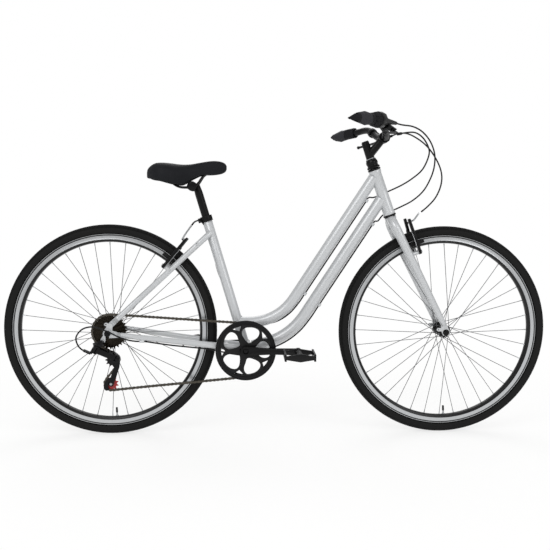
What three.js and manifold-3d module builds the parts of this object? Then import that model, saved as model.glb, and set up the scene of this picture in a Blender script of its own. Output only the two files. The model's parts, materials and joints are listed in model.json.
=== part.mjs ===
// A step through city bike with derailleur gears and rim brakes, as separate pieces.
// Millimetres. +X is forward, +Y is the rider's left and +Z is up. The origin is on the ground,
// midway between the two axles, in the middle plane of the wheels. The chain is on the right (-Y).
import * as THREE from 'three';
import { mergeVertices } from 'three/addons/utils/BufferGeometryUtils.js';
import Module from 'manifold-3d';

const wasm = await Module();
wasm.setup();

// Driving dimensions

const WHEELBASE = 1104.5;
const TYRE_RADIUS = 349;
const TYRE_WIDTH = 38;
const TYRE_RISE_OVER_RIM = 31;
const RIM_WIDTH = 24;
const RIM_FLANGE_HEIGHT = 9.4;
const RIM_BED_DEPTH = 8.6;
const RIM_NOSE_DEPTH = 8;
const SPOKE_COUNT = 36;
const BRACKET_HEIGHT = 290;
const BRACKET_TO_REAR_AXLE = 444.3;
const HEAD_ANGLE = THREE.MathUtils.degToRad(70);
const SEAT_ANGLE = THREE.MathUtils.degToRad(73.2);
const FORK_LENGTH = 426.7;
const FORK_RAKE = 42.2;
const HEAD_TUBE_LENGTH = 153;
const SEAT_TUBE_LENGTH = 455;
const FRONT_HUB_WIDTH = 100;
const REAR_HUB_WIDTH = 130;
const CRANK_LENGTH = 170;
const CHAIN_PITCH = 12.7;
const OPEN_REACH = 2 * CHAIN_PITCH;
const CHAINRING_TEETH = 44;
const SPROCKET_TEETH = [28, 24, 22, 20, 18, 16, 14];
const SPROCKET_STEP = 5;
const PULLEY_TEETH = 11;
const BAR_HALF_WIDTH = 290;
const SADDLE_LENGTH = 256;
const SADDLE_WIDTH = 176;

// Radii of the rim, from the tyre inwards

const RIM_OUTER_RADIUS = TYRE_RADIUS - TYRE_RISE_OVER_RIM;
const RIM_BED_RADIUS = RIM_OUTER_RADIUS - RIM_FLANGE_HEIGHT;
const RIM_SHOULDER_RADIUS = RIM_BED_RADIUS - RIM_BED_DEPTH;
const RIM_INNER_RADIUS = RIM_SHOULDER_RADIUS - RIM_NOSE_DEPTH;

// Clearances

const SEAT_GAP = 0.3;
const RUNNING_GAP = 0.35;
const OVERRUN = 2;

// Colours

const METALLIC_SILVER = { color: 0xc4c8cb, roughness: 0.34, metalness: 0.6 };
const POLISHED_ALLOY = { color: 0xc9ccce, roughness: 0.25, metalness: 0.9 };
const BLACK_ALLOY = { color: 0x1b1b1e, roughness: 0.42, metalness: 0.5 };
const BLACK_PLASTIC = { color: 0x19191b, roughness: 0.6, metalness: 0 };
const BLACK_RUBBER = { color: 0x1e1e20, roughness: 0.85, metalness: 0 };
const BLACK_COVER = { color: 0x161618, roughness: 0.6, metalness: 0 };
const STEEL = { color: 0x9a9b9d, roughness: 0.35, metalness: 0.9 };
const BROWNED_STEEL = { color: 0x2e2a24, roughness: 0.5, metalness: 0.8 };
const RED_PLASTIC = { color: 0xa8261c, roughness: 0.5, metalness: 0 };

// Directions and places that the pieces share

const vec = (x, y, z) => new THREE.Vector3(x, y, z);
const UP = vec(0, 0, 1);
const LEFT = vec(0, 1, 0);
const FORWARD = vec(1, 0, 0);
const SIDES = [{ name: 'right', sign: -1 }, { name: 'left', sign: 1 }];

const rearAxle = vec(-WHEELBASE / 2, 0, TYRE_RADIUS);
const frontAxle = vec(WHEELBASE / 2, 0, TYRE_RADIUS);
const bracket = vec(rearAxle.x + BRACKET_TO_REAR_AXLE, 0, BRACKET_HEIGHT);
const steerUp = vec(-Math.cos(HEAD_ANGLE), 0, Math.sin(HEAD_ANGLE));
const steerForward = vec(Math.sin(HEAD_ANGLE), 0, Math.cos(HEAD_ANGLE));
const seatUp = vec(-Math.cos(SEAT_ANGLE), 0, Math.sin(SEAT_ANGLE));
const headBase = frontAxle.clone().addScaledVector(steerForward, -FORK_RAKE)
  .addScaledVector(steerUp, FORK_LENGTH);

const onSteeringAxis = (height, forward = 0) => headBase.clone()
  .addScaledVector(steerUp, height)
  .addScaledVector(steerForward, forward);
const onSeatAxis = (distance) => bracket.clone().addScaledVector(seatUp, distance);
const at = (point, y) => vec(point.x, y, point.z);
const mid = (a, b, share) => a.clone().lerp(b, share);

// Solids

const WELD = 1e-4;
const FULL_TURN = 2 * Math.PI;

// A closed solid from a geometry: shared corners merged, empty faces dropped, faces pointing out.
function solid(geometry) {
  const plain = geometry.index ? geometry.toNonIndexed() : geometry.clone();
  for (const name of Object.keys(plain.attributes)) {
    if (name !== 'position') plain.deleteAttribute(name);
  }
  const merged = mergeVertices(plain, WELD);
  const spots = merged.attributes.position.array;
  const faces = [];
  let volume = 0;
  for (let i = 0; i < merged.index.count; i += 3) {
    const [a, b, c] = [0, 1, 2].map((k) => merged.index.getX(i + k));
    if (a === b || b === c || c === a) continue;
    faces.push(a, b, c);
    const [p, q, r] = [a, b, c].map((k) => vec(spots[3 * k], spots[3 * k + 1], spots[3 * k + 2]));
    volume += p.dot(q.cross(r));
  }
  if (volume < 0) {
    for (let i = 0; i < faces.length; i += 3) faces.splice(i, 2, faces[i + 1], faces[i]);
  }
  const mesh = new wasm.Mesh({
    numProp: 3,
    vertProperties: new Float32Array(spots),
    triVerts: new Uint32Array(faces),
  });
  return new wasm.Manifold(mesh);
}

const join = (...parts) => parts.reduce((whole, part) => whole.add(part));
const cut = (whole, ...tools) => tools.reduce((rest, tool) => rest.subtract(tool), whole);

function geometryOf(manifold) {
  const mesh = manifold.getMesh();
  const geometry = new THREE.BufferGeometry();
  geometry.setAttribute('position', new THREE.BufferAttribute(new Float32Array(mesh.vertProperties), 3));
  geometry.setIndex(new THREE.BufferAttribute(new Uint32Array(mesh.triVerts), 1));
  return geometry;
}

// Puts a geometry made along its own axes onto three given directions at a place.
function placed(geometry, origin, alongX, alongY, alongZ) {
  const matrix = new THREE.Matrix4().makeBasis(alongX, alongY, alongZ).setPosition(origin);
  return geometry.applyMatrix4(matrix);
}

// Two directions square to a given one, the first as near as it can be to a wanted one.
function squareTo(direction, wanted) {
  const first = wanted.clone().addScaledVector(direction, -wanted.dot(direction)).normalize();
  return [first, direction.clone().cross(first)];
}

const nearestAcross = (direction) => (Math.abs(direction.y) > 0.9 ? FORWARD : LEFT);

// A turned piece: its profile lists [radius, distance along the axis] and closes on itself.
function turned(profile, origin, axis, sides, wanted = nearestAcross(axis)) {
  const points = profile.map(([radius, along]) => new THREE.Vector2(radius, along));
  const last = points[points.length - 1];
  if (points[0].x !== 0 || last.x !== 0) points.push(points[0].clone());
  const [first, second] = squareTo(axis, wanted);
  return solid(placed(new THREE.LatheGeometry(points, sides), origin, second, axis, first));
}

function rod(start, end, radius, sides = 12, endRadius = radius) {
  const axis = end.clone().sub(start);
  const length = axis.length();
  return turned([[0, 0], [radius, 0], [endRadius, length], [0, length]], start, axis.normalize(), sides);
}

function pipe(start, end, radius, bore, sides = 16) {
  const axis = end.clone().sub(start);
  const length = axis.length();
  return turned([[bore, 0], [radius, 0], [radius, length], [bore, length]], start, axis.normalize(), sides);
}

// The radius of a faceted tool that leaves a clearance all round a faceted shaft.
const clearRadius = (radius, sides, gap = SEAT_GAP) => (radius + gap) / Math.cos(Math.PI / sides);

// The same for a shaft whose facets line up with the tool's own.
const matchedRadius = (radius, sides) => radius + SEAT_GAP / Math.cos(Math.PI / sides);

function clearRod(start, end, radius, sides = 16, gap = SEAT_GAP) {
  return rod(start, end, clearRadius(radius, sides, gap), sides);
}

function block(centre, sizeX, sizeY, sizeZ, alongX = FORWARD, alongY = LEFT, alongZ = UP) {
  return solid(placed(new THREE.BoxGeometry(sizeX, sizeY, sizeZ), centre, alongX, alongY, alongZ));
}

// A flat piece: an outline drawn along two directions, given a thickness along a third.
function slab(outline, thickness, origin, alongX, alongY, alongZ, holes = []) {
  const shape = new THREE.Shape(outline.map(([x, y]) => new THREE.Vector2(x, y)));
  for (const hole of holes) shape.holes.push(new THREE.Path(hole.map(([x, y]) => new THREE.Vector2(x, y))));
  const geometry = new THREE.ExtrudeGeometry(shape, { depth: thickness, bevelEnabled: false });
  return solid(placed(geometry, origin, alongX, alongY, alongZ));
}

// A flat piece in the side view: an outline of [x, z] points between two faces.
function plate(outline, yFrom, yTo, holes = []) {
  return slab(
    outline,
    Math.abs(yTo - yFrom),
    vec(0, Math.max(yFrom, yTo), 0),
    FORWARD,
    UP,
    vec(0, -1, 0),
    holes,
  );
}

const circle = (centreX, centreZ, radius, count, phase = 0) => Array.from({ length: count }, (_, i) => {
  const angle = phase + (FULL_TURN * i) / count;
  return [centreX + radius * Math.cos(angle), centreZ + radius * Math.sin(angle)];
});

// A closed solid through rings of points, with flat ends or joined round into a loop.
function loft(rings, looped = false) {
  const count = rings[0].length;
  const spots = [];
  const face = (a, b, c) => spots.push(a.x, a.y, a.z, b.x, b.y, b.z, c.x, c.y, c.z);
  const spans = looped ? rings.length : rings.length - 1;
  for (let i = 0; i < spans; i += 1) {
    const here = rings[i];
    const next = rings[(i + 1) % rings.length];
    for (let k = 0; k < count; k += 1) {
      const m = (k + 1) % count;
      face(here[k], here[m], next[m]);
      face(here[k], next[m], next[k]);
    }
  }
  const cap = (ring, flip) => {
    const flat = flatPoints(ring);
    for (const [a, b, c] of THREE.ShapeUtils.triangulateShape(flat, [])) {
      if (flip) face(ring[c], ring[b], ring[a]);
      else face(ring[a], ring[b], ring[c]);
    }
  };
  if (!looped) {
    const turn = Math.sign(THREE.ShapeUtils.area(flatPoints(rings[0])));
    cap(rings[0], turn > 0);
    cap(rings[rings.length - 1], turn < 0);
  }
  const geometry = new THREE.BufferGeometry();
  geometry.setAttribute('position', new THREE.Float32BufferAttribute(spots, 3));
  return solid(geometry);
}

// A ring's points on the plane that holds it, as seen along the ring's own normal.
function flatPoints(ring) {
  const centre = ring.reduce((sum, p) => sum.add(p), vec(0, 0, 0)).divideScalar(ring.length);
  const first = ring[0].clone().sub(centre).normalize();
  const normal = vec(0, 0, 0);
  ring.forEach((p, i) => {
    const q = ring[(i + 1) % ring.length];
    normal.add(p.clone().sub(centre).cross(q.clone().sub(centre)));
  });
  normal.normalize();
  const second = normal.clone().cross(first);
  return ring.map((p) => {
    const arm = p.clone().sub(centre);
    return new THREE.Vector2(arm.dot(first), arm.dot(second));
  });
}

const oval = (half, halfAcross, count) => Array.from({ length: count }, (_, i) => {
  const angle = (FULL_TURN * (i + 0.5)) / count;
  return [half * Math.cos(angle), halfAcross * Math.sin(angle)];
});

// Rings of a section carried along a chain of points, mitred where it turns. The section's first
// number lies along the direction across, its second one square to that and to the path.
function swept(points, sectionAt, across = LEFT) {
  const rings = points.map((point, i) => {
    const before = points[Math.max(i - 1, 0)];
    const after = points[Math.min(i + 1, points.length - 1)];
    const inward = point.clone().sub(before).normalize();
    const outward = after.clone().sub(point).normalize();
    const tangent = inward.clone().add(outward).normalize();
    const [first, second] = squareTo(tangent, across);
    return sectionAt(i, i / (points.length - 1))
      .map(([u, w]) => point.clone().addScaledVector(first, u).addScaledVector(second, w));
  });
  return loft(rings);
}

const tube = (points, radius, count = 12, across = LEFT) => swept(
  points,
  () => oval(radius, radius, count),
  across,
);

// A straight, a bend towards a corner and another straight, as points.
function bentPoints(start, corner, end, reach, steps) {
  const into = mid(corner, start, reach / corner.distanceTo(start));
  const out = mid(corner, end, reach / corner.distanceTo(end));
  const bend = new THREE.QuadraticBezierCurve3(into, corner, out).getPoints(steps);
  return [start, ...bend, end];
}

// The fewest of a chain of points that keep it within a tolerance of its full course.
function thinned(points, tolerance) {
  if (points.length < 3) return points;
  const chord = new THREE.Line3(points[0], points[points.length - 1]);
  const offs = points.map(
    (point) => point.distanceTo(chord.closestPointToPoint(point, true, vec(0, 0, 0))),
  );
  const furthest = offs.indexOf(Math.max(...offs));
  if (offs[furthest] < tolerance) return [points[0], points[points.length - 1]];
  return [
    ...thinned(points.slice(0, furthest + 1), tolerance).slice(0, -1),
    ...thinned(points.slice(furthest), tolerance),
  ];
}

// A housing or wire through hand chosen places.
function cable(route) {
  const curve = new THREE.CatmullRomCurve3(route.map(([x, y, z]) => vec(x, y, z)), false, 'centripetal');
  const course = curve.getPoints(CABLE_POINTS_PER_PLACE * (route.length - 1));
  return tube(thinned(course, CABLE_TOLERANCE), CABLE_RADIUS, CABLE_SIDES);
}

const bike = new THREE.Group();

function add(name, shape, look) {
  const material = new THREE.MeshStandardMaterial(look);
  const mesh = new THREE.Mesh(geometryOf(shape), material);
  mesh.name = name;
  bike.add(mesh);
}

// Frame: head tube, seat tube and bracket shell

const HEAD_TUBE_RADIUS = 19;
const HEAD_TUBE_BORE = 15;
const SEAT_TUBE_RADIUS = 15.9;
const SEAT_TUBE_BORE_DEPTH = 210;
const SHELL_RADIUS = 20;
const SHELL_BORE = 17.4;
const SHELL_HALF_WIDTH = 34;
const POST_RADIUS = 13.6;
const TUBE_SIDES = 10;
const STEERER_RADIUS = 12.7;

const seatTubeTop = onSeatAxis(SEAT_TUBE_LENGTH);
const headTop = onSteeringAxis(HEAD_TUBE_LENGTH);

const shellClear = clearRod(
  at(bracket, -2 * SHELL_HALF_WIDTH),
  at(bracket, 2 * SHELL_HALF_WIDTH),
  SHELL_RADIUS,
);
const headClear = clearRod(
  onSteeringAxis(-OVERRUN),
  onSteeringAxis(HEAD_TUBE_LENGTH + OVERRUN),
  HEAD_TUBE_RADIUS,
);
const seatClear = clearRod(bracket, onSeatAxis(SEAT_TUBE_LENGTH + OVERRUN), SEAT_TUBE_RADIUS);

function makeMainTubes() {
  add('head_tube', pipe(headBase, headTop, HEAD_TUBE_RADIUS, HEAD_TUBE_BORE, TUBE_SIDES), METALLIC_SILVER);
  const boreStart = onSeatAxis(SEAT_TUBE_LENGTH - SEAT_TUBE_BORE_DEPTH);
  const seatTube = cut(
    rod(bracket, seatTubeTop, SEAT_TUBE_RADIUS, TUBE_SIDES),
    shellClear,
    clearRod(boreStart, onSeatAxis(SEAT_TUBE_LENGTH + OVERRUN), POST_RADIUS),
  );
  add('seat_tube', seatTube, METALLIC_SILVER);
  const shell = pipe(
    at(bracket, -SHELL_HALF_WIDTH),
    at(bracket, SHELL_HALF_WIDTH),
    SHELL_RADIUS,
    SHELL_BORE,
  );
  add('bottom_bracket_shell', shell, METALLIC_SILVER);
}

// Frame: the two long sloping tubes

const UPPER_TUBE_RADIUS = 18.2;
const LOWER_TUBE_RADIUS = 19;
const UPPER_TUBE_JOIN = 139;
const LOWER_TUBE_JOIN = 63.7;
const SLOPE_ANGLE = THREE.MathUtils.degToRad(57);
const UPPER_TUBE_END_HEIGHT = 375;
const UPPER_TUBE_END_HALF_WIDTH = 14.5;
const UPPER_TUBE_BEND = 100;
const LOWER_TUBE_BEND = 95;
const LOWER_TUBE_CORNER_X = 38;
const BEND_STEPS = 4;
const slopeDown = vec(-Math.cos(SLOPE_ANGLE), 0, -Math.sin(SLOPE_ANGLE));

const upperStart = onSteeringAxis(UPPER_TUBE_JOIN);
const upperEnd = onSeatAxis((UPPER_TUBE_END_HEIGHT - BRACKET_HEIGHT) / seatUp.z);
const upperCorner = upperStart.clone()
  .addScaledVector(slopeDown, (UPPER_TUBE_END_HEIGHT - upperStart.z) / slopeDown.z);
const upperPoints = bentPoints(upperStart, upperCorner, upperEnd, UPPER_TUBE_BEND, BEND_STEPS);
const lowerStart = onSteeringAxis(LOWER_TUBE_JOIN);
const lowerCorner = lowerStart.clone()
  .addScaledVector(slopeDown, (LOWER_TUBE_CORNER_X - lowerStart.x) / slopeDown.x);
const lowerPoints = bentPoints(lowerStart, lowerCorner, bracket, LOWER_TUBE_BEND, BEND_STEPS);

const GUIDE_LENGTH = 10;
const GUIDE_RADIUS = 6.3;
const GUIDE_CLEARANCE = 1.5;
const CABLE_RADIUS = 2.5;
const CABLE_SIDES = 4;
const CABLE_POINTS_PER_PLACE = 3;
const CABLE_TOLERANCE = 0.6;
const GUIDE_SIDES = 6;
const CABLE_LIFT = 1.2;

// A short cable guide welded under a sloping tube at a share of its straight length.
function guideUnder(start, corner, tubeRadius, share) {
  const below = vec(-slopeDown.z, 0, slopeDown.x);
  const along = slopeDown;
  const middle = mid(start, corner, share).addScaledVector(below, tubeRadius + CABLE_RADIUS + CABLE_LIFT);
  const ends = [-GUIDE_LENGTH / 2, GUIDE_LENGTH / 2].map((d) => middle.clone().addScaledVector(along, d));
  return { middle, ends };
}

const UPPER_GUIDE_SHARES = [0.15, 0.78];
const LOWER_GUIDE_SHARES = [0.17, 0.74];
const upperGuides = UPPER_GUIDE_SHARES.map(
  (share) => guideUnder(upperStart, upperCorner, UPPER_TUBE_RADIUS, share),
);
const lowerGuides = LOWER_GUIDE_SHARES.map(
  (share) => guideUnder(lowerStart, lowerCorner, LOWER_TUBE_RADIUS, share),
);

function withGuides(shape, guides) {
  const lugs = guides.map(({ ends }) => rod(ends[0], ends[1], GUIDE_RADIUS, GUIDE_SIDES));
  const bores = guides.map(({ middle, ends }) => clearRod(
    mid(middle, ends[0], OVERRUN),
    mid(middle, ends[1], OVERRUN),
    CABLE_RADIUS,
    GUIDE_SIDES,
    GUIDE_CLEARANCE,
  ));
  return cut(join(shape, ...lugs), ...bores);
}

function makeSlopingTubes() {
  const last = upperPoints.length - 1;
  const upper = swept(upperPoints, (i) => {
    const half = i === last ? UPPER_TUBE_END_HALF_WIDTH : UPPER_TUBE_RADIUS;
    return oval(half, UPPER_TUBE_RADIUS, TUBE_SIDES);
  });
  add('upper_tube', withGuides(cut(upper, headClear, seatClear), upperGuides), METALLIC_SILVER);
  const lower = cut(tube(lowerPoints, LOWER_TUBE_RADIUS, TUBE_SIDES), headClear, shellClear, seatClear);
  add('lower_tube', withGuides(lower, lowerGuides), METALLIC_SILVER);
}

makeMainTubes();
makeSlopingTubes();

// Flat outlines

// The convex outline round a list of [x, z] points.
function hullOf(points) {
  const sorted = [...points].sort((a, b) => a[0] - b[0] || a[1] - b[1]);
  const side = (o, a, b) => (a[0] - o[0]) * (b[1] - o[1]) - (a[1] - o[1]) * (b[0] - o[0]);
  const half = (list) => list.reduce((kept, point) => {
    while (kept.length > 1 && side(kept[kept.length - 2], kept[kept.length - 1], point) <= 0) kept.pop();
    kept.push(point);
    return kept;
  }, []);
  return [...half(sorted).slice(0, -1), ...half(sorted.reverse()).slice(0, -1)];
}

const HULL_CIRCLE_POINTS = 8;
const roundHull = (...circles) => hullOf(
  circles.flatMap(([x, z, r]) => circle(x, z, r, HULL_CIRCLE_POINTS)),
);

// Frame: the stays, with the plates that hold the rear axle

const CHAINSTAY_ROOT_Y = 25;
const CHAINSTAY_WAIST_Y = 33;
const CHAINSTAY_WAIST_SHARE = 0.22;
const CHAINSTAY_TIP_BACK = 36;
const CHAINSTAY_HALF_DEPTH = 11;
const CHAINSTAY_HALF_WIDTH = 8.6;
const CHAINSTAY_TIP_HALF_DEPTH = 8;
const STAY_SIDES = 8;
const DROPOUT_THICKNESS = 5;
const DROPOUT_RADIUS = 15;
const DROPOUT_WEB_RADIUS = 8;
const REAR_AXLE_RADIUS = 5;
const SLOT_CLEARANCE = 0.4;
const HANGER_BACK = 20;
const HANGER_DROP = 30.6;
const HANGER_EYE_RADIUS = 8.5;
const HANGER_HOLE_RADIUS = 4.6;
const EYELET_RISE = 30;
const EYELET_FORWARD = 4;
const EYELET_RADIUS = 5.5;
const EYELET_HOLE_RADIUS = 2.6;
const SEATSTAY_JOIN = 400;
const SEATSTAY_ROOT_Y = 12;
const SEATSTAY_SHOULDER_Y = 30;
const SEATSTAY_SHOULDER_SHARE = 0.12;
const SEATSTAY_BOSS_Y = 35.5;
const SEATSTAY_BOSS_SHARE = 0.41;
const SEATSTAY_RADIUS = 9.6;
const SEATSTAY_TIP_HALF_WIDTH = 5.6;
const SEATSTAY_TIP_RISE = 26;
const SEATSTAY_TIP_FORWARD = 9;
const STAY_BRIDGE_RADIUS = 6.5;
const SEATSTAY_BRIDGE_SHARE = 0.165;
const CHAINSTAY_BRIDGE_SHARE = 0.16;
const CABLE_STOP_LENGTH = 14;
const CABLE_STOP_RADIUS = 5;
const CABLE_STOP_SHARE = 0.823;
const STOP_SINK = 1.2;
const STOP_CLEARANCE = 0.5;
const STOP_BORE_SHARE = 0.8;

const dropoutMid = REAR_HUB_WIDTH / 2 + DROPOUT_THICKNESS / 2;
const hangerPlace = vec(rearAxle.x - HANGER_BACK, -dropoutMid, rearAxle.z - HANGER_DROP);
const stayTip = vec(rearAxle.x + CHAINSTAY_TIP_BACK, dropoutMid, rearAxle.z - CHAINSTAY_TIP_BACK
  * ((rearAxle.z - BRACKET_HEIGHT) / BRACKET_TO_REAR_AXLE));
const chainstayAt = (share, y, sign) => at(mid(bracket, stayTip, share), sign * y);
const seatstayTop = onSeatAxis(SEATSTAY_JOIN);
const seatstayTip = rearAxle.clone().add(vec(SEATSTAY_TIP_FORWARD, 0, SEATSTAY_TIP_RISE));
const seatstayAt = (share, y, sign) => at(mid(seatstayTop, seatstayTip, share), sign * y);

// The eye for the axle, opened downwards, and the webs that reach the two stays.
function dropoutPlate(sign) {
  const [inner, outer] = [
    sign * (dropoutMid - DROPOUT_THICKNESS / 2),
    sign * (dropoutMid + DROPOUT_THICKNESS / 2),
  ];
  const eye = [rearAxle.x, rearAxle.z, DROPOUT_RADIUS];
  const towardsChainstay = roundHull(eye, [stayTip.x, stayTip.z, CHAINSTAY_TIP_HALF_DEPTH]);
  const towardsSeatstay = roundHull(eye, [seatstayTip.x, seatstayTip.z, DROPOUT_WEB_RADIUS]);
  const eyelet = [
    rearAxle.x + EYELET_FORWARD - DROPOUT_WEB_RADIUS,
    rearAxle.z + EYELET_RISE,
    EYELET_RADIUS,
  ];
  let shape = join(
    plate(towardsChainstay, inner, outer),
    plate(towardsSeatstay, inner, outer),
    plate(roundHull([seatstayTip.x, seatstayTip.z, EYELET_RADIUS], eyelet), inner, outer),
  );
  const through = [sign * (dropoutMid - DROPOUT_THICKNESS), sign * (dropoutMid + DROPOUT_THICKNESS)];
  const tools = [plate(circle(eyelet[0], eyelet[1], EYELET_HOLE_RADIUS, GUIDE_SIDES), ...through)];
  if (sign < 0) {
    const arm = roundHull(
      [rearAxle.x, rearAxle.z, DROPOUT_WEB_RADIUS],
      [hangerPlace.x, hangerPlace.z, HANGER_EYE_RADIUS],
    );
    shape = join(shape, plate(arm, inner, outer));
    const hole = circle(hangerPlace.x, hangerPlace.z, HANGER_HOLE_RADIUS, STAY_SIDES);
    tools.push(plate(hole, ...through));
  }
  const slotRadius = clearRadius(REAR_AXLE_RADIUS, TUBE_SIDES, SLOT_CLEARANCE);
  const slot = hullOf([
    ...circle(rearAxle.x, rearAxle.z, slotRadius, STAY_SIDES),
    [rearAxle.x - slotRadius, rearAxle.z - 2 * DROPOUT_RADIUS],
    [rearAxle.x + slotRadius, rearAxle.z - 2 * DROPOUT_RADIUS],
  ]);
  tools.push(plate(slot, sign * (REAR_HUB_WIDTH / 2 - OVERRUN), sign * (dropoutMid + DROPOUT_THICKNESS)));
  return cut(shape, ...tools);
}

function makeChainstays() {
  const stays = SIDES.map(({ sign }) => {
    const points = [
      chainstayAt(0, CHAINSTAY_ROOT_Y, sign),
      chainstayAt(CHAINSTAY_WAIST_SHARE, CHAINSTAY_WAIST_Y, sign),
      at(stayTip, sign * dropoutMid),
    ];
    return swept(points, (i) => oval(
      CHAINSTAY_HALF_WIDTH,
      i === points.length - 1 ? CHAINSTAY_TIP_HALF_DEPTH : CHAINSTAY_HALF_DEPTH,
      STAY_SIDES,
    ));
  });
  const bridge = rod(
    chainstayAt(CHAINSTAY_BRIDGE_SHARE, CHAINSTAY_WAIST_Y, -1),
    chainstayAt(CHAINSTAY_BRIDGE_SHARE, CHAINSTAY_WAIST_Y, 1),
    STAY_BRIDGE_RADIUS,
    STAY_SIDES,
  );
  const shape = join(...stays, bridge, cableStop(), ...SIDES.map(({ sign }) => dropoutPlate(sign)));
  const stopBore = clearRod(
    stopEnds[0].clone().add(vec(-OVERRUN, 0, 0)),
    mid(stopEnds[0], stopEnds[1], STOP_BORE_SHARE),
    CABLE_RADIUS,
    GUIDE_SIDES,
    STOP_CLEARANCE,
  );
  add('chainstays', cut(shape, shellClear, stopBore), METALLIC_SILVER);
}

// The stop under the right chainstay where the last length of gear housing starts.
const stopMiddle = chainstayAt(
  CABLE_STOP_SHARE,
  THREE.MathUtils.mapLinear(CABLE_STOP_SHARE, CHAINSTAY_WAIST_SHARE, 1, CHAINSTAY_WAIST_Y, dropoutMid),
  -1,
).add(vec(0, 0, -CHAINSTAY_HALF_DEPTH - CABLE_RADIUS + STOP_SINK));
const stopEnds = [-1, 1].map((way) => stopMiddle.clone().add(vec(way * (CABLE_STOP_LENGTH / 2), 0, 0)));

function cableStop() {
  return rod(stopEnds[0], stopEnds[1], CABLE_STOP_RADIUS, GUIDE_SIDES);
}

// Rim brakes: where the arms pivot, and the directions outwards along them and along their pins

const BRAKE_BOSS_INSIDE_RIM = 11;
const BRAKE_BOSS_RADIUS = RIM_INNER_RADIUS - BRAKE_BOSS_INSIDE_RIM;
const BRAKE_BOSS_Y = 40;
const BRAKE_POST_RADIUS = 7;
const BRAKE_PIN_RADIUS = 4;
const BRAKE_ARM_THICKNESS = 9;
const BRAKE_PIN_STAND_OUT = 1.5;
const FRONT_BRAKE_ANGLE = THREE.MathUtils.degToRad(18.8);
const FRONT_BRAKE_STAND_OFF = 37;
const PIN_ROOT_SHARE = 0.9;
const REAR_PIVOT_OFF_STAY = 23.879554;
const REAR_POST_PAST_STAY = 1.413405;

function brakeFrame(axle, angle, turnSign, standOff) {
  const outward = vec(turnSign * Math.sin(angle), 0, Math.cos(angle));
  const away = vec(turnSign * -Math.cos(angle), 0, Math.sin(angle));
  const pivot = axle.clone().addScaledVector(outward, BRAKE_BOSS_RADIUS);
  return { outward, away, pivot, standOff };
}

// The rear pivots stand off the line of the seatstays, at their distance from the axle.
function rearBrakeFrame() {
  const along = seatstayTip.clone().sub(seatstayTop).normalize();
  const off = vec(along.z, 0, -along.x);
  const axleOff = rearAxle.clone().sub(seatstayTop).dot(off);
  const angle = Math.atan2(off.x, off.z) + Math.acos((REAR_PIVOT_OFF_STAY - axleOff) / BRAKE_BOSS_RADIUS);
  const square = brakeFrame(rearAxle, angle, 1, 0);
  return { ...square, standOff: REAR_PIVOT_OFF_STAY / square.away.dot(off) + REAR_POST_PAST_STAY };
}

const frontBrake = brakeFrame(frontAxle, FRONT_BRAKE_ANGLE, -1, FRONT_BRAKE_STAND_OFF);
const rearBrake = rearBrakeFrame();

// The post that a brake arm turns on, with its thinner pin.
function brakePost({ away, pivot, standOff }, sign) {
  const centre = at(pivot, sign * BRAKE_BOSS_Y);
  const half = BRAKE_ARM_THICKNESS / 2;
  const root = centre.clone().addScaledVector(away, -standOff);
  const shoulder = centre.clone().addScaledVector(away, -half - SEAT_GAP);
  const tip = centre.clone().addScaledVector(away, half + BRAKE_PIN_STAND_OUT);
  return join(
    rod(root, shoulder, BRAKE_POST_RADIUS, STAY_SIDES),
    rod(mid(root, shoulder, PIN_ROOT_SHARE), tip, BRAKE_PIN_RADIUS, STAY_SIDES),
  );
}

function makeSeatstays() {
  const stays = SIDES.map(({ sign }) => {
    const points = [
      seatstayAt(0, SEATSTAY_ROOT_Y, sign),
      seatstayAt(SEATSTAY_SHOULDER_SHARE, SEATSTAY_SHOULDER_Y, sign),
      seatstayAt(SEATSTAY_BOSS_SHARE, SEATSTAY_BOSS_Y, sign),
      seatstayAt(1, dropoutMid, sign),
    ];
    return swept(points, (i) => oval(
      i === points.length - 1 ? SEATSTAY_TIP_HALF_WIDTH : SEATSTAY_RADIUS,
      SEATSTAY_RADIUS,
      STAY_SIDES,
    ));
  });
  const bridge = rod(
    seatstayAt(SEATSTAY_BRIDGE_SHARE, SEATSTAY_SHOULDER_Y, -1),
    seatstayAt(SEATSTAY_BRIDGE_SHARE, SEATSTAY_SHOULDER_Y, 1),
    STAY_BRIDGE_RADIUS,
    STAY_SIDES,
  );
  const posts = SIDES.map(({ sign }) => brakePost(rearBrake, sign));
  const plates = SIDES.map(({ sign }) => plate(
    roundHull(
      [seatstayTip.x, seatstayTip.z, 3 * DROPOUT_WEB_RADIUS],
      [rearAxle.x, rearAxle.z, DROPOUT_RADIUS + SEAT_GAP],
    ),
    sign * (REAR_HUB_WIDTH / 2 - SEAT_GAP),
    sign * (dropoutMid + SEATSTAY_RADIUS),
  ));
  add('seatstays', cut(join(...stays, bridge, ...posts), seatClear, ...plates), METALLIC_SILVER);
}

makeChainstays();
makeSeatstays();

// Seat collar, post and saddle clamp

const COLLAR_HEIGHT = 17;
const COLLAR_LIP = 1.5;
const COLLAR_RADIUS = 20;
const COLLAR_EAR_REACH = 25;
const COLLAR_EAR_WIDTH = 15;
const COLLAR_BOLT_RADIUS = 3;
const COLLAR_BOLT_HALF_LENGTH = 11;
const COLLAR_SLOT = 2.5;
const POST_INSERTION = 130;
const POST_TOP_HEIGHT = 828;
const POST_NECK_RADIUS = 11;
const POST_NECK_LENGTH = 30;
const CLAMP_HEIGHT = 823;
const CLAMP_BACK = 14;
const CLAMP_RADIUS = 13;
const CLAMP_HALF_WIDTH = 30;
const CLAMP_EAR_RADIUS = 16;
const CLAMP_EAR_THICKNESS = 6;
const NECK_OVERLAP_SHARE = 0.98;
const RAIL_RADIUS = 3.5;
const RAIL_CLEARANCE = 0.6;
const RAIL_SPREAD = 22;
const RAIL_HEIGHT = 833;

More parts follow.
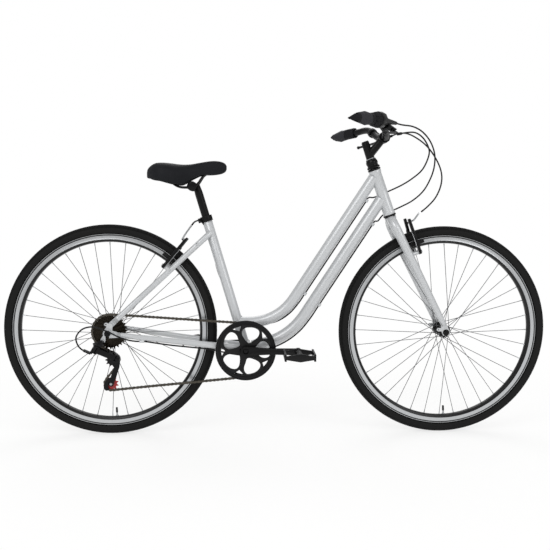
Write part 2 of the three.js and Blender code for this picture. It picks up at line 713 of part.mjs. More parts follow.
const seatBack = vec(-Math.sin(SEAT_ANGLE), 0, -Math.cos(SEAT_ANGLE));
const postTop = onSeatAxis((POST_TOP_HEIGHT - BRACKET_HEIGHT) / seatUp.z);
const postNeck = postTop.clone().addScaledVector(seatUp, -POST_NECK_LENGTH);
const clampPlace = onSeatAxis((CLAMP_HEIGHT - BRACKET_HEIGHT) / seatUp.z).add(vec(-CLAMP_BACK, 0, 0));

function makeCollar() {
  const low = onSeatAxis(SEAT_TUBE_LENGTH - COLLAR_HEIGHT);
  const high = onSeatAxis(SEAT_TUBE_LENGTH + COLLAR_LIP);
  const bore = matchedRadius(SEAT_TUBE_RADIUS, TUBE_SIDES);
  const ring = pipe(low, high, COLLAR_RADIUS, bore, TUBE_SIDES);
  const middle = mid(low, high, 0.5);
  const earCentre = middle.clone().addScaledVector(
    seatBack,
    (COLLAR_EAR_REACH + SEAT_TUBE_RADIUS) / 2 + 1.5 * OVERRUN,
  );
  const earDepth = COLLAR_EAR_REACH - SEAT_TUBE_RADIUS;
  const ears = block(
    earCentre,
    earDepth,
    COLLAR_EAR_WIDTH,
    COLLAR_HEIGHT - OVERRUN,
    seatBack,
    LEFT,
    seatUp.clone(),
  );
  const slot = block(
    earCentre,
    2 * earDepth,
    COLLAR_SLOT,
    2 * COLLAR_HEIGHT,
    seatBack,
    LEFT,
    seatUp.clone(),
  );
  const boltCentre = earCentre.clone().addScaledVector(seatBack, COLLAR_BOLT_RADIUS - OVERRUN);
  const bolt = rod(
    at(boltCentre, -COLLAR_BOLT_HALF_LENGTH),
    at(boltCentre, COLLAR_BOLT_HALF_LENGTH),
    COLLAR_BOLT_RADIUS,
    GUIDE_SIDES,
  );
  add('seat_collar', join(cut(join(ring, ears), slot), bolt), BLACK_ALLOY);
}

// Adds the post and gives back the clamp on it, still without its grooves for the rails.
function makeSeatPost() {
  const foot = onSeatAxis(SEAT_TUBE_LENGTH - POST_INSERTION);
  const post = join(
    rod(foot, postNeck, POST_RADIUS, TUBE_SIDES),
    rod(postNeck, postTop, POST_RADIUS, TUBE_SIDES, POST_NECK_RADIUS),
  );
  add('seat_post', post, BLACK_ALLOY);
  const barrel = rod(
    at(clampPlace, -CLAMP_HALF_WIDTH),
    at(clampPlace, CLAMP_HALF_WIDTH),
    CLAMP_RADIUS,
    TUBE_SIDES,
  );
  const ears = SIDES.map(({ sign }) => rod(
    at(clampPlace, sign * (CLAMP_HALF_WIDTH - CLAMP_EAR_THICKNESS / 2)),
    at(clampPlace, sign * (CLAMP_HALF_WIDTH + CLAMP_EAR_THICKNESS / 2)),
    CLAMP_EAR_RADIUS,
    TUBE_SIDES,
  ));
  const bodyBore = matchedRadius(POST_RADIUS, TUBE_SIDES);
  const neckBore = matchedRadius(POST_NECK_RADIUS, TUBE_SIDES);
  const aboveClamp = onSeatAxis((POST_TOP_HEIGHT - BRACKET_HEIGHT) / seatUp.z + CLAMP_RADIUS);
  const postHole = join(
    rod(foot, postNeck, bodyBore, TUBE_SIDES),
    rod(postNeck, postTop, bodyBore, TUBE_SIDES, neckBore),
    rod(mid(postNeck, postTop, NECK_OVERLAP_SHARE), aboveClamp, neckBore, TUBE_SIDES),
  );
  return cut(join(barrel, ...ears), postHole);
}

makeCollar();
const clampBody = makeSeatPost();

// Saddle

const SADDLE_REAR_X = -426;
const SADDLE_SKIRT_HEIGHT = 811;
const SADDLE_DEPTH = 98;
const SADDLE_PADDING = 34;
const SADDLE_COVER_EDGE = 6;
const SHELL_THICKNESS = 3;
const RAIL_STEPS = 24;
const SADDLE_RINGS = 15;
const UNDERSIDE_SHARE = 0.94;
const SHELL_SIDE_GAP = 1.2;
// Along a rail from its rear end: its place, its spread and its rise.
const RAIL_PLACE_SHARES = [0.17, 0.24, 0.33, 0.73, 0.83, 0.89, 0.905];
const RAIL_SPREAD_SHARES = [1.75, 1.5, 1, 1, 0.72, 0.4, 0];
const RAIL_RISES = [14, 3, 0, 0, 14, 26, 29];
// Along the saddle from its rear: half width, crown height and lower edge, as shares.
const SADDLE_PLACE_SHARES = [0, 0.04, 0.11, 0.2, 0.31, 0.42, 0.54, 0.68, 0.82, 0.93, 0.98, 1];
const SADDLE_WIDTH_SHARES = [0.4, 0.66, 0.87, 0.99, 0.95, 0.74, 0.49, 0.32, 0.27, 0.235, 0.16, 0.07];
const SADDLE_CROWN_SHARES = [0.62, 0.77, 0.88, 0.905, 0.88, 0.86, 0.865, 0.92, 0.985, 0.97, 0.9, 0.8];
const SADDLE_EDGE_SHARES = [0.46, 0.4, 0.34, 0.24, 0.1, 0, 0.04, 0.2, 0.4, 0.53, 0.6, 0.66];

const shareCurve = (shares) => new THREE.CatmullRomCurve3(
  shares.map((share, i) => vec(SADDLE_PLACE_SHARES[i], share, 0)),
  false,
  'centripetal',
);
const saddleCurves = [SADDLE_WIDTH_SHARES, SADDLE_CROWN_SHARES, SADDLE_EDGE_SHARES].map(shareCurve);

// Half width, crown, edge and underside of the saddle, at a step along it.
function saddleAt(share) {
  const [width, crown, edge] = saddleCurves.map((curve) => curve.getPoint(share));
  const top = SADDLE_SKIRT_HEIGHT + SADDLE_DEPTH * crown.y;
  const low = SADDLE_SKIRT_HEIGHT + SADDLE_DEPTH * edge.y;
  return {
    x: SADDLE_REAR_X + SADDLE_LENGTH * width.x,
    half: (SADDLE_WIDTH / 2) * width.y,
    top,
    low,
    under: Math.max(low, top - SADDLE_PADDING),
  };
}

const CROWN_SHARES = [[0, 0.94], [0.3, 1], [0.62, 0.965], [0.86, 0.8], [1, 0.42], [0.99, 0.05]];

// Half of a cross section of the cushion, from the middle of its top round to its underside.
function cushionHalf({ half, top, low, under }) {
  const outside = CROWN_SHARES.map(([across, rise]) => [half * across, low + (top - low) * rise]);
  const inner = Math.max(half - SADDLE_COVER_EDGE, half / 2);
  return [...outside, [inner, low], [inner * UNDERSIDE_SHARE, under], [0, under]];
}

function ringAcross(x, halfPoints) {
  const left = halfPoints.map(([y, z]) => vec(x, y, z));
  const right = halfPoints.filter(([y]) => y !== 0).map(([y, z]) => vec(x, -y, z)).reverse();
  return [...left, ...right];
}

function makeSaddle() {
  const places = Array.from({ length: SADDLE_RINGS + 1 }, (_, i) => saddleAt(i / SADDLE_RINGS));
  const cushion = loft(places.map((place) => ringAcross(place.x, cushionHalf(place))));
  const shell = loft(places.slice(1, -2).map(({ x, half, under }) => {
    const inner = Math.max(half - SADDLE_COVER_EDGE, half / 2) * UNDERSIDE_SHARE - SHELL_SIDE_GAP;
    const high = under - 2 * SEAT_GAP;
    return ringAcross(
      x,
      [
        [0, high],
        [inner, high],
        [inner - SHELL_THICKNESS, high - SHELL_THICKNESS],
        [0, high - SHELL_THICKNESS],
      ],
    );
  }));
  const half = RAIL_PLACE_SHARES.map((share, i) => [
    SADDLE_REAR_X + SADDLE_LENGTH * share,
    RAIL_SPREAD * RAIL_SPREAD_SHARES[i],
    RAIL_HEIGHT + RAIL_RISES[i],
  ]);
  const other = half.slice(0, -1).reverse().map(([x, y, z]) => [x, -y, z]);
  const railPath = [...half, ...other];
  add('saddle_rails', cable(railPath, RAIL_RADIUS, RAIL_STEPS, GUIDE_SIDES), BLACK_ALLOY);
  const clearing = cable(railPath, RAIL_RADIUS + RAIL_CLEARANCE, RAIL_STEPS, GUIDE_SIDES);
  add('saddle_clamp', cut(clampBody, clearing), BLACK_ALLOY);
  add('saddle_shell', cut(shell, clearing), BLACK_PLASTIC);
  const clampClearing = rod(
    at(clampPlace, -CLAMP_HALF_WIDTH - CLAMP_EAR_THICKNESS),
    at(clampPlace, CLAMP_HALF_WIDTH + CLAMP_EAR_THICKNESS),
    CLAMP_EAR_RADIUS + OVERRUN,
    TUBE_SIDES,
  );
  add('saddle_cushion', cut(cushion, clearing, clampClearing), BLACK_COVER);
}

makeSaddle();

// Headset, fork and front dropouts

const CUP_RADIUS = 23;
const CUP_HEIGHT = 7.5;
const CUP_PRESS_DEPTH = 9;
const QUILL_RADIUS = 11;
const STEERER_BORE = 11.45;
const STEERER_TOP = 186;
const CROWN_RACE_RADIUS = 19;
const CROWN_RACE_TOP = -8.6;
const CROWN_HEIGHT = -13;
const CROWN_ROOT_Y = 8;
const CROWN_CORNER_HEIGHT = -30;
const CROWN_CORNER_FORWARD = -3;
const CROWN_CORNER_Y = 37;
const CROWN_BEND = 26;
const BLADE_TIP_Y = 52.5;
const BLADE_TIP_BACK = 8;
const BLADE_TIP_RISE = 27;
const BLADE_RADIUS = 15;
const BLADE_TIP_RADIUS = 9.5;
const FORK_PLATE_THICKNESS = 5;
const FORK_PLATE_RADIUS = 13.5;
const FORK_EYELET_BACK = 25;
const FORK_EYELET_RISE = 9;
const FORK_EYELET_RADIUS = 5.5;
const FRONT_AXLE_RADIUS = 4.5;
const SLOT_START_SHARE = 0.9;

const headRing = (profile) => turned(profile, headBase, steerUp, TUBE_SIDES);
const steererClear = clearRadius(STEERER_RADIUS, TUBE_SIDES, RUNNING_GAP);

function makeHeadset() {
  const press = HEAD_TUBE_BORE - SEAT_GAP;
  const top = HEAD_TUBE_LENGTH + SEAT_GAP;
  add('upper_headset_cup', headRing([
    [steererClear, top - CUP_PRESS_DEPTH], [press, top - CUP_PRESS_DEPTH], [press, top], [CUP_RADIUS, top],
    [CUP_RADIUS, top + CUP_HEIGHT / 2],
    [CUP_RADIUS - OVERRUN, top + CUP_HEIGHT],
    [steererClear, top + CUP_HEIGHT],
  ]), BLACK_ALLOY);
  add('lower_headset_cup', headRing([
    [steererClear, CUP_PRESS_DEPTH], [press, CUP_PRESS_DEPTH], [press, -SEAT_GAP], [CUP_RADIUS, -SEAT_GAP],
    [CUP_RADIUS, -CUP_HEIGHT / 2],
    [CUP_RADIUS - OVERRUN, -CUP_HEIGHT - SEAT_GAP],
    [steererClear, -CUP_HEIGHT - SEAT_GAP],
  ]), BLACK_ALLOY);
  const low = top + CUP_HEIGHT + SEAT_GAP;
  const nutTop = STEERER_TOP + CUP_HEIGHT - OVERRUN;
  const quillClear = clearRadius(QUILL_RADIUS, TUBE_SIDES);
  add('headset_locknut', headRing([
    [steererClear, low], [CUP_RADIUS, low],
    [CUP_RADIUS, low + CUP_HEIGHT / 2],
    [CUP_RADIUS - 2 * OVERRUN, low + CUP_HEIGHT],
    [CUP_RADIUS - 2 * OVERRUN, low + 2 * CUP_HEIGHT],
    [CUP_RADIUS - OVERRUN / 2, low + 2 * CUP_HEIGHT + OVERRUN],
    [CUP_RADIUS - OVERRUN / 2, nutTop - CUP_HEIGHT],
    [CUP_RADIUS - 3 * OVERRUN, nutTop], [quillClear, nutTop],
    [quillClear, STEERER_TOP + OVERRUN], [steererClear, STEERER_TOP + OVERRUN / 2],
  ]), BLACK_ALLOY);
}

const bladeTip = frontAxle.clone().add(vec(-BLADE_TIP_BACK, 0, BLADE_TIP_RISE));

function forkBlade(sign) {
  const corner = at(onSteeringAxis(CROWN_CORNER_HEIGHT, CROWN_CORNER_FORWARD), sign * CROWN_CORNER_Y);
  const points = bentPoints(
    at(onSteeringAxis(CROWN_HEIGHT), sign * CROWN_ROOT_Y),
    corner,
    at(bladeTip, sign * BLADE_TIP_Y),
    CROWN_BEND,
    4,
  );
  return swept(points, (i) => {
    const radius = i === points.length - 1 ? BLADE_TIP_RADIUS : BLADE_RADIUS;
    return oval(radius, radius, STAY_SIDES);
  }, FORWARD);
}

function forkPlate(sign) {
  const faces = [0, FORK_PLATE_THICKNESS].map((depth) => sign * (FRONT_HUB_WIDTH / 2 + depth));
  const eye = [frontAxle.x, frontAxle.z, FORK_PLATE_RADIUS];
  const eyelet = [frontAxle.x - FORK_EYELET_BACK, frontAxle.z + FORK_EYELET_RISE, FORK_EYELET_RADIUS];
  const shape = join(
    plate(roundHull(eye, [bladeTip.x, bladeTip.z, BLADE_TIP_RADIUS]), ...faces),
    plate(
      roundHull(
        [frontAxle.x - FORK_PLATE_RADIUS / 2, frontAxle.z + FORK_EYELET_RISE, FORK_EYELET_RADIUS],
        eyelet,
      ),
      ...faces,
    ),
  );
  const slotRadius = clearRadius(FRONT_AXLE_RADIUS, TUBE_SIDES, SLOT_CLEARANCE);
  const slot = hullOf([
    ...circle(frontAxle.x, frontAxle.z, slotRadius, STAY_SIDES),
    [frontAxle.x - slotRadius, frontAxle.z - 2 * FORK_PLATE_RADIUS],
    [frontAxle.x + slotRadius, frontAxle.z - 2 * FORK_PLATE_RADIUS],
  ]);
  const reach = faces.map((face, i) => face + sign * (i === 0 ? -OVERRUN : OVERRUN));
  const hole = circle(eyelet[0], eyelet[1], EYELET_HOLE_RADIUS, GUIDE_SIDES);
  return cut(shape, plate(slot, ...reach), plate(hole, ...reach));
}

function makeFork() {
  const steerer = rod(
    onSteeringAxis(CROWN_HEIGHT),
    onSteeringAxis(STEERER_TOP),
    STEERER_RADIUS,
    TUBE_SIDES,
  );
  const race = rod(
    onSteeringAxis(CROWN_HEIGHT - OVERRUN),
    onSteeringAxis(CROWN_RACE_TOP),
    CROWN_RACE_RADIUS,
    TUBE_SIDES,
  );
  const blades = SIDES.map(({ sign }) => forkBlade(sign));
  const trim = rod(
    onSteeringAxis(CROWN_RACE_TOP),
    onSteeringAxis(HEAD_TUBE_LENGTH),
    2 * CROWN_RACE_RADIUS,
    TUBE_SIDES,
  );
  const body = cut(join(...blades), trim);
  const plates = SIDES.map(({ sign }) => forkPlate(sign));
  const posts = SIDES.map(({ sign }) => brakePost(frontBrake, sign));
  const bore = rod(headBase, onSteeringAxis(STEERER_TOP + OVERRUN), STEERER_BORE, TUBE_SIDES);
  const slots = SIDES.map(({ sign }) => clearRod(
    at(frontAxle, sign * FRONT_HUB_WIDTH / 2 * SLOT_START_SHARE),
    at(frontAxle, sign * (FRONT_HUB_WIDTH / 2 + 2 * FORK_PLATE_RADIUS)),
    FRONT_AXLE_RADIUS,
    TUBE_SIDES,
    SLOT_CLEARANCE,
  ));
  add('fork', cut(join(body, race, steerer, ...plates, ...posts), bore, ...slots), METALLIC_SILVER);
}

makeHeadset();
makeFork();

// Wheels

const WHEEL_STEPS = 28;
const TREAD_SHOULDER_SHARE = 0.32;
const TREAD_EDGE_SHARE = 0.74;
const TYRE_HOLLOW_SHARE = 0.6;
const RIM_FLANGE = 1.7;
const RIM_NOSE_HALF_WIDTH = 7;
const VALVE_RADIUS = 3;
const VALVE_REACH = 30;
const VALVE_ANGLE_SHARE = 0.0081;
const SPOKE_RADIUS = 1.1;
const SPOKE_STAGGER = 1.1;
const SPOKE_CROSS_TURN = FULL_TURN / 6;
const HUB_SIDES = 8;

const ringOnAxle = (profile, axle, sides = HUB_SIDES) => turned(
  profile,
  axle,
  LEFT,
  sides,
  UP.clone().negate(),
);
const mirrored = (half) => [...half, ...half.filter(([, y]) => y !== 0).map(([r, y]) => [r, -y]).reverse()];

function makeTyre(name, axle) {
  const half = TYRE_WIDTH / 2;
  const foot = RIM_WIDTH / 2 - RIM_FLANGE - SEAT_GAP;
  const crown = TYRE_RADIUS - half;
  const outside = [
    [RIM_BED_RADIUS + SEAT_GAP, foot], [RIM_OUTER_RADIUS + SEAT_GAP, foot], [crown, half],
    [TYRE_RADIUS - half * TREAD_SHOULDER_SHARE, half * TREAD_EDGE_SHARE], [TYRE_RADIUS, 0],
  ];
  const inside = [
    [crown + half * TYRE_HOLLOW_SHARE, 0],
    [RIM_BED_RADIUS + SEAT_GAP, foot * TYRE_HOLLOW_SHARE],
  ];
  const flip = (points) => points.filter(([, y]) => y !== 0).map(([r, y]) => [r, -y]).reverse();
  const profile = [...outside, ...flip(outside), ...flip(inside), ...inside];
  add(name, ringOnAxle(profile, axle, WHEEL_STEPS), BLACK_RUBBER);
}

function makeRim(name, axle) {
  const half = RIM_WIDTH / 2;
  const inner = half - RIM_FLANGE;
  const outside = [
    [RIM_INNER_RADIUS, RIM_NOSE_HALF_WIDTH], [RIM_SHOULDER_RADIUS, half], [RIM_OUTER_RADIUS, half],
    [RIM_OUTER_RADIUS, inner], [RIM_BED_RADIUS, inner],
  ];
  const ring = ringOnAxle(mirrored(outside), axle, WHEEL_STEPS);
  const angle = FULL_TURN * VALVE_ANGLE_SHARE;
  const towards = vec(Math.sin(angle), 0, -Math.cos(angle));
  const valve = rod(
    axle.clone().addScaledVector(towards, RIM_INNER_RADIUS - VALVE_REACH),
    axle.clone().addScaledVector(towards, RIM_SHOULDER_RADIUS),
    VALVE_RADIUS,
    GUIDE_SIDES,
  );
  add(name, join(ring, valve), POLISHED_ALLOY);
}

// Crossed spokes: each leaves its flange almost along the rim and meets the rim a sixth of a turn on.
function spokes(axle, flanges) {
  const perFlange = SPOKE_COUNT / 2;
  const all = [];
  flanges.forEach(({ y, radius }, f) => {
    for (let k = 0; k < perFlange; k += 1) {
      const way = k % 2 === 0 ? 1 : -1;
      const root = FULL_TURN * ((k + f / 2) / perFlange);
      const end = root + way * SPOKE_CROSS_TURN;
      const side = y + way * SPOKE_STAGGER;
      const place = (angle, r, across) => axle.clone().add(
        vec(r * Math.sin(angle), across, r * Math.cos(angle)),
      );
      all.push(rod(
        place(root, radius, side),
        place(
          end,
          RIM_INNER_RADIUS * Math.cos(Math.PI / WHEEL_STEPS) - SEAT_GAP,
          Math.sign(y) * SPOKE_RADIUS * 2,
        ),
        SPOKE_RADIUS,
        3,
      ));
    }
  });
  return all;
}

const HUB_FLANGE_THICKNESS = 3.6;
const HUB_BARREL_RADIUS = 11;
const HUB_NECK_RADIUS = 9.5;
const HUB_FLANGE_RADIUS = 22;
const SPOKE_HOLE_RADIUS = 19;
const FRONT_FLANGE_Y = 29;
const FRONT_HUB_HALF = 40;
const REAR_RIGHT_FLANGE_Y = -20;
const REAR_LEFT_FLANGE_Y = 34;
const REAR_HUB_RIGHT = -24.6;
const REAR_HUB_LEFT = 57;
const HUB_BORE_GAP = 1;

// A hub shell turned from its two ends and two flanges, right to left.
function hubShell(axle, ends, flangeYs, bore) {
  const half = HUB_FLANGE_THICKNESS / 2;
  const flange = (y) => [
    [HUB_BARREL_RADIUS, y - 2 * half], [HUB_FLANGE_RADIUS, y - half],
    [HUB_FLANGE_RADIUS, y + half], [HUB_BARREL_RADIUS, y + 2 * half],
  ];
  return ringOnAxle([
    [bore, ends[0]], [HUB_NECK_RADIUS, ends[0]],
    ...flangeYs.flatMap(flange), [HUB_NECK_RADIUS, ends[1]],
    [bore, ends[1]],
  ], axle);
}

function makeHub(name, axle, ends, flangeYs, axleRadius) {
  const shell = hubShell(axle, ends, flangeYs, clearRadius(axleRadius, HUB_SIDES, HUB_BORE_GAP));
  const wires = spokes(axle, flangeYs.map((y) => ({ y, radius: SPOKE_HOLE_RADIUS })));
  add(name, join(shell, ...wires), STEEL);
}

const NUT_RADIUS = 9;
const NUT_HEIGHT = 8;
const CONE_RADIUS = 8.5;
const AXLE_STAND_OUT = 3;

// An axle with the cones and nuts that hold it in its dropouts, turned in one.
function makeAxle(name, axle, radius, innerEnds, hubWidth, plateThickness) {
  const outer = hubWidth / 2 + plateThickness + SEAT_GAP;
  const tip = outer + NUT_HEIGHT + AXLE_STAND_OUT;
  const half = (sign, innerEnd) => [
    [radius, innerEnd + sign * RUNNING_GAP], [CONE_RADIUS, innerEnd + sign * RUNNING_GAP],
    [CONE_RADIUS, sign * (hubWidth / 2 - SEAT_GAP)], [radius, sign * (hubWidth / 2 - SEAT_GAP)],
    [radius, sign * outer], [NUT_RADIUS, sign * outer], [NUT_RADIUS, sign * (outer + NUT_HEIGHT)],
    [radius, sign * (outer + NUT_HEIGHT)], [radius, sign * tip], [0, sign * tip],
  ];
  const profile = [...half(-1, innerEnds[0]).reverse(), ...half(1, innerEnds[1])];
  add(name, turned(profile, axle, LEFT, HUB_SIDES, UP), STEEL);
}

const FREEWHEEL_OUTER_Y = -62.5;

makeTyre('front_tyre', frontAxle);
makeTyre('rear_tyre', rearAxle);
makeRim('front_rim', frontAxle);
makeRim('rear_rim', rearAxle);
makeHub(
  'front_hub_and_spokes',
  frontAxle,
  [-FRONT_HUB_HALF, FRONT_HUB_HALF],
  [-FRONT_FLANGE_Y, FRONT_FLANGE_Y],
  FRONT_AXLE_RADIUS,
);
makeHub(
  'rear_hub_and_spokes',
  rearAxle,
  [REAR_HUB_RIGHT, REAR_HUB_LEFT],
  [REAR_RIGHT_FLANGE_Y, REAR_LEFT_FLANGE_Y],
  REAR_AXLE_RADIUS,
);
makeAxle(
  'front_axle',
  frontAxle,
  FRONT_AXLE_RADIUS,
  [-FRONT_HUB_HALF, FRONT_HUB_HALF],
  FRONT_HUB_WIDTH,
  FORK_PLATE_THICKNESS,
);
makeAxle(
  'rear_axle',
  rearAxle,
  REAR_AXLE_RADIUS,
  [FREEWHEEL_OUTER_Y, REAR_HUB_LEFT],
  REAR_HUB_WIDTH,
  DROPOUT_THICKNESS,
);

// Chain path: round the largest sprocket, the chainring, the tension pulley and the guide pulley

const CHAINLINE = -46;
const SPROCKET_LINE = -30;
const CHAIN_HALF_WIDTH = 3.7;
const CHAIN_INNER_HALF_WIDTH = 1.9;
const ROLLER_HALF_LENGTH = 2.5;
const FLAT_TOLERANCE = 0.15;
const CHAIN_HALF_HEIGHT = 4.1;
const CAGE_PIVOT_FORWARD = 26;
const CAGE_PIVOT_DROP = 86;
const CAGE_GUIDE_BACK = 18;
const CAGE_GUIDE_DROP = 8;
const PULLEY_SPACING = 79;
const CAGE_LEAN = 0.06;
const WALK_TRIES = 26;

const pitchRadius = (teeth) => CHAIN_PITCH / (2 * Math.sin(Math.PI / teeth));

const cagePivot = vec(rearAxle.x + CAGE_PIVOT_FORWARD, 0, rearAxle.z - CAGE_PIVOT_DROP);
const flatTurn = (point, centre, angle) => vec(
  centre.x + (point.x - centre.x) * Math.cos(angle) - (point.z - centre.z) * Math.sin(angle),
  point.y,
  centre.z + (point.x - centre.x) * Math.sin(angle) + (point.z - centre.z) * Math.cos(angle),
);

// The four toothed wheels in the order the chain reaches them, for a given turn of the cage.
function chainWheels(turn) {
  const guide = cagePivot.clone().add(vec(-CAGE_GUIDE_BACK, 0, -CAGE_GUIDE_DROP));
  const tension = guide.clone().add(
    vec(-PULLEY_SPACING * Math.sin(CAGE_LEAN), 0, -PULLEY_SPACING * Math.cos(CAGE_LEAN)),
  );
  const wheel = (centre, teeth, y, way) => {
    const radius = pitchRadius(teeth);
    return { centre: at(centre, y), radius, teeth, way };
  };
  return [
    wheel(rearAxle, SPROCKET_TEETH[0], SPROCKET_LINE, 1),
    wheel(bracket, CHAINRING_TEETH, CHAINLINE, 1),
    wheel(flatTurn(tension, cagePivot, turn), PULLEY_TEETH, SPROCKET_LINE, 1),
    wheel(flatTurn(guide, cagePivot, turn), PULLEY_TEETH, SPROCKET_LINE, -1),
  ];
}

// The straight run from one wheel to the next, touching both.
function tangentRun(from, to) {
  const gap = to.centre.clone().sub(from.centre);
  const length = Math.hypot(gap.x, gap.z);
  const heading = Math.atan2(gap.z, gap.x) - Math.asin(
    (from.way * from.radius - to.way * to.radius) / length,
  );
  const leftward = vec(-Math.sin(heading), 0, Math.cos(heading));
  return {
    start: from.centre.clone().addScaledVector(leftward, from.way * from.radius),
    end: to.centre.clone().addScaledVector(leftward, to.way * to.radius),
  };
}

function chainPath(turn) {
  const wheels = chainWheels(turn);
  const runs = wheels.map((wheel, i) => tangentRun(wheel, wheels[(i + 1) % wheels.length]));
  const parts = [];
  let total = 0;
  runs.forEach((run, i) => {
    const length = Math.hypot(run.end.x - run.start.x, run.end.z - run.start.z);
    parts.push({ from: total, length, run });
    total += length;
    const index = (i + 1) % wheels.length;
    const wheel = wheels[index];
    const angleOf = (point) => Math.atan2(point.z - wheel.centre.z, point.x - wheel.centre.x);
    const first = angleOf(run.end);
    const sweep = (((angleOf(runs[index].start) - first) * -wheel.way) % FULL_TURN + FULL_TURN) % FULL_TURN;
    parts.push({ from: total, length: sweep * wheel.radius, wheel, first, index });
    total += sweep * wheel.radius;
  });
  const ease = (share) => share * share * (3 - 2 * share);
  const pointAt = (distance) => {
    const along = ((distance % total) + total) % total;
    const part = parts.find(({ from, length }) => along <= from + length) ?? parts[parts.length - 1];
    const inside = along - part.from;
    if (part.run) {
      const { start, end } = part.run;
      const share = inside / part.length;
      return at(mid(start, end, share), start.y + (end.y - start.y) * ease(share));
    }
    const angle = part.first - part.wheel.way * (inside / part.wheel.radius);
    return part.wheel.centre.clone()
      .add(vec(part.wheel.radius * Math.cos(angle), 0, part.wheel.radius * Math.sin(angle)));
  };
  return { wheels, parts, total, pointAt };
}

// Steps round the path pin by pin, each a pitch from the last in a straight line.
function walkChain(path, links) {
  const stops = [0];
  for (let k = 0; k < links; k += 1) {
    const here = path.pointAt(stops[k]);
    let low = stops[k] + CHAIN_PITCH * 0.99;
    let high = stops[k] + CHAIN_PITCH * 1.04;
    for (let i = 0; i < WALK_TRIES; i += 1) {
      const middle = (low + high) / 2;
      if (path.pointAt(middle).distanceTo(here) < CHAIN_PITCH) low = middle;
      else high = middle;
    }
    stops.push((low + high) / 2);
  }
  return stops;
}

const LINK_COUNT = 2 * Math.round(chainPath(0).total / (2 * CHAIN_PITCH));

// Turns the cage until a whole, even number of links closes the loop.
function settleCage() {
  const spare = (turn) => {
    const path = chainPath(turn);
    return walkChain(path, LINK_COUNT)[LINK_COUNT] - path.total;
  };
  const reach = Math.PI / 6;
  let [low, high] = [-reach, reach];
  const rising = spare(high) > spare(low);
  for (let i = 0; i < WALK_TRIES; i += 1) {
    const middle = (low + high) / 2;
    if (spare(middle) > 0 === rising) high = middle;
    else low = middle;
  }
  return (low + high) / 2;
}

const cageTurn = settleCage();
const path = chainPath(cageTurn);
const pinStops = walkChain(path, LINK_COUNT).slice(0, -1);
const pins = pinStops.map((stop) => path.pointAt(stop));
const [sprocketWheel, chainringWheel, tensionWheel, guideWheel] = path.wheels;

// The angle at which a wheel has a pin of the chain in a gap between its teeth.
function gapAngle(wheelIndex) {
  const arc = path.parts.find(({ wheel, index }) => wheel && index === wheelIndex);
  const seated = pinStops.findIndex((stop) => stop >= arc.from && stop <= arc.from + arc.length);
  const { centre } = arc.wheel;
  return Math.atan2(pins[seated].z - centre.z, pins[seated].x - centre.x);
}

// Chain: an endless band of links, open between the rollers where teeth stand in it

function makeChain() {
  const spots = [];
  const quad = (a, b, c, d) => {
    for (const p of [a, b, c, a, c, d]) spots.push(p.x, p.y, p.z);
  };
  const count = pins.length;
  const levels = [-CHAIN_HALF_WIDTH, -CHAIN_INNER_HALF_WIDTH, CHAIN_INNER_HALF_WIDTH, CHAIN_HALF_WIDTH];
  const stations = pins.flatMap((pin, k) => {
    const heading = pins[(k + 1) % count].clone().sub(pins[(k + count - 1) % count]).normalize();
    const rise = vec(-heading.z, 0, heading.x).normalize();
    return [-1, 1].map((way) => {
      const middle = pin.clone().addScaledVector(heading, way * ROLLER_HALF_LENGTH);
      const corner = (y, up) => middle.clone().add(vec(0, y, 0)).addScaledVector(
        rise,
        up * CHAIN_HALF_HEIGHT,
      );
      return { high: levels.map((y) => corner(y, 1)), low: levels.map((y) => corner(y, -1)) };
    });
  });
  const nearTeeth = (stop) => path.parts.some(({ wheel, from, length }) => wheel
    && stop >= from - OPEN_REACH && stop <= from + length + OPEN_REACH);
  const chainLength = CHAIN_PITCH * count;
  const onTeeth = pinStops.map((stop) => [stop - chainLength, stop, stop + chainLength].some(nearTeeth));
  const isOpen = (i) => i % 2 === 1 && (onTeeth[(i - 1) / 2] || onTeeth[((i + 1) / 2) % count]);
  stations.forEach((here, i) => {
    const next = stations[(i + 1) % stations.length];
    const before = (i + stations.length - 1) % stations.length;
    for (const k of isOpen(i) ? [0, 2] : [0, 1, 2]) {
      quad(here.high[k], next.high[k], next.high[k + 1], here.high[k + 1]);
      quad(here.low[k], here.low[k + 1], next.low[k + 1], next.low[k]);
    }
    quad(here.low[0], next.low[0], next.high[0], here.high[0]);
    quad(here.low[3], here.high[3], next.high[3], next.low[3]);
    if (isOpen(i)) {
      quad(here.low[1], here.high[1], next.high[1], next.low[1]);
      quad(here.low[2], next.low[2], next.high[2], here.high[2]);
    }
    if (isOpen(before) && !isOpen(i)) quad(here.low[1], here.high[1], here.high[2], here.low[2]);
    if (isOpen(i) && !isOpen(before)) quad(here.low[1], here.low[2], here.high[2], here.high[1]);
  });
  const geometry = new THREE.BufferGeometry();
  geometry.setAttribute('position', new THREE.Float32BufferAttribute(spots, 3));
  add('chain', solid(geometry).simplify(FLAT_TOLERANCE), BROWNED_STEEL);
}

// Toothed wheels

const TOOTH_TIP_RISE = 2.6;
const TOOTH_ROOT_DROP = 4.6;
const TOOTH_ROOT_SHARE = 0.28;
const SPROCKET_THICKNESS = 2;
const CHAINRING_THICKNESS = 2.6;
const PULLEY_THICKNESS = 2.4;

// A toothed outline with its roots where the chain's pins sit; a root in use is as wide as a roller.
function toothedOutline(centre, teeth, gap, inUse) {
  const radius = pitchRadius(teeth);
  const step = FULL_TURN / teeth;
  const spot = (angle, r) => [centre.x + r * Math.cos(angle), centre.z + r * Math.sin(angle)];
  const root = radius - TOOTH_ROOT_DROP;
  return Array.from({ length: teeth }, (_, k) => [
    ...(inUse ? [-TOOTH_ROOT_SHARE, TOOTH_ROOT_SHARE] : [0]).map(
      (share) => spot(gap + (k + share) * step, root),
    ),
    spot(gap + (k + 0.5) * step, radius + TOOTH_TIP_RISE),
  ]).flat();
}

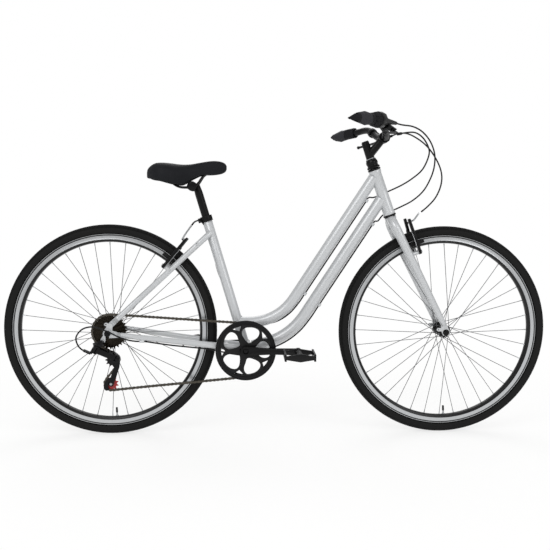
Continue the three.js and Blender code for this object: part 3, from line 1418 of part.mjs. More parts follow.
function toothedPlate(centre, teeth, gap, thickness, holes = [], inUse = true) {
  return plate(
    toothedOutline(centre, teeth, gap, inUse),
    centre.y - thickness / 2,
    centre.y + thickness / 2,
    holes,
  );
}

const FREEWHEEL_INNER_Y = -25.2;
const FREEWHEEL_BODY_RADIUS = 22;
const FREEWHEEL_BORE = 9.2;

function makeFreewheel() {
  const sprockets = SPROCKET_TEETH.map((teeth, i) => {
    const centre = at(rearAxle, SPROCKET_LINE - i * SPROCKET_STEP);
    return toothedPlate(centre, teeth, gapAngle(0), SPROCKET_THICKNESS, [], i === 0);
  });
  const core = pipe(
    at(rearAxle, FREEWHEEL_OUTER_Y + SEAT_GAP),
    at(rearAxle, FREEWHEEL_INNER_Y),
    FREEWHEEL_BODY_RADIUS,
    FREEWHEEL_BORE,
    TUBE_SIDES,
  );
  const bore = rod(
    at(rearAxle, FREEWHEEL_OUTER_Y - OVERRUN),
    at(rearAxle, FREEWHEEL_INNER_Y + OVERRUN),
    FREEWHEEL_BORE,
    TUBE_SIDES,
  );
  add('freewheel', cut(join(core, ...sprockets), bore), BROWNED_STEEL);
}

const CHAINRING_INNER_RADIUS = 75;
const CHAINRING_TAB_REACH = 7;
const SPIDER_ARMS = 5;
const SPIDER_PHASE = THREE.MathUtils.degToRad(39);
const CHAINRING_BOLT_RADIUS = 3.6;
const GUARD_Y = -51.5;
const GUARD_THICKNESS = 3.5;
const GUARD_RADIUS = 99;
const GUARD_INNER_RADIUS = 77;
const GUARD_HUB_RADIUS = 24;
const GUARD_STEPS = 30;
const GUARD_ARM_SHARE = 0.19;
const GUARD_FORK_SHARE = 0.62;
const GUARD_ROOT_SHARE = 1.3;
const GUARD_RIM_SHARES = [0.24, 0.37, 0.5, 0.63, 0.76];
const GUARD_ROOT_ANGLE_SHARES = [0.62, 0.38];
const GUARD_NOTCH_ANGLE_SHARE = 0.11;
const GUARD_NOTCH_DEPTH_SHARE = 0.78;

const onBracket = (angle, radius) => [
  bracket.x + radius * Math.cos(angle),
  bracket.z + radius * Math.sin(angle),
];
const armAngles = Array.from(
  { length: SPIDER_ARMS },
  (_, k) => SPIDER_PHASE + (FULL_TURN * k) / SPIDER_ARMS,
);
const ARM_STEP = FULL_TURN / SPIDER_ARMS;

// The chain guard: a broad ring on five arms, each forked where it meets the ring.
function guardHoles() {
  const large = armAngles.map((angle) => {
    const next = angle + ARM_STEP;
    return [
      ...GUARD_RIM_SHARES.map((share) => onBracket(angle + share * ARM_STEP, GUARD_INNER_RADIUS)),
      onBracket(next - GUARD_ARM_SHARE * ARM_STEP, GUARD_INNER_RADIUS * GUARD_FORK_SHARE),
      ...GUARD_ROOT_ANGLE_SHARES.map(
        (share) => onBracket(angle + share * ARM_STEP, GUARD_HUB_RADIUS * GUARD_ROOT_SHARE),
      ),
      onBracket(angle + GUARD_ARM_SHARE * ARM_STEP, GUARD_INNER_RADIUS * GUARD_FORK_SHARE),
    ];
  });
  const small = armAngles.map((angle) => [
    onBracket(angle - GUARD_NOTCH_ANGLE_SHARE * ARM_STEP, GUARD_INNER_RADIUS),
    onBracket(angle + GUARD_NOTCH_ANGLE_SHARE * ARM_STEP, GUARD_INNER_RADIUS),
    onBracket(angle, GUARD_INNER_RADIUS * GUARD_NOTCH_DEPTH_SHARE),
  ]);
  return [...large, ...small];
}

function makeChainringAndGuard() {
  const teeth = toothedPlate(
    chainringWheel.centre,
    CHAINRING_TEETH,
    gapAngle(1),
    CHAINRING_THICKNESS,
    [circle(bracket.x, bracket.z, CHAINRING_INNER_RADIUS, GUARD_STEPS)],
  );
  const boltRadius = CHAINRING_INNER_RADIUS - CHAINRING_TAB_REACH / 2;
  const faces = [CHAINLINE - CHAINRING_THICKNESS / 2, CHAINLINE + CHAINRING_THICKNESS / 2];
  const tabs = armAngles.map((angle) => {
    const [x, z] = onBracket(angle, boltRadius);
    return plate(
      roundHull(
        [x, z, CHAINRING_TAB_REACH],
        [...onBracket(angle, CHAINRING_INNER_RADIUS + OVERRUN), CHAINRING_TAB_REACH],
      ),
      ...faces,
    );
  });
  const studs = armAngles.map((angle) => {
    const [x, z] = onBracket(angle, boltRadius);
    return rod(vec(x, faces[0] + OVERRUN / 2, z), vec(x, GUARD_Y + SEAT_GAP, z), CHAINRING_BOLT_RADIUS, 6);
  });
  add('chainring', join(teeth, ...tabs, ...studs), BLACK_ALLOY);
  const disc = circle(bracket.x, bracket.z, GUARD_RADIUS, GUARD_STEPS);
  const guard = plate(disc, GUARD_Y, GUARD_Y - GUARD_THICKNESS, guardHoles());
  add('chain_guard', cut(guard, spindleClear), BLACK_ALLOY);
}

// Bottom bracket, cranks and pedals

const SPINDLE_RADIUS = 8.5;
const SPINDLE_HALF_LENGTH = 66;
const CARTRIDGE_BORE = 9.6;
const CARTRIDGE_LIP_RADIUS = 19.5;
const CARTRIDGE_LIP = 3.5;
const CRANK_ROOT_Y = 63;
const CRANK_EYE_Y = 77;
const CRANK_ROOT_HALF_THICKNESS = 7.5;
const CRANK_EYE_HALF_THICKNESS = 6;
const CRANK_ROOT_RADIUS = 17;
const CRANK_EYE_RADIUS = 13;
const CRANK_WAIST_HALF = 10;
const PEDAL_AXLE_RADIUS = 6.5;
const PEDAL_INNER_Y = 86;
const PEDAL_OUTER_Y = 176;
const PEDAL_HALF_LENGTH = 49;
const PEDAL_HALF_THICKNESS = 11;
const PEDAL_BARREL_RADIUS = 11;
const PEDAL_RAIL = 6;
const PEDAL_NOTCH_DEPTH = 4;
const PEDAL_NOTCHES = 4;

const spindleClear = clearRod(
  at(bracket, -2 * SPINDLE_HALF_LENGTH),
  at(bracket, 2 * SPINDLE_HALF_LENGTH),
  SPINDLE_RADIUS,
  HUB_SIDES,
);

function makeBracketUnit() {
  const press = SHELL_BORE * Math.cos(Math.PI / TUBE_SIDES) - SEAT_GAP;
  const lip = SHELL_HALF_WIDTH + SEAT_GAP;
  const profile = [
    [CARTRIDGE_BORE, -lip - CARTRIDGE_LIP],
    [CARTRIDGE_LIP_RADIUS, -lip - CARTRIDGE_LIP],
    [CARTRIDGE_LIP_RADIUS, -lip],
    [press, -lip], [press, lip - OVERRUN], [CARTRIDGE_BORE, lip - OVERRUN],
  ];
  add('bottom_bracket_cartridge', turned(profile, bracket, LEFT, TUBE_SIDES), STEEL);
  const spindle = rod(
    at(bracket, -SPINDLE_HALF_LENGTH),
    at(bracket, SPINDLE_HALF_LENGTH),
    SPINDLE_RADIUS,
    HUB_SIDES,
  );
  add('bottom_bracket_spindle', spindle, STEEL);
}

// A crank arm with its pedal axle; the right one points forward, the left one back.
function makeCrank(name, sign) {
  const way = -sign;
  const root = at(bracket, sign * CRANK_ROOT_Y);
  const eye = bracket.clone().add(vec(way * CRANK_LENGTH, sign * CRANK_EYE_Y, 0));
  const boss = rod(
    root.clone().add(vec(0, -sign * CRANK_ROOT_HALF_THICKNESS, 0)),
    root.clone().add(vec(0, sign * CRANK_ROOT_HALF_THICKNESS, 0)),
    CRANK_ROOT_RADIUS,
    TUBE_SIDES,
  );
  const arm = swept([root, mid(root, eye, 0.5), eye], (i) => {
    const halfDeep = [CRANK_ROOT_RADIUS - OVERRUN, CRANK_WAIST_HALF, CRANK_EYE_RADIUS - OVERRUN][i];
    const halfThick = [CRANK_ROOT_HALF_THICKNESS, CRANK_EYE_HALF_THICKNESS, CRANK_EYE_HALF_THICKNESS][i];
    return [
      [halfThick, -halfDeep / 2], [halfThick, halfDeep / 2],
      [halfThick / 2, halfDeep], [-halfThick / 2, halfDeep],
      [-halfThick, halfDeep / 2], [-halfThick, -halfDeep / 2],
      [-halfThick / 2, -halfDeep], [halfThick / 2, -halfDeep],
    ];
  });
  const end = rod(
    eye.clone().add(vec(0, -sign * CRANK_EYE_HALF_THICKNESS, 0)),
    eye.clone().add(vec(0, sign * CRANK_EYE_HALF_THICKNESS, 0)),
    CRANK_EYE_RADIUS,
    TUBE_SIDES,
  );
  const axle = rod(eye, at(eye, sign * (PEDAL_OUTER_Y - PEDAL_RAIL)), PEDAL_AXLE_RADIUS, HUB_SIDES);
  add(name, cut(join(boss, arm, end, axle), spindleClear), BLACK_ALLOY);
}

// A cage pedal: a barrel on the axle between two side plates and two notched rails.
function makePedal(name, sign) {
  const centre = bracket.clone().add(vec(-sign * CRANK_LENGTH, 0, 0));
  const span = (PEDAL_INNER_Y + PEDAL_OUTER_Y) / 2;
  const width = PEDAL_OUTER_Y - PEDAL_INNER_Y;
  const barrel = rod(
    at(centre, sign * PEDAL_INNER_Y),
    at(centre, sign * PEDAL_OUTER_Y),
    PEDAL_BARREL_RADIUS,
    HUB_SIDES,
  );
  const ends = [PEDAL_INNER_Y + PEDAL_RAIL / 2, PEDAL_OUTER_Y - PEDAL_RAIL / 2].map((y) => plate(
    roundHull(
      [centre.x - PEDAL_HALF_LENGTH + PEDAL_RAIL, centre.z, PEDAL_RAIL],
      [centre.x, centre.z, PEDAL_HALF_THICKNESS + OVERRUN],
      [centre.x + PEDAL_HALF_LENGTH - PEDAL_RAIL, centre.z, PEDAL_RAIL],
    ),
    sign * y - PEDAL_RAIL / 2,
    sign * y + PEDAL_RAIL / 2,
  ));
  const rails = [-1, 1].map((way) => block(
    vec(centre.x + way * (PEDAL_HALF_LENGTH - PEDAL_RAIL / 2), sign * span, centre.z),
    PEDAL_RAIL,
    width,
    2 * PEDAL_HALF_THICKNESS,
  ));
  const notches = [-1, 1].flatMap((way) => Array.from({ length: PEDAL_NOTCHES }, (_, k) => block(
    vec(
      centre.x + way * PEDAL_HALF_LENGTH,
      sign * (PEDAL_INNER_Y + (width * (k + 0.5 + 0.5 / PEDAL_NOTCHES)) / (PEDAL_NOTCHES + 0.5)),
      centre.z,
    ),
    PEDAL_RAIL,
    width / (2 * PEDAL_NOTCHES + 1),
    2 * (PEDAL_HALF_THICKNESS - PEDAL_NOTCH_DEPTH),
  )));
  const bore = clearRod(
    at(centre, sign * (PEDAL_INNER_Y - OVERRUN)),
    at(centre, sign * (PEDAL_OUTER_Y - PEDAL_RAIL + OVERRUN / 2)),
    PEDAL_AXLE_RADIUS,
    HUB_SIDES,
    RUNNING_GAP,
  );
  add(name, cut(join(barrel, ...ends, ...rails), bore, ...notches), BLACK_PLASTIC);
}

makeChain();
makeFreewheel();
makeChainringAndGuard();
makeBracketUnit();
for (const { name, sign } of SIDES) {
  makeCrank(`${name}_crank_arm`, sign);
  makePedal(`${name}_pedal`, sign);
}

// Rear derailleur: a knuckle on the hanger, two links, a lower knuckle and the pulley cage

const KNUCKLE_RADIUS = 11;
const KNUCKLE_OUTER_Y = -88;
const KNUCKLE_STUB_RADIUS = 4.2;
const KNUCKLE_ARM_RADIUS = 8;
const LINK_ROOT = vec(-585, -81, 299);
const LINK_SPAN = vec(49, 24, -28);
const LINK_HALF_SEPARATION = 6.5;
const LINK_HALF_DEPTH = 9;
const LINK_EYE_RADIUS = 4;
const LINK_PIN_RADIUS = 2;
const LINK_FORK_THICKNESS = 3;
const LINK_FORK_BACK = 12;
const LINK_BACK_THICKNESS = 6;
const LOWER_KNUCKLE_RADIUS = 11;
const LOWER_KNUCKLE_INNER_Y = -41;
const LOWER_KNUCKLE_OUTER_Y = -58.4;
const CAGE_PIN_RADIUS = 4;
const CAGE_PIN_HEAD_RADIUS = 6;
const CAGE_PIN_HEAD = 3;
const CAGE_PLATE_THICKNESS = 1.8;
const CAGE_HALF_GAP = 5.6;
const CAGE_EYE_RADIUS = 9;
const CAGE_BOLT_RADIUS = 2.6;
const CAGE_BOLT_HEAD_RADIUS = 4.5;
const CAGE_BOLT_HEAD = 2.5;
const CAGE_KNEE = vec(-530, 0, 232);
const PULLEY_HUB_RADIUS = 5.5;
const PULLEY_HUB_HALF = 4.9;
const PULLEY_WINDOW_RADIUS = 3.4;
const PULLEY_WINDOW_CENTRE = 11.5;
const PULLEY_WINDOWS = 5;
const ADJUSTER_START = vec(-603, -84, 288);
const ADJUSTER_RADIUS = 5;
const ADJUSTER_CABLE_DEPTH = 8;

// The links' pins stand square to the links, in the side view.
const pinDirection = vec(-LINK_SPAN.z, 0, LINK_SPAN.x).normalize();
const linkAlong = LINK_SPAN.clone().normalize();
const linkAcross = linkAlong.clone().cross(pinDirection);
const linkTip = LINK_ROOT.clone().add(LINK_SPAN);
const linkSpot = (centre, along, across, deep) => centre.clone()
  .addScaledVector(linkAlong, along)
  .addScaledVector(linkAcross, across)
  .addScaledVector(pinDirection, deep);
const linkBlock = (centre, lengthAlong, lengthAcross, lengthDeep) => block(
  centre,
  lengthAlong,
  lengthAcross,
  lengthDeep,
  linkAlong,
  linkAcross,
  pinDirection,
);

function makeLink(name, offset) {
  const length = LINK_SPAN.length();
  const bore = clearRadius(LINK_PIN_RADIUS, GUIDE_SIDES, RUNNING_GAP);
  const outline = roundHull([0, 0, LINK_EYE_RADIUS], [length, 0, LINK_EYE_RADIUS]);
  const holes = [0, length].map((along) => circle(along, 0, bore, GUIDE_SIDES));
  const origin = linkSpot(LINK_ROOT, 0, offset, -LINK_HALF_DEPTH);
  add(
    name,
    slab(outline, 2 * LINK_HALF_DEPTH, origin, linkAlong, linkAcross, pinDirection, holes),
    BLACK_ALLOY,
  );
}

// Two plates and two pins that hold the links' ends, closed on the side away from the links.
function linkFork(centre, way) {
  const reach = LINK_HALF_DEPTH + RUNNING_GAP;
  const halfAcross = LINK_HALF_SEPARATION + LINK_EYE_RADIUS;
  const plates = [-1, 1].map((end) => linkBlock(
    linkSpot(
      centre,
      (way * (LINK_FORK_BACK - LINK_EYE_RADIUS)) / 2,
      0,
      end * (reach + LINK_FORK_THICKNESS / 2),
    ),
    LINK_FORK_BACK + LINK_EYE_RADIUS,
    2 * halfAcross,
    LINK_FORK_THICKNESS,
  ));
  const back = linkBlock(
    linkSpot(centre, way * (LINK_FORK_BACK - LINK_BACK_THICKNESS / 2), 0, 0),
    LINK_BACK_THICKNESS,
    2 * halfAcross,
    2 * (reach + LINK_FORK_THICKNESS),
  );
  const pinRods = [-LINK_HALF_SEPARATION, LINK_HALF_SEPARATION].map((across) => rod(
    linkSpot(centre, 0, across, -reach - LINK_FORK_THICKNESS / 2),
    linkSpot(centre, 0, across, reach + LINK_FORK_THICKNESS / 2),
    LINK_PIN_RADIUS,
    GUIDE_SIDES,
  ));
  return join(...plates, back, ...pinRods);
}

const adjusterEnd = vec(-625, -84, 298);
const shiftEndRoute = [
  [-462, -64, 317], [-484, -74, 325], [-508, -82, 338],
  [-556, -86, 362], [-594, -86, 374], [-628, -85, 366],
  [-648, -84, 340], [-643, -84, 315], [-630.5, -84, 300.5], [-619.5, -84, 295.5],
];

function makeDerailleur() {
  const hanger = at(hangerPlace, 0);
  const innerFace = -(dropoutMid + DROPOUT_THICKNESS / 2 + SEAT_GAP);
  const barrel = rod(at(hanger, innerFace), at(hanger, KNUCKLE_OUTER_Y), KNUCKLE_RADIUS, TUBE_SIDES);
  const stub = rod(
    at(hanger, -dropoutMid),
    at(hanger, innerFace - OVERRUN),
    KNUCKLE_STUB_RADIUS,
    STAY_SIDES,
  );
  const arm = rod(
    at(hanger, KNUCKLE_OUTER_Y + KNUCKLE_ARM_RADIUS),
    linkSpot(LINK_ROOT, -LINK_FORK_BACK - KNUCKLE_ARM_RADIUS / 2, 0, LINK_HALF_DEPTH),
    KNUCKLE_ARM_RADIUS,
    STAY_SIDES,
  );
  const adjusterWay = adjusterEnd.clone().sub(ADJUSTER_START).normalize();
  const adjuster = join(
    rod(ADJUSTER_START, adjusterEnd, ADJUSTER_RADIUS, GUIDE_SIDES),
    rod(linkSpot(LINK_ROOT, -LINK_FORK_BACK + OVERRUN, 0, 0), ADJUSTER_START, ADJUSTER_RADIUS, GUIDE_SIDES),
  );
  const adjusterBore = clearRod(
    adjusterEnd.clone().addScaledVector(adjusterWay, -ADJUSTER_CABLE_DEPTH - SEAT_GAP),
    adjusterEnd.clone().addScaledVector(adjusterWay, OVERRUN),
    CABLE_RADIUS,
    GUIDE_SIDES,
    STOP_CLEARANCE,
  );
  const upper = join(barrel, stub, arm, linkFork(LINK_ROOT, -1), adjuster);
  add('derailleur_knuckle', cut(upper, adjusterBore), BLACK_ALLOY);
  makeLink('derailleur_outer_link', LINK_HALF_SEPARATION);
  makeLink('derailleur_inner_link', -LINK_HALF_SEPARATION);

  const barrelEnds = [LOWER_KNUCKLE_INNER_Y, LOWER_KNUCKLE_OUTER_Y];
  const lowerBarrel = rod(...barrelEnds.map((y) => at(cagePivot, y)), LOWER_KNUCKLE_RADIUS, TUBE_SIDES);
  const pinClear = clearRod(
    at(cagePivot, LOWER_KNUCKLE_OUTER_Y - OVERRUN),
    at(cagePivot, LOWER_KNUCKLE_INNER_Y + OVERRUN),
    CAGE_PIN_RADIUS,
    STAY_SIDES,
    RUNNING_GAP,
  );
  const headClear = clearRod(
    at(cagePivot, LOWER_KNUCKLE_OUTER_Y),
    at(cagePivot, 2 * LOWER_KNUCKLE_OUTER_Y),
    CAGE_PIN_HEAD_RADIUS,
    STAY_SIDES,
    RUNNING_GAP,
  );
  add(
    'derailleur_lower_knuckle',
    cut(join(lowerBarrel, linkFork(linkTip, 1)), pinClear, headClear),
    BLACK_ALLOY,
  );

  const turnedBy = (point) => flatTurn(point, cagePivot, cageTurn);
  const knee = turnedBy(CAGE_KNEE);
  const spot = ({ x, z }, r) => [x, z, r];
  const guide = guideWheel.centre;
  const tension = tensionWheel.centre;
  const faces = [CAGE_HALF_GAP, CAGE_HALF_GAP + CAGE_PLATE_THICKNESS];
  const outerFaces = faces.map((y) => SPROCKET_LINE - y);
  const outer = join(
    plate(roundHull(spot(cagePivot, CAGE_EYE_RADIUS), spot(knee, CAGE_EYE_RADIUS)), ...outerFaces),
    plate(roundHull(spot(knee, CAGE_EYE_RADIUS), spot(tension, CAGE_EYE_RADIUS)), ...outerFaces),
    plate(
      roundHull(spot(cagePivot, CAGE_EYE_RADIUS), spot(guide, CAGE_EYE_RADIUS - OVERRUN)),
      ...outerFaces,
    ),
  );
  const innerFaces = faces.map((y) => SPROCKET_LINE + y);
  const inner = join(
    plate(
      roundHull(spot(guide, CAGE_EYE_RADIUS - OVERRUN), spot(knee, CAGE_EYE_RADIUS - OVERRUN)),
      ...innerFaces,
    ),
    plate(roundHull(spot(knee, CAGE_EYE_RADIUS - OVERRUN), spot(tension, CAGE_EYE_RADIUS)), ...innerFaces),
  );
  const bolts = [guide, tension].flatMap((centre) => [
    rod(at(centre, innerFaces[0] + OVERRUN / 2), at(centre, outerFaces[1]), CAGE_BOLT_RADIUS, GUIDE_SIDES),
    rod(
      at(centre, outerFaces[0] - OVERRUN / 2),
      at(centre, outerFaces[1] - CAGE_BOLT_HEAD),
      CAGE_BOLT_HEAD_RADIUS,
      6,
    ),
  ]);
  const headFace = LOWER_KNUCKLE_OUTER_Y - RUNNING_GAP;
  const pin = rod(
    at(cagePivot, outerFaces[0] - OVERRUN / 2),
    at(cagePivot, headFace - CAGE_PIN_HEAD),
    CAGE_PIN_RADIUS,
    STAY_SIDES,
  );
  const head = rod(
    at(cagePivot, headFace),
    at(cagePivot, headFace - CAGE_PIN_HEAD),
    CAGE_PIN_HEAD_RADIUS,
    STAY_SIDES,
  );
  const collar = rod(
    at(cagePivot, outerFaces[1] + OVERRUN / 2),
    at(cagePivot, LOWER_KNUCKLE_INNER_Y + RUNNING_GAP),
    CAGE_PIN_HEAD_RADIUS,
    STAY_SIDES,
  );
  add('derailleur_cage', join(outer, inner, ...bolts, pin, head, collar), BLACK_ALLOY);
}

function makePulley(name, wheelIndex, look) {
  const { centre } = path.wheels[wheelIndex];
  const windows = circle(centre.x, centre.z, PULLEY_WINDOW_CENTRE, PULLEY_WINDOWS)
    .map(([x, z]) => circle(x, z, PULLEY_WINDOW_RADIUS, 4));
  const teeth = toothedPlate(centre, PULLEY_TEETH, gapAngle(wheelIndex), PULLEY_THICKNESS, windows);
  const hub = rod(
    at(centre, SPROCKET_LINE - PULLEY_HUB_HALF),
    at(centre, SPROCKET_LINE + PULLEY_HUB_HALF),
    PULLEY_HUB_RADIUS,
    STAY_SIDES,
  );
  const bore = clearRod(
    at(centre, SPROCKET_LINE - 2 * PULLEY_HUB_HALF),
    at(centre, SPROCKET_LINE + 2 * PULLEY_HUB_HALF),
    CAGE_BOLT_RADIUS,
    GUIDE_SIDES,
    RUNNING_GAP,
  );
  add(name, cut(join(teeth, hub), bore), look);
}

makeDerailleur();
makePulley('tension_pulley', 2, RED_PLASTIC);
makePulley('guide_pulley', 3, BLACK_PLASTIC);

// Rim brake arms: drawn sideways from the middle, outwards along the wheel's radius, and away from the stays

const ARM_ROOT_RADIUS = 8.5;
const ARM_KNEE = [41, 32];
const ARM_KNEE_RADIUS = 6.5;
const ARM_TIP = [30, 108];
const ARM_TIP_RADIUS = 5;
const PAD_HEIGHT = 27.5;
const PAD_INNER = 13.8;
const PAD_THICKNESS = 10;
const PAD_DEPTH = 10;
const PAD_LENGTH = 56;
const PAD_POST_RADIUS = 4;
const NOODLE_RADIUS = 2.8;
const NOODLE_BRACKET_RADIUS = 3.4;
const WIRE_RADIUS = 0.9;
const WIRE_END = -33;
const ANCHOR_HEIGHT = 96;
const ANCHOR_RADIUS = 4;
const ANCHOR_DEPTH = 7.2;
const FRONT_NOODLE = [[18, 103, 9], [30, 103, 9], [38, 105, 13], [40, 112, 22], [38, 121, 36]];
const REAR_NOODLE = [[18, 103, 9], [30, 104, 9], [38, 112, 10], [38, 130, 12], [34, 158, 14]];
const NOODLE_STEPS = 5;

function brakeArm(name, brake, sign, noodle) {
  const axis = at(brake.pivot, 0);
  const spot = (lateral, height, depth) => axis.clone().addScaledVector(LEFT, sign * lateral)
    .addScaledVector(brake.outward, height).addScaledVector(brake.away, depth);
  const half = BRAKE_ARM_THICKNESS / 2;
  const outwards = LEFT.clone().multiplyScalar(sign);
  const armSlab = (outline) => slab(
    outline,
    BRAKE_ARM_THICKNESS,
    spot(0, 0, -half),
    outwards,
    brake.outward,
    brake.away,
  );
  const parts = [
    armSlab(roundHull([BRAKE_BOSS_Y, 0, ARM_ROOT_RADIUS], [...ARM_KNEE, ARM_KNEE_RADIUS])),
    armSlab(roundHull([...ARM_KNEE, ARM_KNEE_RADIUS], [...ARM_TIP, ARM_TIP_RADIUS])),
    rod(
      spot(ARM_KNEE[0], PAD_HEIGHT, 0),
      spot(PAD_INNER + PAD_THICKNESS / 2, PAD_HEIGHT, 0),
      PAD_POST_RADIUS,
      GUIDE_SIDES,
    ),
    block(
      spot(PAD_INNER + PAD_THICKNESS / 2, PAD_HEIGHT, 0),
      PAD_THICKNESS,
      PAD_DEPTH,
      PAD_LENGTH,
      LEFT,
      brake.outward,
      brake.away,
    ),
  ];
  if (noodle) {
    const bend = new THREE.CatmullRomCurve3(noodle.map((point) => spot(...point))).getPoints(NOODLE_STEPS);
    parts.push(
      tube(bend, NOODLE_RADIUS, 6),
      rod(spot(ARM_TIP[0], noodle[1][1], 0), spot(...noodle[1]), NOODLE_BRACKET_RADIUS, GUIDE_SIDES),
      rod(spot(...noodle[0]), spot(WIRE_END, noodle[0][1], noodle[0][2]), WIRE_RADIUS, 4),
    );
  } else {
    parts.push(
      rod(
        spot(ARM_TIP[0], ANCHOR_HEIGHT, 0),
        spot(ARM_TIP[0], ANCHOR_HEIGHT, ANCHOR_DEPTH),
        ANCHOR_RADIUS,
        6,
      ),
    );
  }
  const bore = clearRod(
    spot(BRAKE_BOSS_Y, 0, -2 * half),
    spot(BRAKE_BOSS_Y, 0, 2 * half),
    BRAKE_PIN_RADIUS,
    STAY_SIDES,
    RUNNING_GAP,
  );
  add(name, cut(join(...parts), bore), BLACK_ALLOY);
}

brakeArm('front_right_brake_arm', frontBrake, -1, FRONT_NOODLE);
brakeArm('front_left_brake_arm', frontBrake, 1);
brakeArm('rear_right_brake_arm', rearBrake, -1, REAR_NOODLE);
brakeArm('rear_left_brake_arm', rearBrake, 1);

// Stem, handlebar and grips

const STEM_QUILL_START = 60;
const STEM_BODY_START = 193;
const STEM_TOP = 250;
const STEM_ROOT = 206;
const STEM_BODY_RADIUS = 14;
const STEM_NECK_RADIUS = 12.5;
const STEM_CAP_RADIUS = 11;
const STEM_CAP_HEIGHT = 3;
const STEM_BOLT_RADIUS = 5;
const CLAMP_FORWARD = 62.6;
const CLAMP_RISE = 243.8;
const CLAMP_BARREL_RADIUS = 19;
const CLAMP_BARREL_HALF = 21;
const BAR_RADIUS = 11.1;
const BAR_SLEEVE_RADIUS = 12.7;
const BAR_SLEEVE_HALF = 27;
const BAR_SIDES = 10;
const BAR_HALF_ROUTE = [
  [342, 38, 986],
  [334, 70, 995],
  [322, 108, 1015],
  [311, 135, 1024.9],
  [285, 170, 1022],
];
const BAR_STEPS = 6;
const BAR_TIP = vec(196, BAR_HALF_WIDTH, 1012);
const BAR_LAST_BEND = vec(285, 170, 1022);
const GRIP_SIDES = 10;
// Along the grip from its outer end: how far it reaches up, back and forward of the bar.
const GRIP_SECTIONS = [
  { along: -4, up: 8, back: 25, forward: 12 },
  { along: 6, up: 12, back: 33, forward: 16 },
  { along: 34, up: 15, back: 33, forward: 17 },
  { along: 62, up: 18, back: 25, forward: 18 },
  { along: 84, up: 18, back: 19, forward: 18 },
];
const RIGHT_GRIP_LENGTH = 118;
const LEFT_GRIP_LENGTH = 136;
const GRIP_INNER_RADIUS = 18;

const clampCentre = onSteeringAxis(CLAMP_RISE, CLAMP_FORWARD);
const onSide = (point, sign) => at(point, sign * point.y);

function barRoute(sign) {
  const bends = BAR_HALF_ROUTE.map(([x, y, z]) => vec(x, sign * y, z));
  return [
    at(clampCentre, sign * BAR_SLEEVE_HALF),
    ...new THREE.CatmullRomCurve3(bends).getPoints(BAR_STEPS),
    onSide(BAR_TIP, sign),
  ];
}

function makeStem() {
  const quill = rod(
    onSteeringAxis(STEM_QUILL_START),
    onSteeringAxis(STEM_BODY_START + OVERRUN),
    QUILL_RADIUS,
    TUBE_SIDES,
  );
  const body = rod(
    onSteeringAxis(STEM_BODY_START),
    onSteeringAxis(STEM_TOP),
    STEM_BODY_RADIUS,
    TUBE_SIDES,
    STEM_NECK_RADIUS,
  );
  const cap = rod(
    onSteeringAxis(STEM_TOP - OVERRUN),
    onSteeringAxis(STEM_TOP + STEM_CAP_HEIGHT),
    STEM_CAP_RADIUS,
    TUBE_SIDES,
  );
  const extension = rod(
    onSteeringAxis(STEM_ROOT),
    clampCentre,
    STEM_BODY_RADIUS,
    TUBE_SIDES,
    STEM_NECK_RADIUS,
  );
  const barrel = rod(
    at(clampCentre, -CLAMP_BARREL_HALF),
    at(clampCentre, CLAMP_BARREL_HALF),
    CLAMP_BARREL_RADIUS,
    TUBE_SIDES,
  );
  const bore = clearRod(
    at(clampCentre, -2 * CLAMP_BARREL_HALF),
    at(clampCentre, 2 * CLAMP_BARREL_HALF),
    BAR_SLEEVE_RADIUS,
    BAR_SIDES,
  );
  const socket = rod(
    onSteeringAxis(STEM_TOP),
    onSteeringAxis(STEM_TOP + 2 * STEM_CAP_HEIGHT),
    STEM_BOLT_RADIUS,
    6,
  );
  add('stem', cut(join(quill, body, cap, extension, barrel), bore, socket), BLACK_ALLOY);
}

function makeHandlebar() {
  const route = [...barRoute(-1).reverse(), ...barRoute(1)];
  const sleeve = rod(
    at(clampCentre, -BAR_SLEEVE_HALF),
    at(clampCentre, BAR_SLEEVE_HALF),
    BAR_SLEEVE_RADIUS,
    BAR_SIDES,
  );
  add('handlebar', join(tube(route, BAR_RADIUS, BAR_SIDES), sleeve), BLACK_ALLOY);
}

const gripInward = BAR_LAST_BEND.clone().sub(BAR_TIP).normalize();
const onGrip = (along, sign) => onSide(BAR_TIP.clone().addScaledVector(gripInward, along), sign);

function makeGrip(name, sign, length) {
  const inward = onSide(gripInward, sign);
  const rear = vec(gripInward.y, -sign * gripInward.x, 0).normalize();
  const rise = rear.clone().cross(inward).normalize();
  if (rise.z < 0) rise.negate();
  const sections = [
    ...GRIP_SECTIONS,
    { along: length, up: GRIP_INNER_RADIUS, back: GRIP_INNER_RADIUS, forward: GRIP_INNER_RADIUS },
  ];
  const rings = sections.map(({ along, up, back, forward }) => Array.from({ length: GRIP_SIDES }, (_, i) => {
    const angle = (FULL_TURN * i) / GRIP_SIDES;
    const reach = Math.cos(angle) > 0 ? back : forward;
    return onGrip(along, sign).addScaledVector(rear, reach * Math.cos(angle)).addScaledVector(
      rise,
      up * Math.sin(angle),
    );
  }));
  const bore = clearRod(onGrip(-SEAT_GAP, sign), onGrip(length + OVERRUN, sign), BAR_RADIUS, BAR_SIDES);
  add(name, cut(loft(rings), bore), BLACK_RUBBER);
}

makeStem();
makeHandlebar();
makeGrip('right_grip', -1, RIGHT_GRIP_LENGTH);
makeGrip('left_grip', 1, LEFT_GRIP_LENGTH);

// Twist shifter on the right: the grip that turns and the housing that stays

const TWIST_GAP = 0.6;
const BEND_CLEARANCE = 1;
const TWIST_LENGTH = 34;
const TWIST_RADIUS = 23.5;
const TWIST_OUTER_RADIUS = 19;
const TWIST_RIBS = 8;
const TWIST_RIB_RADIUS = 1.6;
const HOUSING_LENGTH = 27;
const HOUSING_RADIUS = 25;
const SNOUT_ROOT = vec(303, -152, 1024);
const SNOUT_ROOT_RADIUS = 12;
const SNOUT_END_RADIUS = 5.5;
const CABLE_SEAT_DEPTH = 5;
const SHIFT_START = vec(354, -112, 1020);

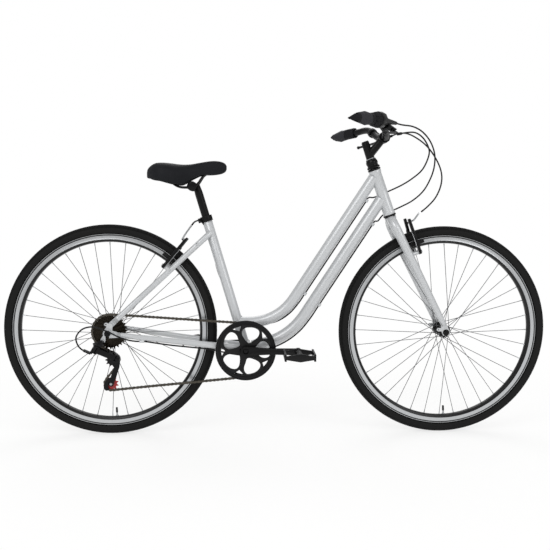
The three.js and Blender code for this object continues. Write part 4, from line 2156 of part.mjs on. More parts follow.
function cableSeat(start, next) {
  const way = next.clone().sub(start).normalize();
  return clearRod(
    start.clone().addScaledVector(way, -SEAT_GAP),
    start.clone().addScaledVector(way, CABLE_SEAT_DEPTH + OVERRUN),
    CABLE_RADIUS,
    GUIDE_SIDES,
  );
}

function makeShifter() {
  const start = RIGHT_GRIP_LENGTH + TWIST_GAP;
  const end = start + TWIST_LENGTH;
  const spot = (along) => onGrip(along, -1);
  const twist = join(
    rod(spot(start), spot(end), TWIST_OUTER_RADIUS, GRIP_SIDES, TWIST_RADIUS),
    ...Array.from({ length: TWIST_RIBS }, (_, i) => {
      const axis = onSide(gripInward, -1);
      const [first, second] = squareTo(axis, UP);
      const angle = (FULL_TURN * (i + 0.5)) / TWIST_RIBS;
      const out = first.clone().multiplyScalar(Math.cos(angle)).addScaledVector(second, Math.sin(angle));
      return rod(
        spot(start + OVERRUN).addScaledVector(out, TWIST_OUTER_RADIUS),
        spot(end - OVERRUN).addScaledVector(out, TWIST_RADIUS - OVERRUN / 2),
        TWIST_RIB_RADIUS,
        4,
      );
    }),
  );
  const bore = clearRod(spot(start - OVERRUN), spot(end + OVERRUN), BAR_RADIUS, BAR_SIDES, RUNNING_GAP);
  add('shifter_twist_grip', cut(twist, bore), BLACK_RUBBER);

  const housingStart = end + TWIST_GAP;
  const housingEnd = housingStart + HOUSING_LENGTH;
  const barClear = tube(barRoute(-1), clearRadius(BAR_RADIUS, BAR_SIDES, BEND_CLEARANCE), BAR_SIDES);
  const housing = rod(spot(housingStart), spot(housingEnd), HOUSING_RADIUS, GRIP_SIDES);
  const way = SHIFT_NEXT.clone().sub(SHIFT_START).normalize();
  const snoutEnd = SHIFT_START.clone().addScaledVector(way, CABLE_SEAT_DEPTH);
  const snout = rod(SNOUT_ROOT, snoutEnd, SNOUT_ROOT_RADIUS, STAY_SIDES, SNOUT_END_RADIUS);
  add(
    'shifter_housing',
    cut(join(housing, snout), barClear, cableSeat(SHIFT_START, SHIFT_NEXT)),
    BLACK_PLASTIC,
  );
}

// Brake levers: a bracket on the bar and the lever that turns in it

const LEVER_BRACKET_ALONG = 103;
const LEVER_RING_RADIUS = 16;
const LEVER_RING_HALF = 7;
const LEVER_PIVOT = vec(350, 112, 998);
const LEVER_BLADE = [
  vec(350, 112, 998),
  vec(352, 131, 988),
  vec(344, 160, 984),
  vec(322, 205, 979),
  vec(299, 240, 975),
];
const LEVER_AXIS = vec(0.489, 0.375, 0.787);
const LEVER_EYE_RADIUS = 7;
const LEVER_EYE_HALF = 4.5;
const LEVER_PIN_RADIUS = 2.5;
const LEVER_EAR_THICKNESS = 3;
const LEVER_BLADE_HALF_WIDTH = 5;
const LEVER_BLADE_HALF_THICKNESS = 3.2;
const LEVER_BALL_RADIUS = 6.5;
const LEVER_ADJUSTER_RADIUS = 5;

function makeLever(side, sign, cableStart, cableNext) {
  const ringCentre = onSide(RING_CENTRE, sign);
  const ringWay = onSide(RING_WAY, sign);
  const pivot = onSide(LEVER_PIVOT, sign);
  const axis = onSide(LEVER_AXIS, sign).normalize();
  const ring = rod(
    ringCentre.clone().addScaledVector(ringWay, -LEVER_RING_HALF),
    ringCentre.clone().addScaledVector(ringWay, LEVER_RING_HALF),
    LEVER_RING_RADIUS,
    GRIP_SIDES,
  );
  const barClear = clearRod(
    ringCentre.clone().addScaledVector(ringWay, -2 * LEVER_RING_HALF),
    ringCentre.clone().addScaledVector(ringWay, 2 * LEVER_RING_HALF),
    BAR_RADIUS,
    BAR_SIDES,
    BEND_CLEARANCE,
  );
  const earFace = LEVER_EYE_HALF + RUNNING_GAP;
  const earEnd = earFace + LEVER_EAR_THICKNESS;
  const reach = pivot.clone().sub(ringCentre);
  const bodyWay = reach.clone().addScaledVector(axis, -reach.dot(axis)).normalize();
  const bodySide = axis.clone().cross(bodyWay);
  const inPlane = pivot.clone().addScaledVector(bodyWay, -reach.dot(bodyWay));
  const body = block(
    mid(inPlane, pivot, 0.5).addScaledVector(bodyWay, -LEVER_EYE_RADIUS / 2 - RUNNING_GAP),
    reach.dot(bodyWay) - LEVER_EYE_RADIUS - 2 * RUNNING_GAP,
    2 * LEVER_EYE_RADIUS,
    2 * earEnd,
    bodyWay,
    bodySide,
    axis,
  );
  const ears = [-1, 1].map((way) => block(
    pivot.clone().addScaledVector(axis, (way * (earFace + earEnd)) / 2).addScaledVector(
      bodyWay,
      -LEVER_EYE_RADIUS / 2,
    ),
    3 * LEVER_EYE_RADIUS,
    2 * LEVER_EYE_RADIUS,
    LEVER_EAR_THICKNESS,
    bodyWay,
    bodySide,
    axis,
  ));
  const pin = rod(
    pivot.clone().addScaledVector(axis, -earEnd),
    pivot.clone().addScaledVector(axis, earEnd),
    LEVER_PIN_RADIUS,
    GUIDE_SIDES,
  );
  const cableWay = cableNext.clone().sub(cableStart).normalize();
  const adjusterStart = cableStart.clone().addScaledVector(cableWay, -2 * CABLE_SEAT_DEPTH);
  const adjuster = join(
    rod(
      adjusterStart,
      cableStart.clone().addScaledVector(cableWay, CABLE_SEAT_DEPTH),
      LEVER_ADJUSTER_RADIUS,
      GUIDE_SIDES,
    ),
    rod(
      mid(ringCentre, pivot, 0.5),
      adjusterStart.clone().addScaledVector(cableWay, OVERRUN),
      LEVER_ADJUSTER_RADIUS,
      GUIDE_SIDES,
    ),
  );
  const eyeClear = rod(
    pivot.clone().addScaledVector(axis, -earFace),
    pivot.clone().addScaledVector(axis, earFace),
    LEVER_EYE_RADIUS + RUNNING_GAP * 2,
    STAY_SIDES,
  );
  const bracketShape = join(cut(join(ring, body, adjuster), eyeClear), ...ears, pin);
  add(
    `${side}_brake_lever_bracket`,
    cut(bracketShape, barClear, cableSeat(cableStart, cableNext)),
    BLACK_PLASTIC,
  );

  const blade = swept(LEVER_BLADE.map((point) => onSide(point, sign)), () => oval(
    LEVER_BLADE_HALF_THICKNESS,
    LEVER_BLADE_HALF_WIDTH,
    GUIDE_SIDES,
  ), axis);
  const eye = rod(
    pivot.clone().addScaledVector(axis, -LEVER_EYE_HALF),
    pivot.clone().addScaledVector(axis, LEVER_EYE_HALF),
    LEVER_EYE_RADIUS,
    STAY_SIDES,
  );
  const tip = onSide(LEVER_BLADE[LEVER_BLADE.length - 1], sign);
  const ball = solid(
    placed(new THREE.SphereGeometry(LEVER_BALL_RADIUS, GUIDE_SIDES, 6), tip, FORWARD, LEFT, UP),
  );
  const pinClear = clearRod(
    pivot.clone().addScaledVector(axis, -2 * LEVER_EYE_HALF),
    pivot.clone().addScaledVector(axis, 2 * LEVER_EYE_HALF),
    LEVER_PIN_RADIUS,
    GUIDE_SIDES,
    RUNNING_GAP,
  );
  add(`${side}_brake_lever`, cut(join(blade, eye, ball), pinClear), BLACK_ALLOY);
}

// Control cables

const GUIDE_LEAD = 2.2;
const CABLE_SEAT_SHARE = 0.4;

const shiftRoute = [
  [354, -112, 1020], [379, -100, 1016], [417, -85, 1013],
  [450, -68, 1001], [479, -50, 978], [498, -35, 951],
  [508, -22, 924], [510, -8, 890], [503, 5, 856], [483, 16, 815],
  [450, 25, 783], [404, 30, 758], [352, 29, 734],
];
const rearBrakeRoute = [
  [375, -95, 989], [404, -80, 995], [431, -66, 996], [458, -52, 983], [480, -38, 957], [488, -26, 938],
  [484, -14, 910], [471, 0, 881], [445, 14, 856], [412, 23, 834], [364, 27, 811],
];
const frontBrakeRoute = [
  [385, 90, 1001], [411, 78, 1010], [435, 62, 1007], [459, 48, 994], [492, 32, 966], [519, 18, 927],
  [535, 6, 888], [538, -4, 858], [531, -14, 826], [512, -24, 790], [484, -32, 761], [464, -36, 745],
];
const toVec = ([x, y, z]) => vec(x, y, z);
const SHIFT_NEXT = toVec(shiftRoute[1]);
const ringOn = barRoute(1).findIndex(({ y }) => y > LEVER_BRACKET_ALONG);
const [ringBefore, ringAfter] = [barRoute(1)[ringOn - 1], barRoute(1)[ringOn]];
const RING_WAY = ringAfter.clone().sub(ringBefore).normalize();
const RING_CENTRE = mid(
  ringBefore,
  ringAfter,
  (LEVER_BRACKET_ALONG - ringBefore.y) / (ringAfter.y - ringBefore.y),
);

makeShifter();
makeLever('right', -1, toVec(rearBrakeRoute[0]), toVec(rearBrakeRoute[1]));
makeLever('left', 1, toVec(frontBrakeRoute[0]), toVec(frontBrakeRoute[1]));

// Places beside a tube's bends, turned from straight below to its right side by shares of a quarter turn.
const besideTube = (points, radius, quarterShares) => points.map((point, i) => {
  const after = points[Math.min(i + 1, points.length - 1)];
  const heading = after.clone().sub(points[Math.max(i - 1, 0)]).normalize();
  const below = vec(-heading.z, 0, heading.x);
  if (below.z > 0) below.negate();
  const angle = (quarterShares[i] * Math.PI) / 2;
  const place = point.clone().addScaledVector(below, radius * Math.cos(angle)).addScaledVector(
    LEFT,
    -radius * Math.sin(angle),
  );
  return [place.x, place.y, place.z];
});

// Straight places through a guide and a little to either side of it.
const guideLeads = [-GUIDE_LEAD, GUIDE_LEAD];
const throughGuides = (guides) => guides.flatMap(({ middle, ends }) => guideLeads.map((lead) => {
  const place = mid(middle, ends[lead < 0 ? 0 : 1], Math.abs(lead));
  return [place.x, place.y, place.z];
}));

// Under the right chainstay, at a share of its length.
function underStay(share) {
  const y = THREE.MathUtils.mapLinear(share, CHAINSTAY_WAIST_SHARE, 1, CHAINSTAY_WAIST_Y, dropoutMid);
  const place = chainstayAt(share, y, -1);
  return [place.x, place.y, place.z - CHAINSTAY_HALF_DEPTH - CABLE_RADIUS - CABLE_LIFT];
}

const SHIFT_TO_GUIDE = [332, 17, 714];
const SHIFT_BEHIND_BRACKET = [-150, -22, 272];
const REAR_BRAKE_TO_GUIDE = [318, 20, 792];
const REAR_BRAKE_UP_SEAT_TUBE = [
  [-124, -25, 395], [-146, -25, 430], [-171, -21, 480],
  [-198, -16, 546], [-207, -21, 600], [-214, -24.5, 640],
  [-222, -25.5, 672], [-240, -27, 702], [-261, -30, 714], [-276, -32.5, 708], [-283.5, -33.9, 697],
];
const LOWER_SIDE_SHARES = [0, 0, 0, 0, 0];
const UPPER_SIDE_SHARES = [0, 0, 0.15, 0.5, 0.9];
const STAY_HOLD_SHARES = [0.3, 0.45, 0.62];

function makeCables() {
  const shift = [
    ...shiftRoute,
    SHIFT_TO_GUIDE,
    ...throughGuides(lowerGuides),
    ...besideTube(
      lowerPoints.slice(1, -1),
      LOWER_TUBE_RADIUS + CABLE_RADIUS + CABLE_LIFT,
      LOWER_SIDE_SHARES,
    ),
    [-108, -10, BRACKET_HEIGHT - SHELL_RADIUS - CABLE_RADIUS - CABLE_LIFT],
    SHIFT_BEHIND_BRACKET,
    ...STAY_HOLD_SHARES.map(underStay),
    [stopEnds[1].x + 3 * SEAT_GAP, stopEnds[1].y, stopEnds[1].z],
  ];
  add('shift_cable', cable(shift), BLACK_PLASTIC);
  const rear = [
    ...rearBrakeRoute,
    REAR_BRAKE_TO_GUIDE,
    ...throughGuides(upperGuides),
    ...besideTube(
      upperPoints.slice(1, -1),
      UPPER_TUBE_RADIUS + CABLE_RADIUS + CABLE_LIFT,
      UPPER_SIDE_SHARES,
    ),
    ...REAR_BRAKE_UP_SEAT_TUBE,
  ];
  add('rear_brake_cable', cable(rear), BLACK_PLASTIC);
  add('front_brake_cable', cable(frontBrakeRoute), BLACK_PLASTIC);
  const seated = mid(stopEnds[0], stopEnds[1], CABLE_SEAT_SHARE);
  const mouth = stopEnds[0];
  const lead = [mouth.x - CABLE_SEAT_DEPTH, mouth.y, mouth.z];
  const end = [[seated.x, seated.y, seated.z], [mouth.x, mouth.y, mouth.z], lead, ...shiftEndRoute];
  add('shift_cable_end', cable(end), BLACK_PLASTIC);
}

makeCables();

export default bike;
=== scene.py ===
"""A step through bicycle: its looks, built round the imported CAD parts."""

import json
import math

import bpy
from mathutils import Matrix, Vector


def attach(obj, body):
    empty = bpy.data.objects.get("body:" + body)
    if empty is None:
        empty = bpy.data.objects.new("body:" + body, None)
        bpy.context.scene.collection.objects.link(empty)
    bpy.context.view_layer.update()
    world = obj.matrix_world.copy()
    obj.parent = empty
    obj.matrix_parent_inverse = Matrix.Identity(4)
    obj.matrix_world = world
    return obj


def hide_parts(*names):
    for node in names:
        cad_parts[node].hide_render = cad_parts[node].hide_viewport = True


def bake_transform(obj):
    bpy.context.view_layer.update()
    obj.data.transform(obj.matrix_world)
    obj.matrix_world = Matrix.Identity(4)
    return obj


bl_info = {
    "name": "Step Through Bicycle",
    "version": (1, 0, 0),
    "blender": (4, 5, 0),
    "location": "3D View > Sidebar > Bicycle",
    "description": "Builds the visible pieces of a step through bicycle round its CAD parts",
    "category": "Object",
}

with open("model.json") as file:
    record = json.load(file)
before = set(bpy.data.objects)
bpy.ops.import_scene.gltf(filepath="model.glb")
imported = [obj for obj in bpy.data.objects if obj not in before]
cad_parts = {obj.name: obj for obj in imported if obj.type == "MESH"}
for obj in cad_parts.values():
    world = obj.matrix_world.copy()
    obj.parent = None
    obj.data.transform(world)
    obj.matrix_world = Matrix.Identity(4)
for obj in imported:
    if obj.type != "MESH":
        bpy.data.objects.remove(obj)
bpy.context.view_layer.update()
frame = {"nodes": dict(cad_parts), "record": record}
MM = 0.001
FULL_TURN = 2 * math.pi
LEFT = Vector((0, 1, 0))
FORWARD = Vector((1, 0, 0))
UP = Vector((0, 0, 1))


def linear(code):
    """An sRGB hex colour as linear values with full alpha."""
    parts = [int(code[i:i + 2], 16) / 255 for i in (1, 3, 5)]
    return tuple(p / 12.92 if p <= 0.04045 else ((p + 0.055) / 1.055) ** 2.4 for p in parts) + (1.0,)


# Driving sizes in millimetres, the same as the CAD's

WHEELBASE = 1104.5
TYRE_RADIUS = 349
BRACKET_HEIGHT = 290
BRACKET_TO_REAR_AXLE = 444.3
HEAD_ANGLE = math.radians(70)
SEAT_ANGLE = math.radians(73.2)
SLOPE_ANGLE = math.radians(57)
FORK_LENGTH = 426.7
FORK_RAKE = 42.2
HEAD_LENGTH = 153
SEAT_TUBE_LENGTH = 455
CHAIN_PITCH = 12.7
SPROCKET_LINE = -30
CHAINRING_LINE = -46

# Places and directions shared by the pieces

FRONT_AXLE = Vector((WHEELBASE / 2, 0, TYRE_RADIUS))
REAR_AXLE = Vector((-WHEELBASE / 2, 0, TYRE_RADIUS))
BRACKET = Vector((REAR_AXLE.x + BRACKET_TO_REAR_AXLE, 0, BRACKET_HEIGHT))
STEER_UP = Vector((-math.cos(HEAD_ANGLE), 0, math.sin(HEAD_ANGLE)))
STEER_FORWARD = Vector((math.sin(HEAD_ANGLE), 0, math.cos(HEAD_ANGLE)))
SEAT_UP = Vector((-math.cos(SEAT_ANGLE), 0, math.sin(SEAT_ANGLE)))
SLOPE_DOWN = Vector((-math.cos(SLOPE_ANGLE), 0, -math.sin(SLOPE_ANGLE)))
HEAD_BASE = FRONT_AXLE - STEER_FORWARD * FORK_RAKE + STEER_UP * FORK_LENGTH


def steering(height, forward=0):
    """A place on the steering axis, or that far forward of it."""
    return HEAD_BASE + STEER_UP * height + STEER_FORWARD * forward


def seat_axis(distance):
    """A place up the seat tube from the bottom bracket."""
    return BRACKET + SEAT_UP * distance


def beside(place, y):
    """The same place at another depth."""
    return Vector((place.x, y, place.z))


# What a user would change

def colour(name, code, note):
    """A colour property with a hex default."""
    return bpy.props.FloatVectorProperty(
        name=name, description=note, subtype="COLOR", size=4, min=0, max=1, default=linear(code)
    )


def length(name, metres, note):
    """A length property in metres."""
    return bpy.props.FloatProperty(name=name, description=note, unit="LENGTH", min=0.0001, default=metres)


EDGE = 0.0006


class BikeColours(bpy.types.PropertyGroup):
    """Colours of the bicycle's finishes."""

    frame: colour("Frame", "#C6C8CA", "Silver enamel of the frame and fork")
    black: colour("Black", "#070708", "Black enamel and anodised parts")
    plastic: colour("Plastic", "#0A0A0B", "Moulded black plastic")
    tyre: colour("Tyre", "#0F0F0F", "Tyre rubber")
    grip: colour("Grip", "#121214", "Dark grip rubber")
    grip_pale: colour("Grip inlay", "#29292C", "Paler rubber of the grips")
    saddle: colour("Saddle", "#111215", "Saddle cover")
    alloy: colour("Alloy", "#C4C6C8", "Polished rim alloy")
    steel: colour("Steel", "#B9BBBD", "Spokes, bolts and axles")
    chain: colour("Chain", "#57534C", "Oiled chain")
    sprocket: colour("Sprockets", "#2A251E", "Bronze coloured freewheel")
    pulley: colour("Pulley", "#9A1B1E", "Red lower pulley")
    floor: colour("Floor", "#F7F7F6", "Studio floor")


class BikeSizes(bpy.types.PropertyGroup):
    """Sizes of the detail that the looks add."""

    edge: length("Edge", EDGE, "Rounding of the edges of forged and moulded pieces")
    spoke: length("Spoke", 0.002, "Diameter of a spoke")
    housing: length("Housing", 0.005, "Diameter of a cable housing")
    tread_depth: length("Tread depth", 0.0008, "Depth of the grooves in the tyre")


# Materials

def put(tree, kind, inputs=None, **settings):
    """Adds a node, with its settings, its values and the outputs that feed it."""
    node = tree.nodes.new(kind)
    for key, value in settings.items():
        setattr(node, key, value)
    for key, value in (inputs or {}).items():
        if isinstance(value, bpy.types.NodeSocket):
            tree.links.new(value, node.inputs[key])
        else:
            node.inputs[key].default_value = value
    return node


def new_material(name):
    """An empty node material and its tree."""
    material = bpy.data.materials.new(name)
    material.use_nodes = True
    material.node_tree.nodes.clear()
    return material, material.node_tree


def close_material(tree, inputs):
    """Ends a material in a principled shader."""
    shader = put(tree, "ShaderNodeBsdfPrincipled", inputs)
    put(tree, "ShaderNodeOutputMaterial", {"Surface": shader.outputs["BSDF"]})


def object_place(tree):
    """The place on the bicycle, in metres."""
    return put(tree, "ShaderNodeTexCoord").outputs["Object"]


def mixed(tree, factor, first, second):
    """A colour between two by a factor."""
    node = put(tree, "ShaderNodeMix", {"Factor": factor}, data_type="RGBA")
    for index, value in ((6, first), (7, second)):
        if isinstance(value, bpy.types.NodeSocket):
            tree.links.new(value, node.inputs[index])
        else:
            node.inputs[index].default_value = value
    return node.outputs[2]


def ranged(tree, value, low, high, start=0.0, end=1.0):
    """A value moved from one range to another."""
    node = put(
        tree, "ShaderNodeMapRange",
        {"Value": value, "From Min": start, "From Max": end, "To Min": low, "To Max": high},
    )
    return node.outputs["Result"]


def noise(tree, place, size_mm, detail=2.0, rough=0.5):
    """Noise whose blobs are about so many millimetres across."""
    return put(
        tree, "ShaderNodeTexNoise",
        {"Vector": place, "Scale": 1000 / size_mm, "Detail": detail, "Roughness": rough},
    ).outputs["Fac"]


def bumped(tree, height, depth_mm, strength=1.0):
    """A bump of so many millimetres."""
    return put(
        tree, "ShaderNodeBump", {"Height": height, "Distance": depth_mm * MM, "Strength": strength}
    ).outputs["Normal"]


def shade(value, factor):
    """A colour made darker or lighter."""
    return tuple(min(1.0, c * factor) for c in value[:3]) + (1.0,)


def grained(name, dark, light, patch, rough, grain=None, bump=None, contrast=None, **inputs):
    """A finish whose colour goes by a patchy noise, and its roughness and bump by a grain.

    Other inputs of the shader are given by their names, with _ for each space.
    """
    material, tree = new_material(name)
    place = object_place(tree)
    patches = noise(tree, place, *patch)
    grains = noise(tree, place, *grain) if grain else patches
    blend = ranged(tree, patches, 0.0, 1.0, *contrast) if contrast else patches
    values = {key.replace("_", " "): value for key, value in inputs.items()}
    values["Base Color"] = mixed(tree, blend, dark, light)
    values["Roughness"] = ranged(tree, grains, *rough)
    if bump:
        values["Normal"] = bumped(tree, grains, *bump)
    close_material(tree, values)
    return material


def silver_enamel(colours):
    """Metallic enamel under clear lacquer: fine aluminium flakes that glint."""
    return grained(
        "silver_enamel", shade(colours.frame, 0.92), shade(colours.frame, 1), (1.2, 1.0), (0.34, 0.42),
        (60, 2.0), (0.02, 0.3), (0.35, 0.65), Metallic=0.3, Coat_Weight=0.45, Coat_Roughness=0.12,
    )


def black_enamel(colours):
    """Black enamel on steel: an even gloss with a slight orange peel."""
    return grained(
        "black_enamel", shade(colours.black, 1), shade(colours.black, 1.6), (3.0, 2.0), (0.24, 0.34), None,
        (0.03, 0.4), Specular_IOR_Level=0.2,
    )


def anodised_black(colours):
    """Black anodised aluminium: satin, with a fine grain from the blasting."""
    material, tree = new_material("anodised_black")
    place = object_place(tree)
    grain = noise(tree, place, 0.5, 2.0, 0.6)
    wear = ranged(tree, noise(tree, place, 25, 3.0), 0.0, 0.5, 0.45, 0.75)
    close_material(tree, {
        "Base Color": mixed(tree, wear, shade(colours.black, 1.1), shade(colours.black, 2.2)),
        "Metallic": 0.1, "Specular IOR Level": 0.22, "Roughness": ranged(tree, grain, 0.34, 0.46),
        "Normal": bumped(tree, grain, 0.03, 0.5),
    })
    return material


def moulded_plastic(colours):
    """Glass filled nylon: matte, with the fine texture of its mould."""
    return grained(
        "moulded_plastic", shade(colours.plastic, 1), shade(colours.plastic, 1.7), (30, 2.0), (0.32, 0.46),
        (0.8, 3.0, 0.6), (0.04, 0.6), Specular_IOR_Level=0.25,
    )


def cells_edge(tree, cell_mm, top):
    """How far a place is from the edges of small cells."""
    cells = put(
        tree, "ShaderNodeTexVoronoi", {"Vector": object_place(tree), "Scale": 1000 / cell_mm},
        feature="DISTANCE_TO_EDGE",
    )
    return ranged(tree, cells.outputs["Distance"], 0.0, 1.0, 0.0, top)


def kraton_rubber(name, base, paler):
    """Soft grip rubber: dull, with a fine leathery texture."""
    material, tree = new_material(name)
    edge = cells_edge(tree, 1.6, 0.12)
    close_material(tree, {
        "Base Color": mixed(tree, edge, shade(base, 1), shade(base, paler)),
        "Roughness": 0.72, "Specular IOR Level": 0.15,
        "Normal": bumped(tree, edge, 0.12, 0.6),
    })
    return material


def math_node(tree, operation, first, second=0.0):
    """The result of one sum on values or outputs."""
    return put(tree, "ShaderNodeMath", {0: first, 1: second}, operation=operation).outputs[0]


def wave(tree, value, factor):
    """The sine of a value times a factor."""
    return math_node(tree, "SINE", math_node(tree, "MULTIPLY", value, factor))


def threshold(tree, value, start, end):
    """A rise from 0 to 1 as a value passes from start to end."""
    return ranged(tree, value, 0.0, 1.0, start, end)


def wheel_place(tree, axle):
    """How far round a wheel a place is in turns, its radius in metres and its side."""
    shifted = {"Vector": object_place(tree), "Location": tuple(-axle * MM)}
    place = put(tree, "ShaderNodeMapping", shifted).outputs["Vector"]
    split = put(tree, "ShaderNodeSeparateXYZ", {"Vector": place})
    x, y, z = (split.outputs[key] for key in "XYZ")
    turn = math_node(tree, "DIVIDE", math_node(tree, "ARCTAN2", x, z), FULL_TURN)
    flat = put(tree, "ShaderNodeCombineXYZ", {"X": x, "Z": z}).outputs["Vector"]
    radius = put(tree, "ShaderNodeVectorMath", {0: flat}, operation="LENGTH").outputs["Value"]
    return turn, radius, y


TREAD_BLOCKS = 150
TREAD_SLANT = 34.0
TREAD_LANE = 0.0052
TREAD_RADII = (0.3365, 0.3385)
SIDEWALL_RIBS = 420
TRACK_RING = 0.0009
TRACK_RADII = (0.3008, 0.3014)
BEAD_RADII = (0.3128, 0.3132)
ABOVE_BEAD_RADII = (0.3162, 0.3166)


def tyre_rubber(colours, name, axle, depth_mm):
    """Vulcanised tyre rubber: a blocky tread round the crown, with painted shade in its grooves, and fine
    radial ribs on the wall.
    """
    material, tree = new_material(name)
    turn, radius, side = wheel_place(tree, axle)
    across = math_node(tree, "ABSOLUTE", side)
    slant = math_node(tree, "MULTIPLY", across, TREAD_SLANT)
    phase = math_node(tree, "ADD", math_node(tree, "MULTIPLY", turn, float(TREAD_BLOCKS)), slant)
    block = math_node(tree, "ABSOLUTE", wave(tree, phase, math.pi))
    lanes = math_node(tree, "ABSOLUTE", wave(tree, across, math.pi / TREAD_LANE))
    blocks, cuts = threshold(tree, block, 0.12, 0.3), threshold(tree, lanes, 0.1, 0.28)
    pattern = math_node(tree, "MULTIPLY", blocks, cuts)
    wall = ranged(tree, wave(tree, turn, FULL_TURN * SIDEWALL_RIBS), 0.4, 0.6, -1.0, 1.0)
    on_tread = threshold(tree, radius, *TREAD_RADII)
    heights = put(tree, "ShaderNodeMix", {"Factor": on_tread, "A": wall, "B": pattern}, data_type="FLOAT")
    grain = noise(tree, object_place(tree), 2.0, 3.0)
    wall_colour = mixed(tree, grain, shade(colours.tyre, 1.5), shade(colours.tyre, 2.2))
    # The tread's grooves are painted darker than its blocks: painted shade in the recesses.
    tread_and_groove_shade = mixed(tree, pattern, shade(colours.tyre, 0.45), shade(colours.tyre, 1.15))
    close_material(tree, {
        "Base Color": mixed(tree, on_tread, wall_colour, tread_and_groove_shade),
        "Roughness": ranged(tree, grain, 0.62, 0.8), "Specular IOR Level": 0.15,
        "Normal": bumped(tree, heights.outputs[0], depth_mm, 0.8),
    })
    return material


def rim_alloy(colours, name, axle):
    """Extruded rim alloy: turned brake track with fine rings, black anodised inside the track."""
    material, tree = new_material(name)
    radius = wheel_place(tree, axle)[1]
    off_bead = math_node(tree, "SUBTRACT", 1.0, threshold(tree, radius, *ABOVE_BEAD_RADII))
    bead = math_node(tree, "MULTIPLY", threshold(tree, radius, *BEAD_RADII), off_bead)
    on_track = threshold(tree, radius, *TRACK_RADII)
    bright = math_node(tree, "MULTIPLY", on_track, math_node(tree, "SUBTRACT", 1.0, bead))
    smear = noise(tree, object_place(tree), 12, 3.0)
    track = mixed(tree, smear, shade(colours.alloy, 0.92), shade(colours.alloy, 1))
    close_material(tree, {
        "Base Color": mixed(tree, bright, shade(colours.black, 1.6), track),
        "Metallic": ranged(tree, bright, 0.3, 0.85), "Roughness": ranged(tree, smear, 0.28, 0.36),
        "Normal": bumped(tree, wave(tree, radius, FULL_TURN / TRACK_RING), 0.02, 0.25),
    })
    return material


def bright_steel(colours):
    """Stainless and zinc plated steel: bright, with faint drawing marks."""
    return grained(
        "bright_steel", shade(colours.steel, 0.8), shade(colours.steel, 1), (1.5, 3.0), (0.22, 0.36), None,
        (0.01, 0.3), Metallic=0.9,
    )


def shaded_spoke_steel():
    """Spokes seen thin against the light: stainless wire painted a darker grey than its own, as painted
    shade.
    """
    # Both greys stand for the shade that thin spokes show, not the steel's own colour: painted shade.
    dark, light = linear("#4C4D4F"), linear("#6B6C6E")
    return grained("shaded_spoke_steel", dark, light, (4.0, 2.0), (0.28, 0.4), Metallic=0.8)


def oiled_steel(name, base):
    """Oiled steel: brownish, with patches of grease and bright spots that are partly wear and partly painted
    glints.
    """
    material, tree = new_material(name)
    place = object_place(tree)
    grease = noise(tree, place, 6.0, 4.0, 0.6)
    fine = noise(tree, place, 0.8, 2.0)
    # The bright spots lighten the colour for wear and also as painted glints.
    spots = threshold(tree, grease, 0.35, 0.7)
    close_material(tree, {
        "Base Color": mixed(tree, spots, shade(base, 0.55), shade(base, 1.25)), "Metallic": 0.9,
        "Roughness": ranged(tree, grease, 0.2, 0.45), "Normal": bumped(tree, fine, 0.02, 0.4),
    })
    return material


def saddle_vinyl(colours):
    """Embossed vinyl over foam: a pebbled grain of about 1.4 mm."""
    material, tree = new_material("saddle_vinyl")
    pebble = cells_edge(tree, 1.4, 0.25)
    soft = noise(tree, object_place(tree), 40, 2.0)
    close_material(tree, {
        "Base Color": mixed(tree, soft, tuple(colours.saddle), shade(colours.saddle, 1.8)),
        "Roughness": ranged(tree, pebble, 0.62, 0.5), "Specular IOR Level": 0.15,
        "Normal": bumped(tree, pebble, 0.1, 0.5),
    })
    return material


def acetal(colours):
    """Moulded acetal of the lower pulley: even red with a soft shine."""
    return grained(
        "red_acetal", shade(colours.pulley, 0.8), shade(colours.pulley, 1), (5.0, 2.0), (0.3, 0.4), None,
        (0.02, 0.3),
    )


def make_materials(scene):
    """All finishes by the name that the pieces ask for."""
    colours = scene.bike_colours
    depth = scene.bike_sizes.tread_depth / MM
    return {
        "silver": silver_enamel(colours),
        "enamel": black_enamel(colours),
        "anodised": anodised_black(colours),
        "plastic": moulded_plastic(colours),
        "grip": kraton_rubber("grip_rubber", colours.grip, 1.9),
        "grip_pale": kraton_rubber("grip_inlay_rubber", colours.grip_pale, 1.5),
        "front_tyre": tyre_rubber(colours, "front_tyre_rubber", FRONT_AXLE, depth),
        "rear_tyre": tyre_rubber(colours, "rear_tyre_rubber", REAR_AXLE, depth),
        "front_rim": rim_alloy(colours, "front_rim_alloy", FRONT_AXLE),
        "rear_rim": rim_alloy(colours, "rear_rim_alloy", REAR_AXLE),
        "steel": bright_steel(colours),
        "spoke": shaded_spoke_steel(),
        "chain": oiled_steel("oiled_chain_steel", colours.chain),
        "sprocket": oiled_steel("bronze_sprocket_steel", colours.sprocket),
        "vinyl": saddle_vinyl(colours),
        "acetal": acetal(colours),
    }


MATERIALS = {}


def finish(name):
    """The finish of that name."""
    if not MATERIALS:
        MATERIALS.update(make_materials(bpy.context.scene))
    return MATERIALS[name]


# Modelling

MERGE_DISTANCE = 0.00001
FLAT_ANGLE = math.radians(1)


def deselect():
    """Selects nothing."""
    for thing in bpy.context.selected_objects:
        thing.select_set(False)


def pick(*things):
    """Selects these objects alone, the first one active."""
    deselect()
    for thing in things:
        thing.select_set(True)
    bpy.context.view_layer.objects.active = things[0]


def joined(name, things):
    """One object from several."""
    pick(*things)
    if len(things) > 1:
        bpy.ops.object.join()
    whole = bpy.context.view_layer.objects.active
    whole.name = name
    whole.data.name = name
    return whole


def fixed_place(piece):
    """Applies a piece's place and turn to its mesh."""
    pick(piece)
    bpy.ops.object.transform_apply(location=True, rotation=True, scale=True)


def apply_modifiers(piece):
    """Applies all of a piece's modifiers."""
    pick(piece)
    for modifier in list(piece.modifiers):
        bpy.ops.object.modifier_apply(modifier=modifier.name)


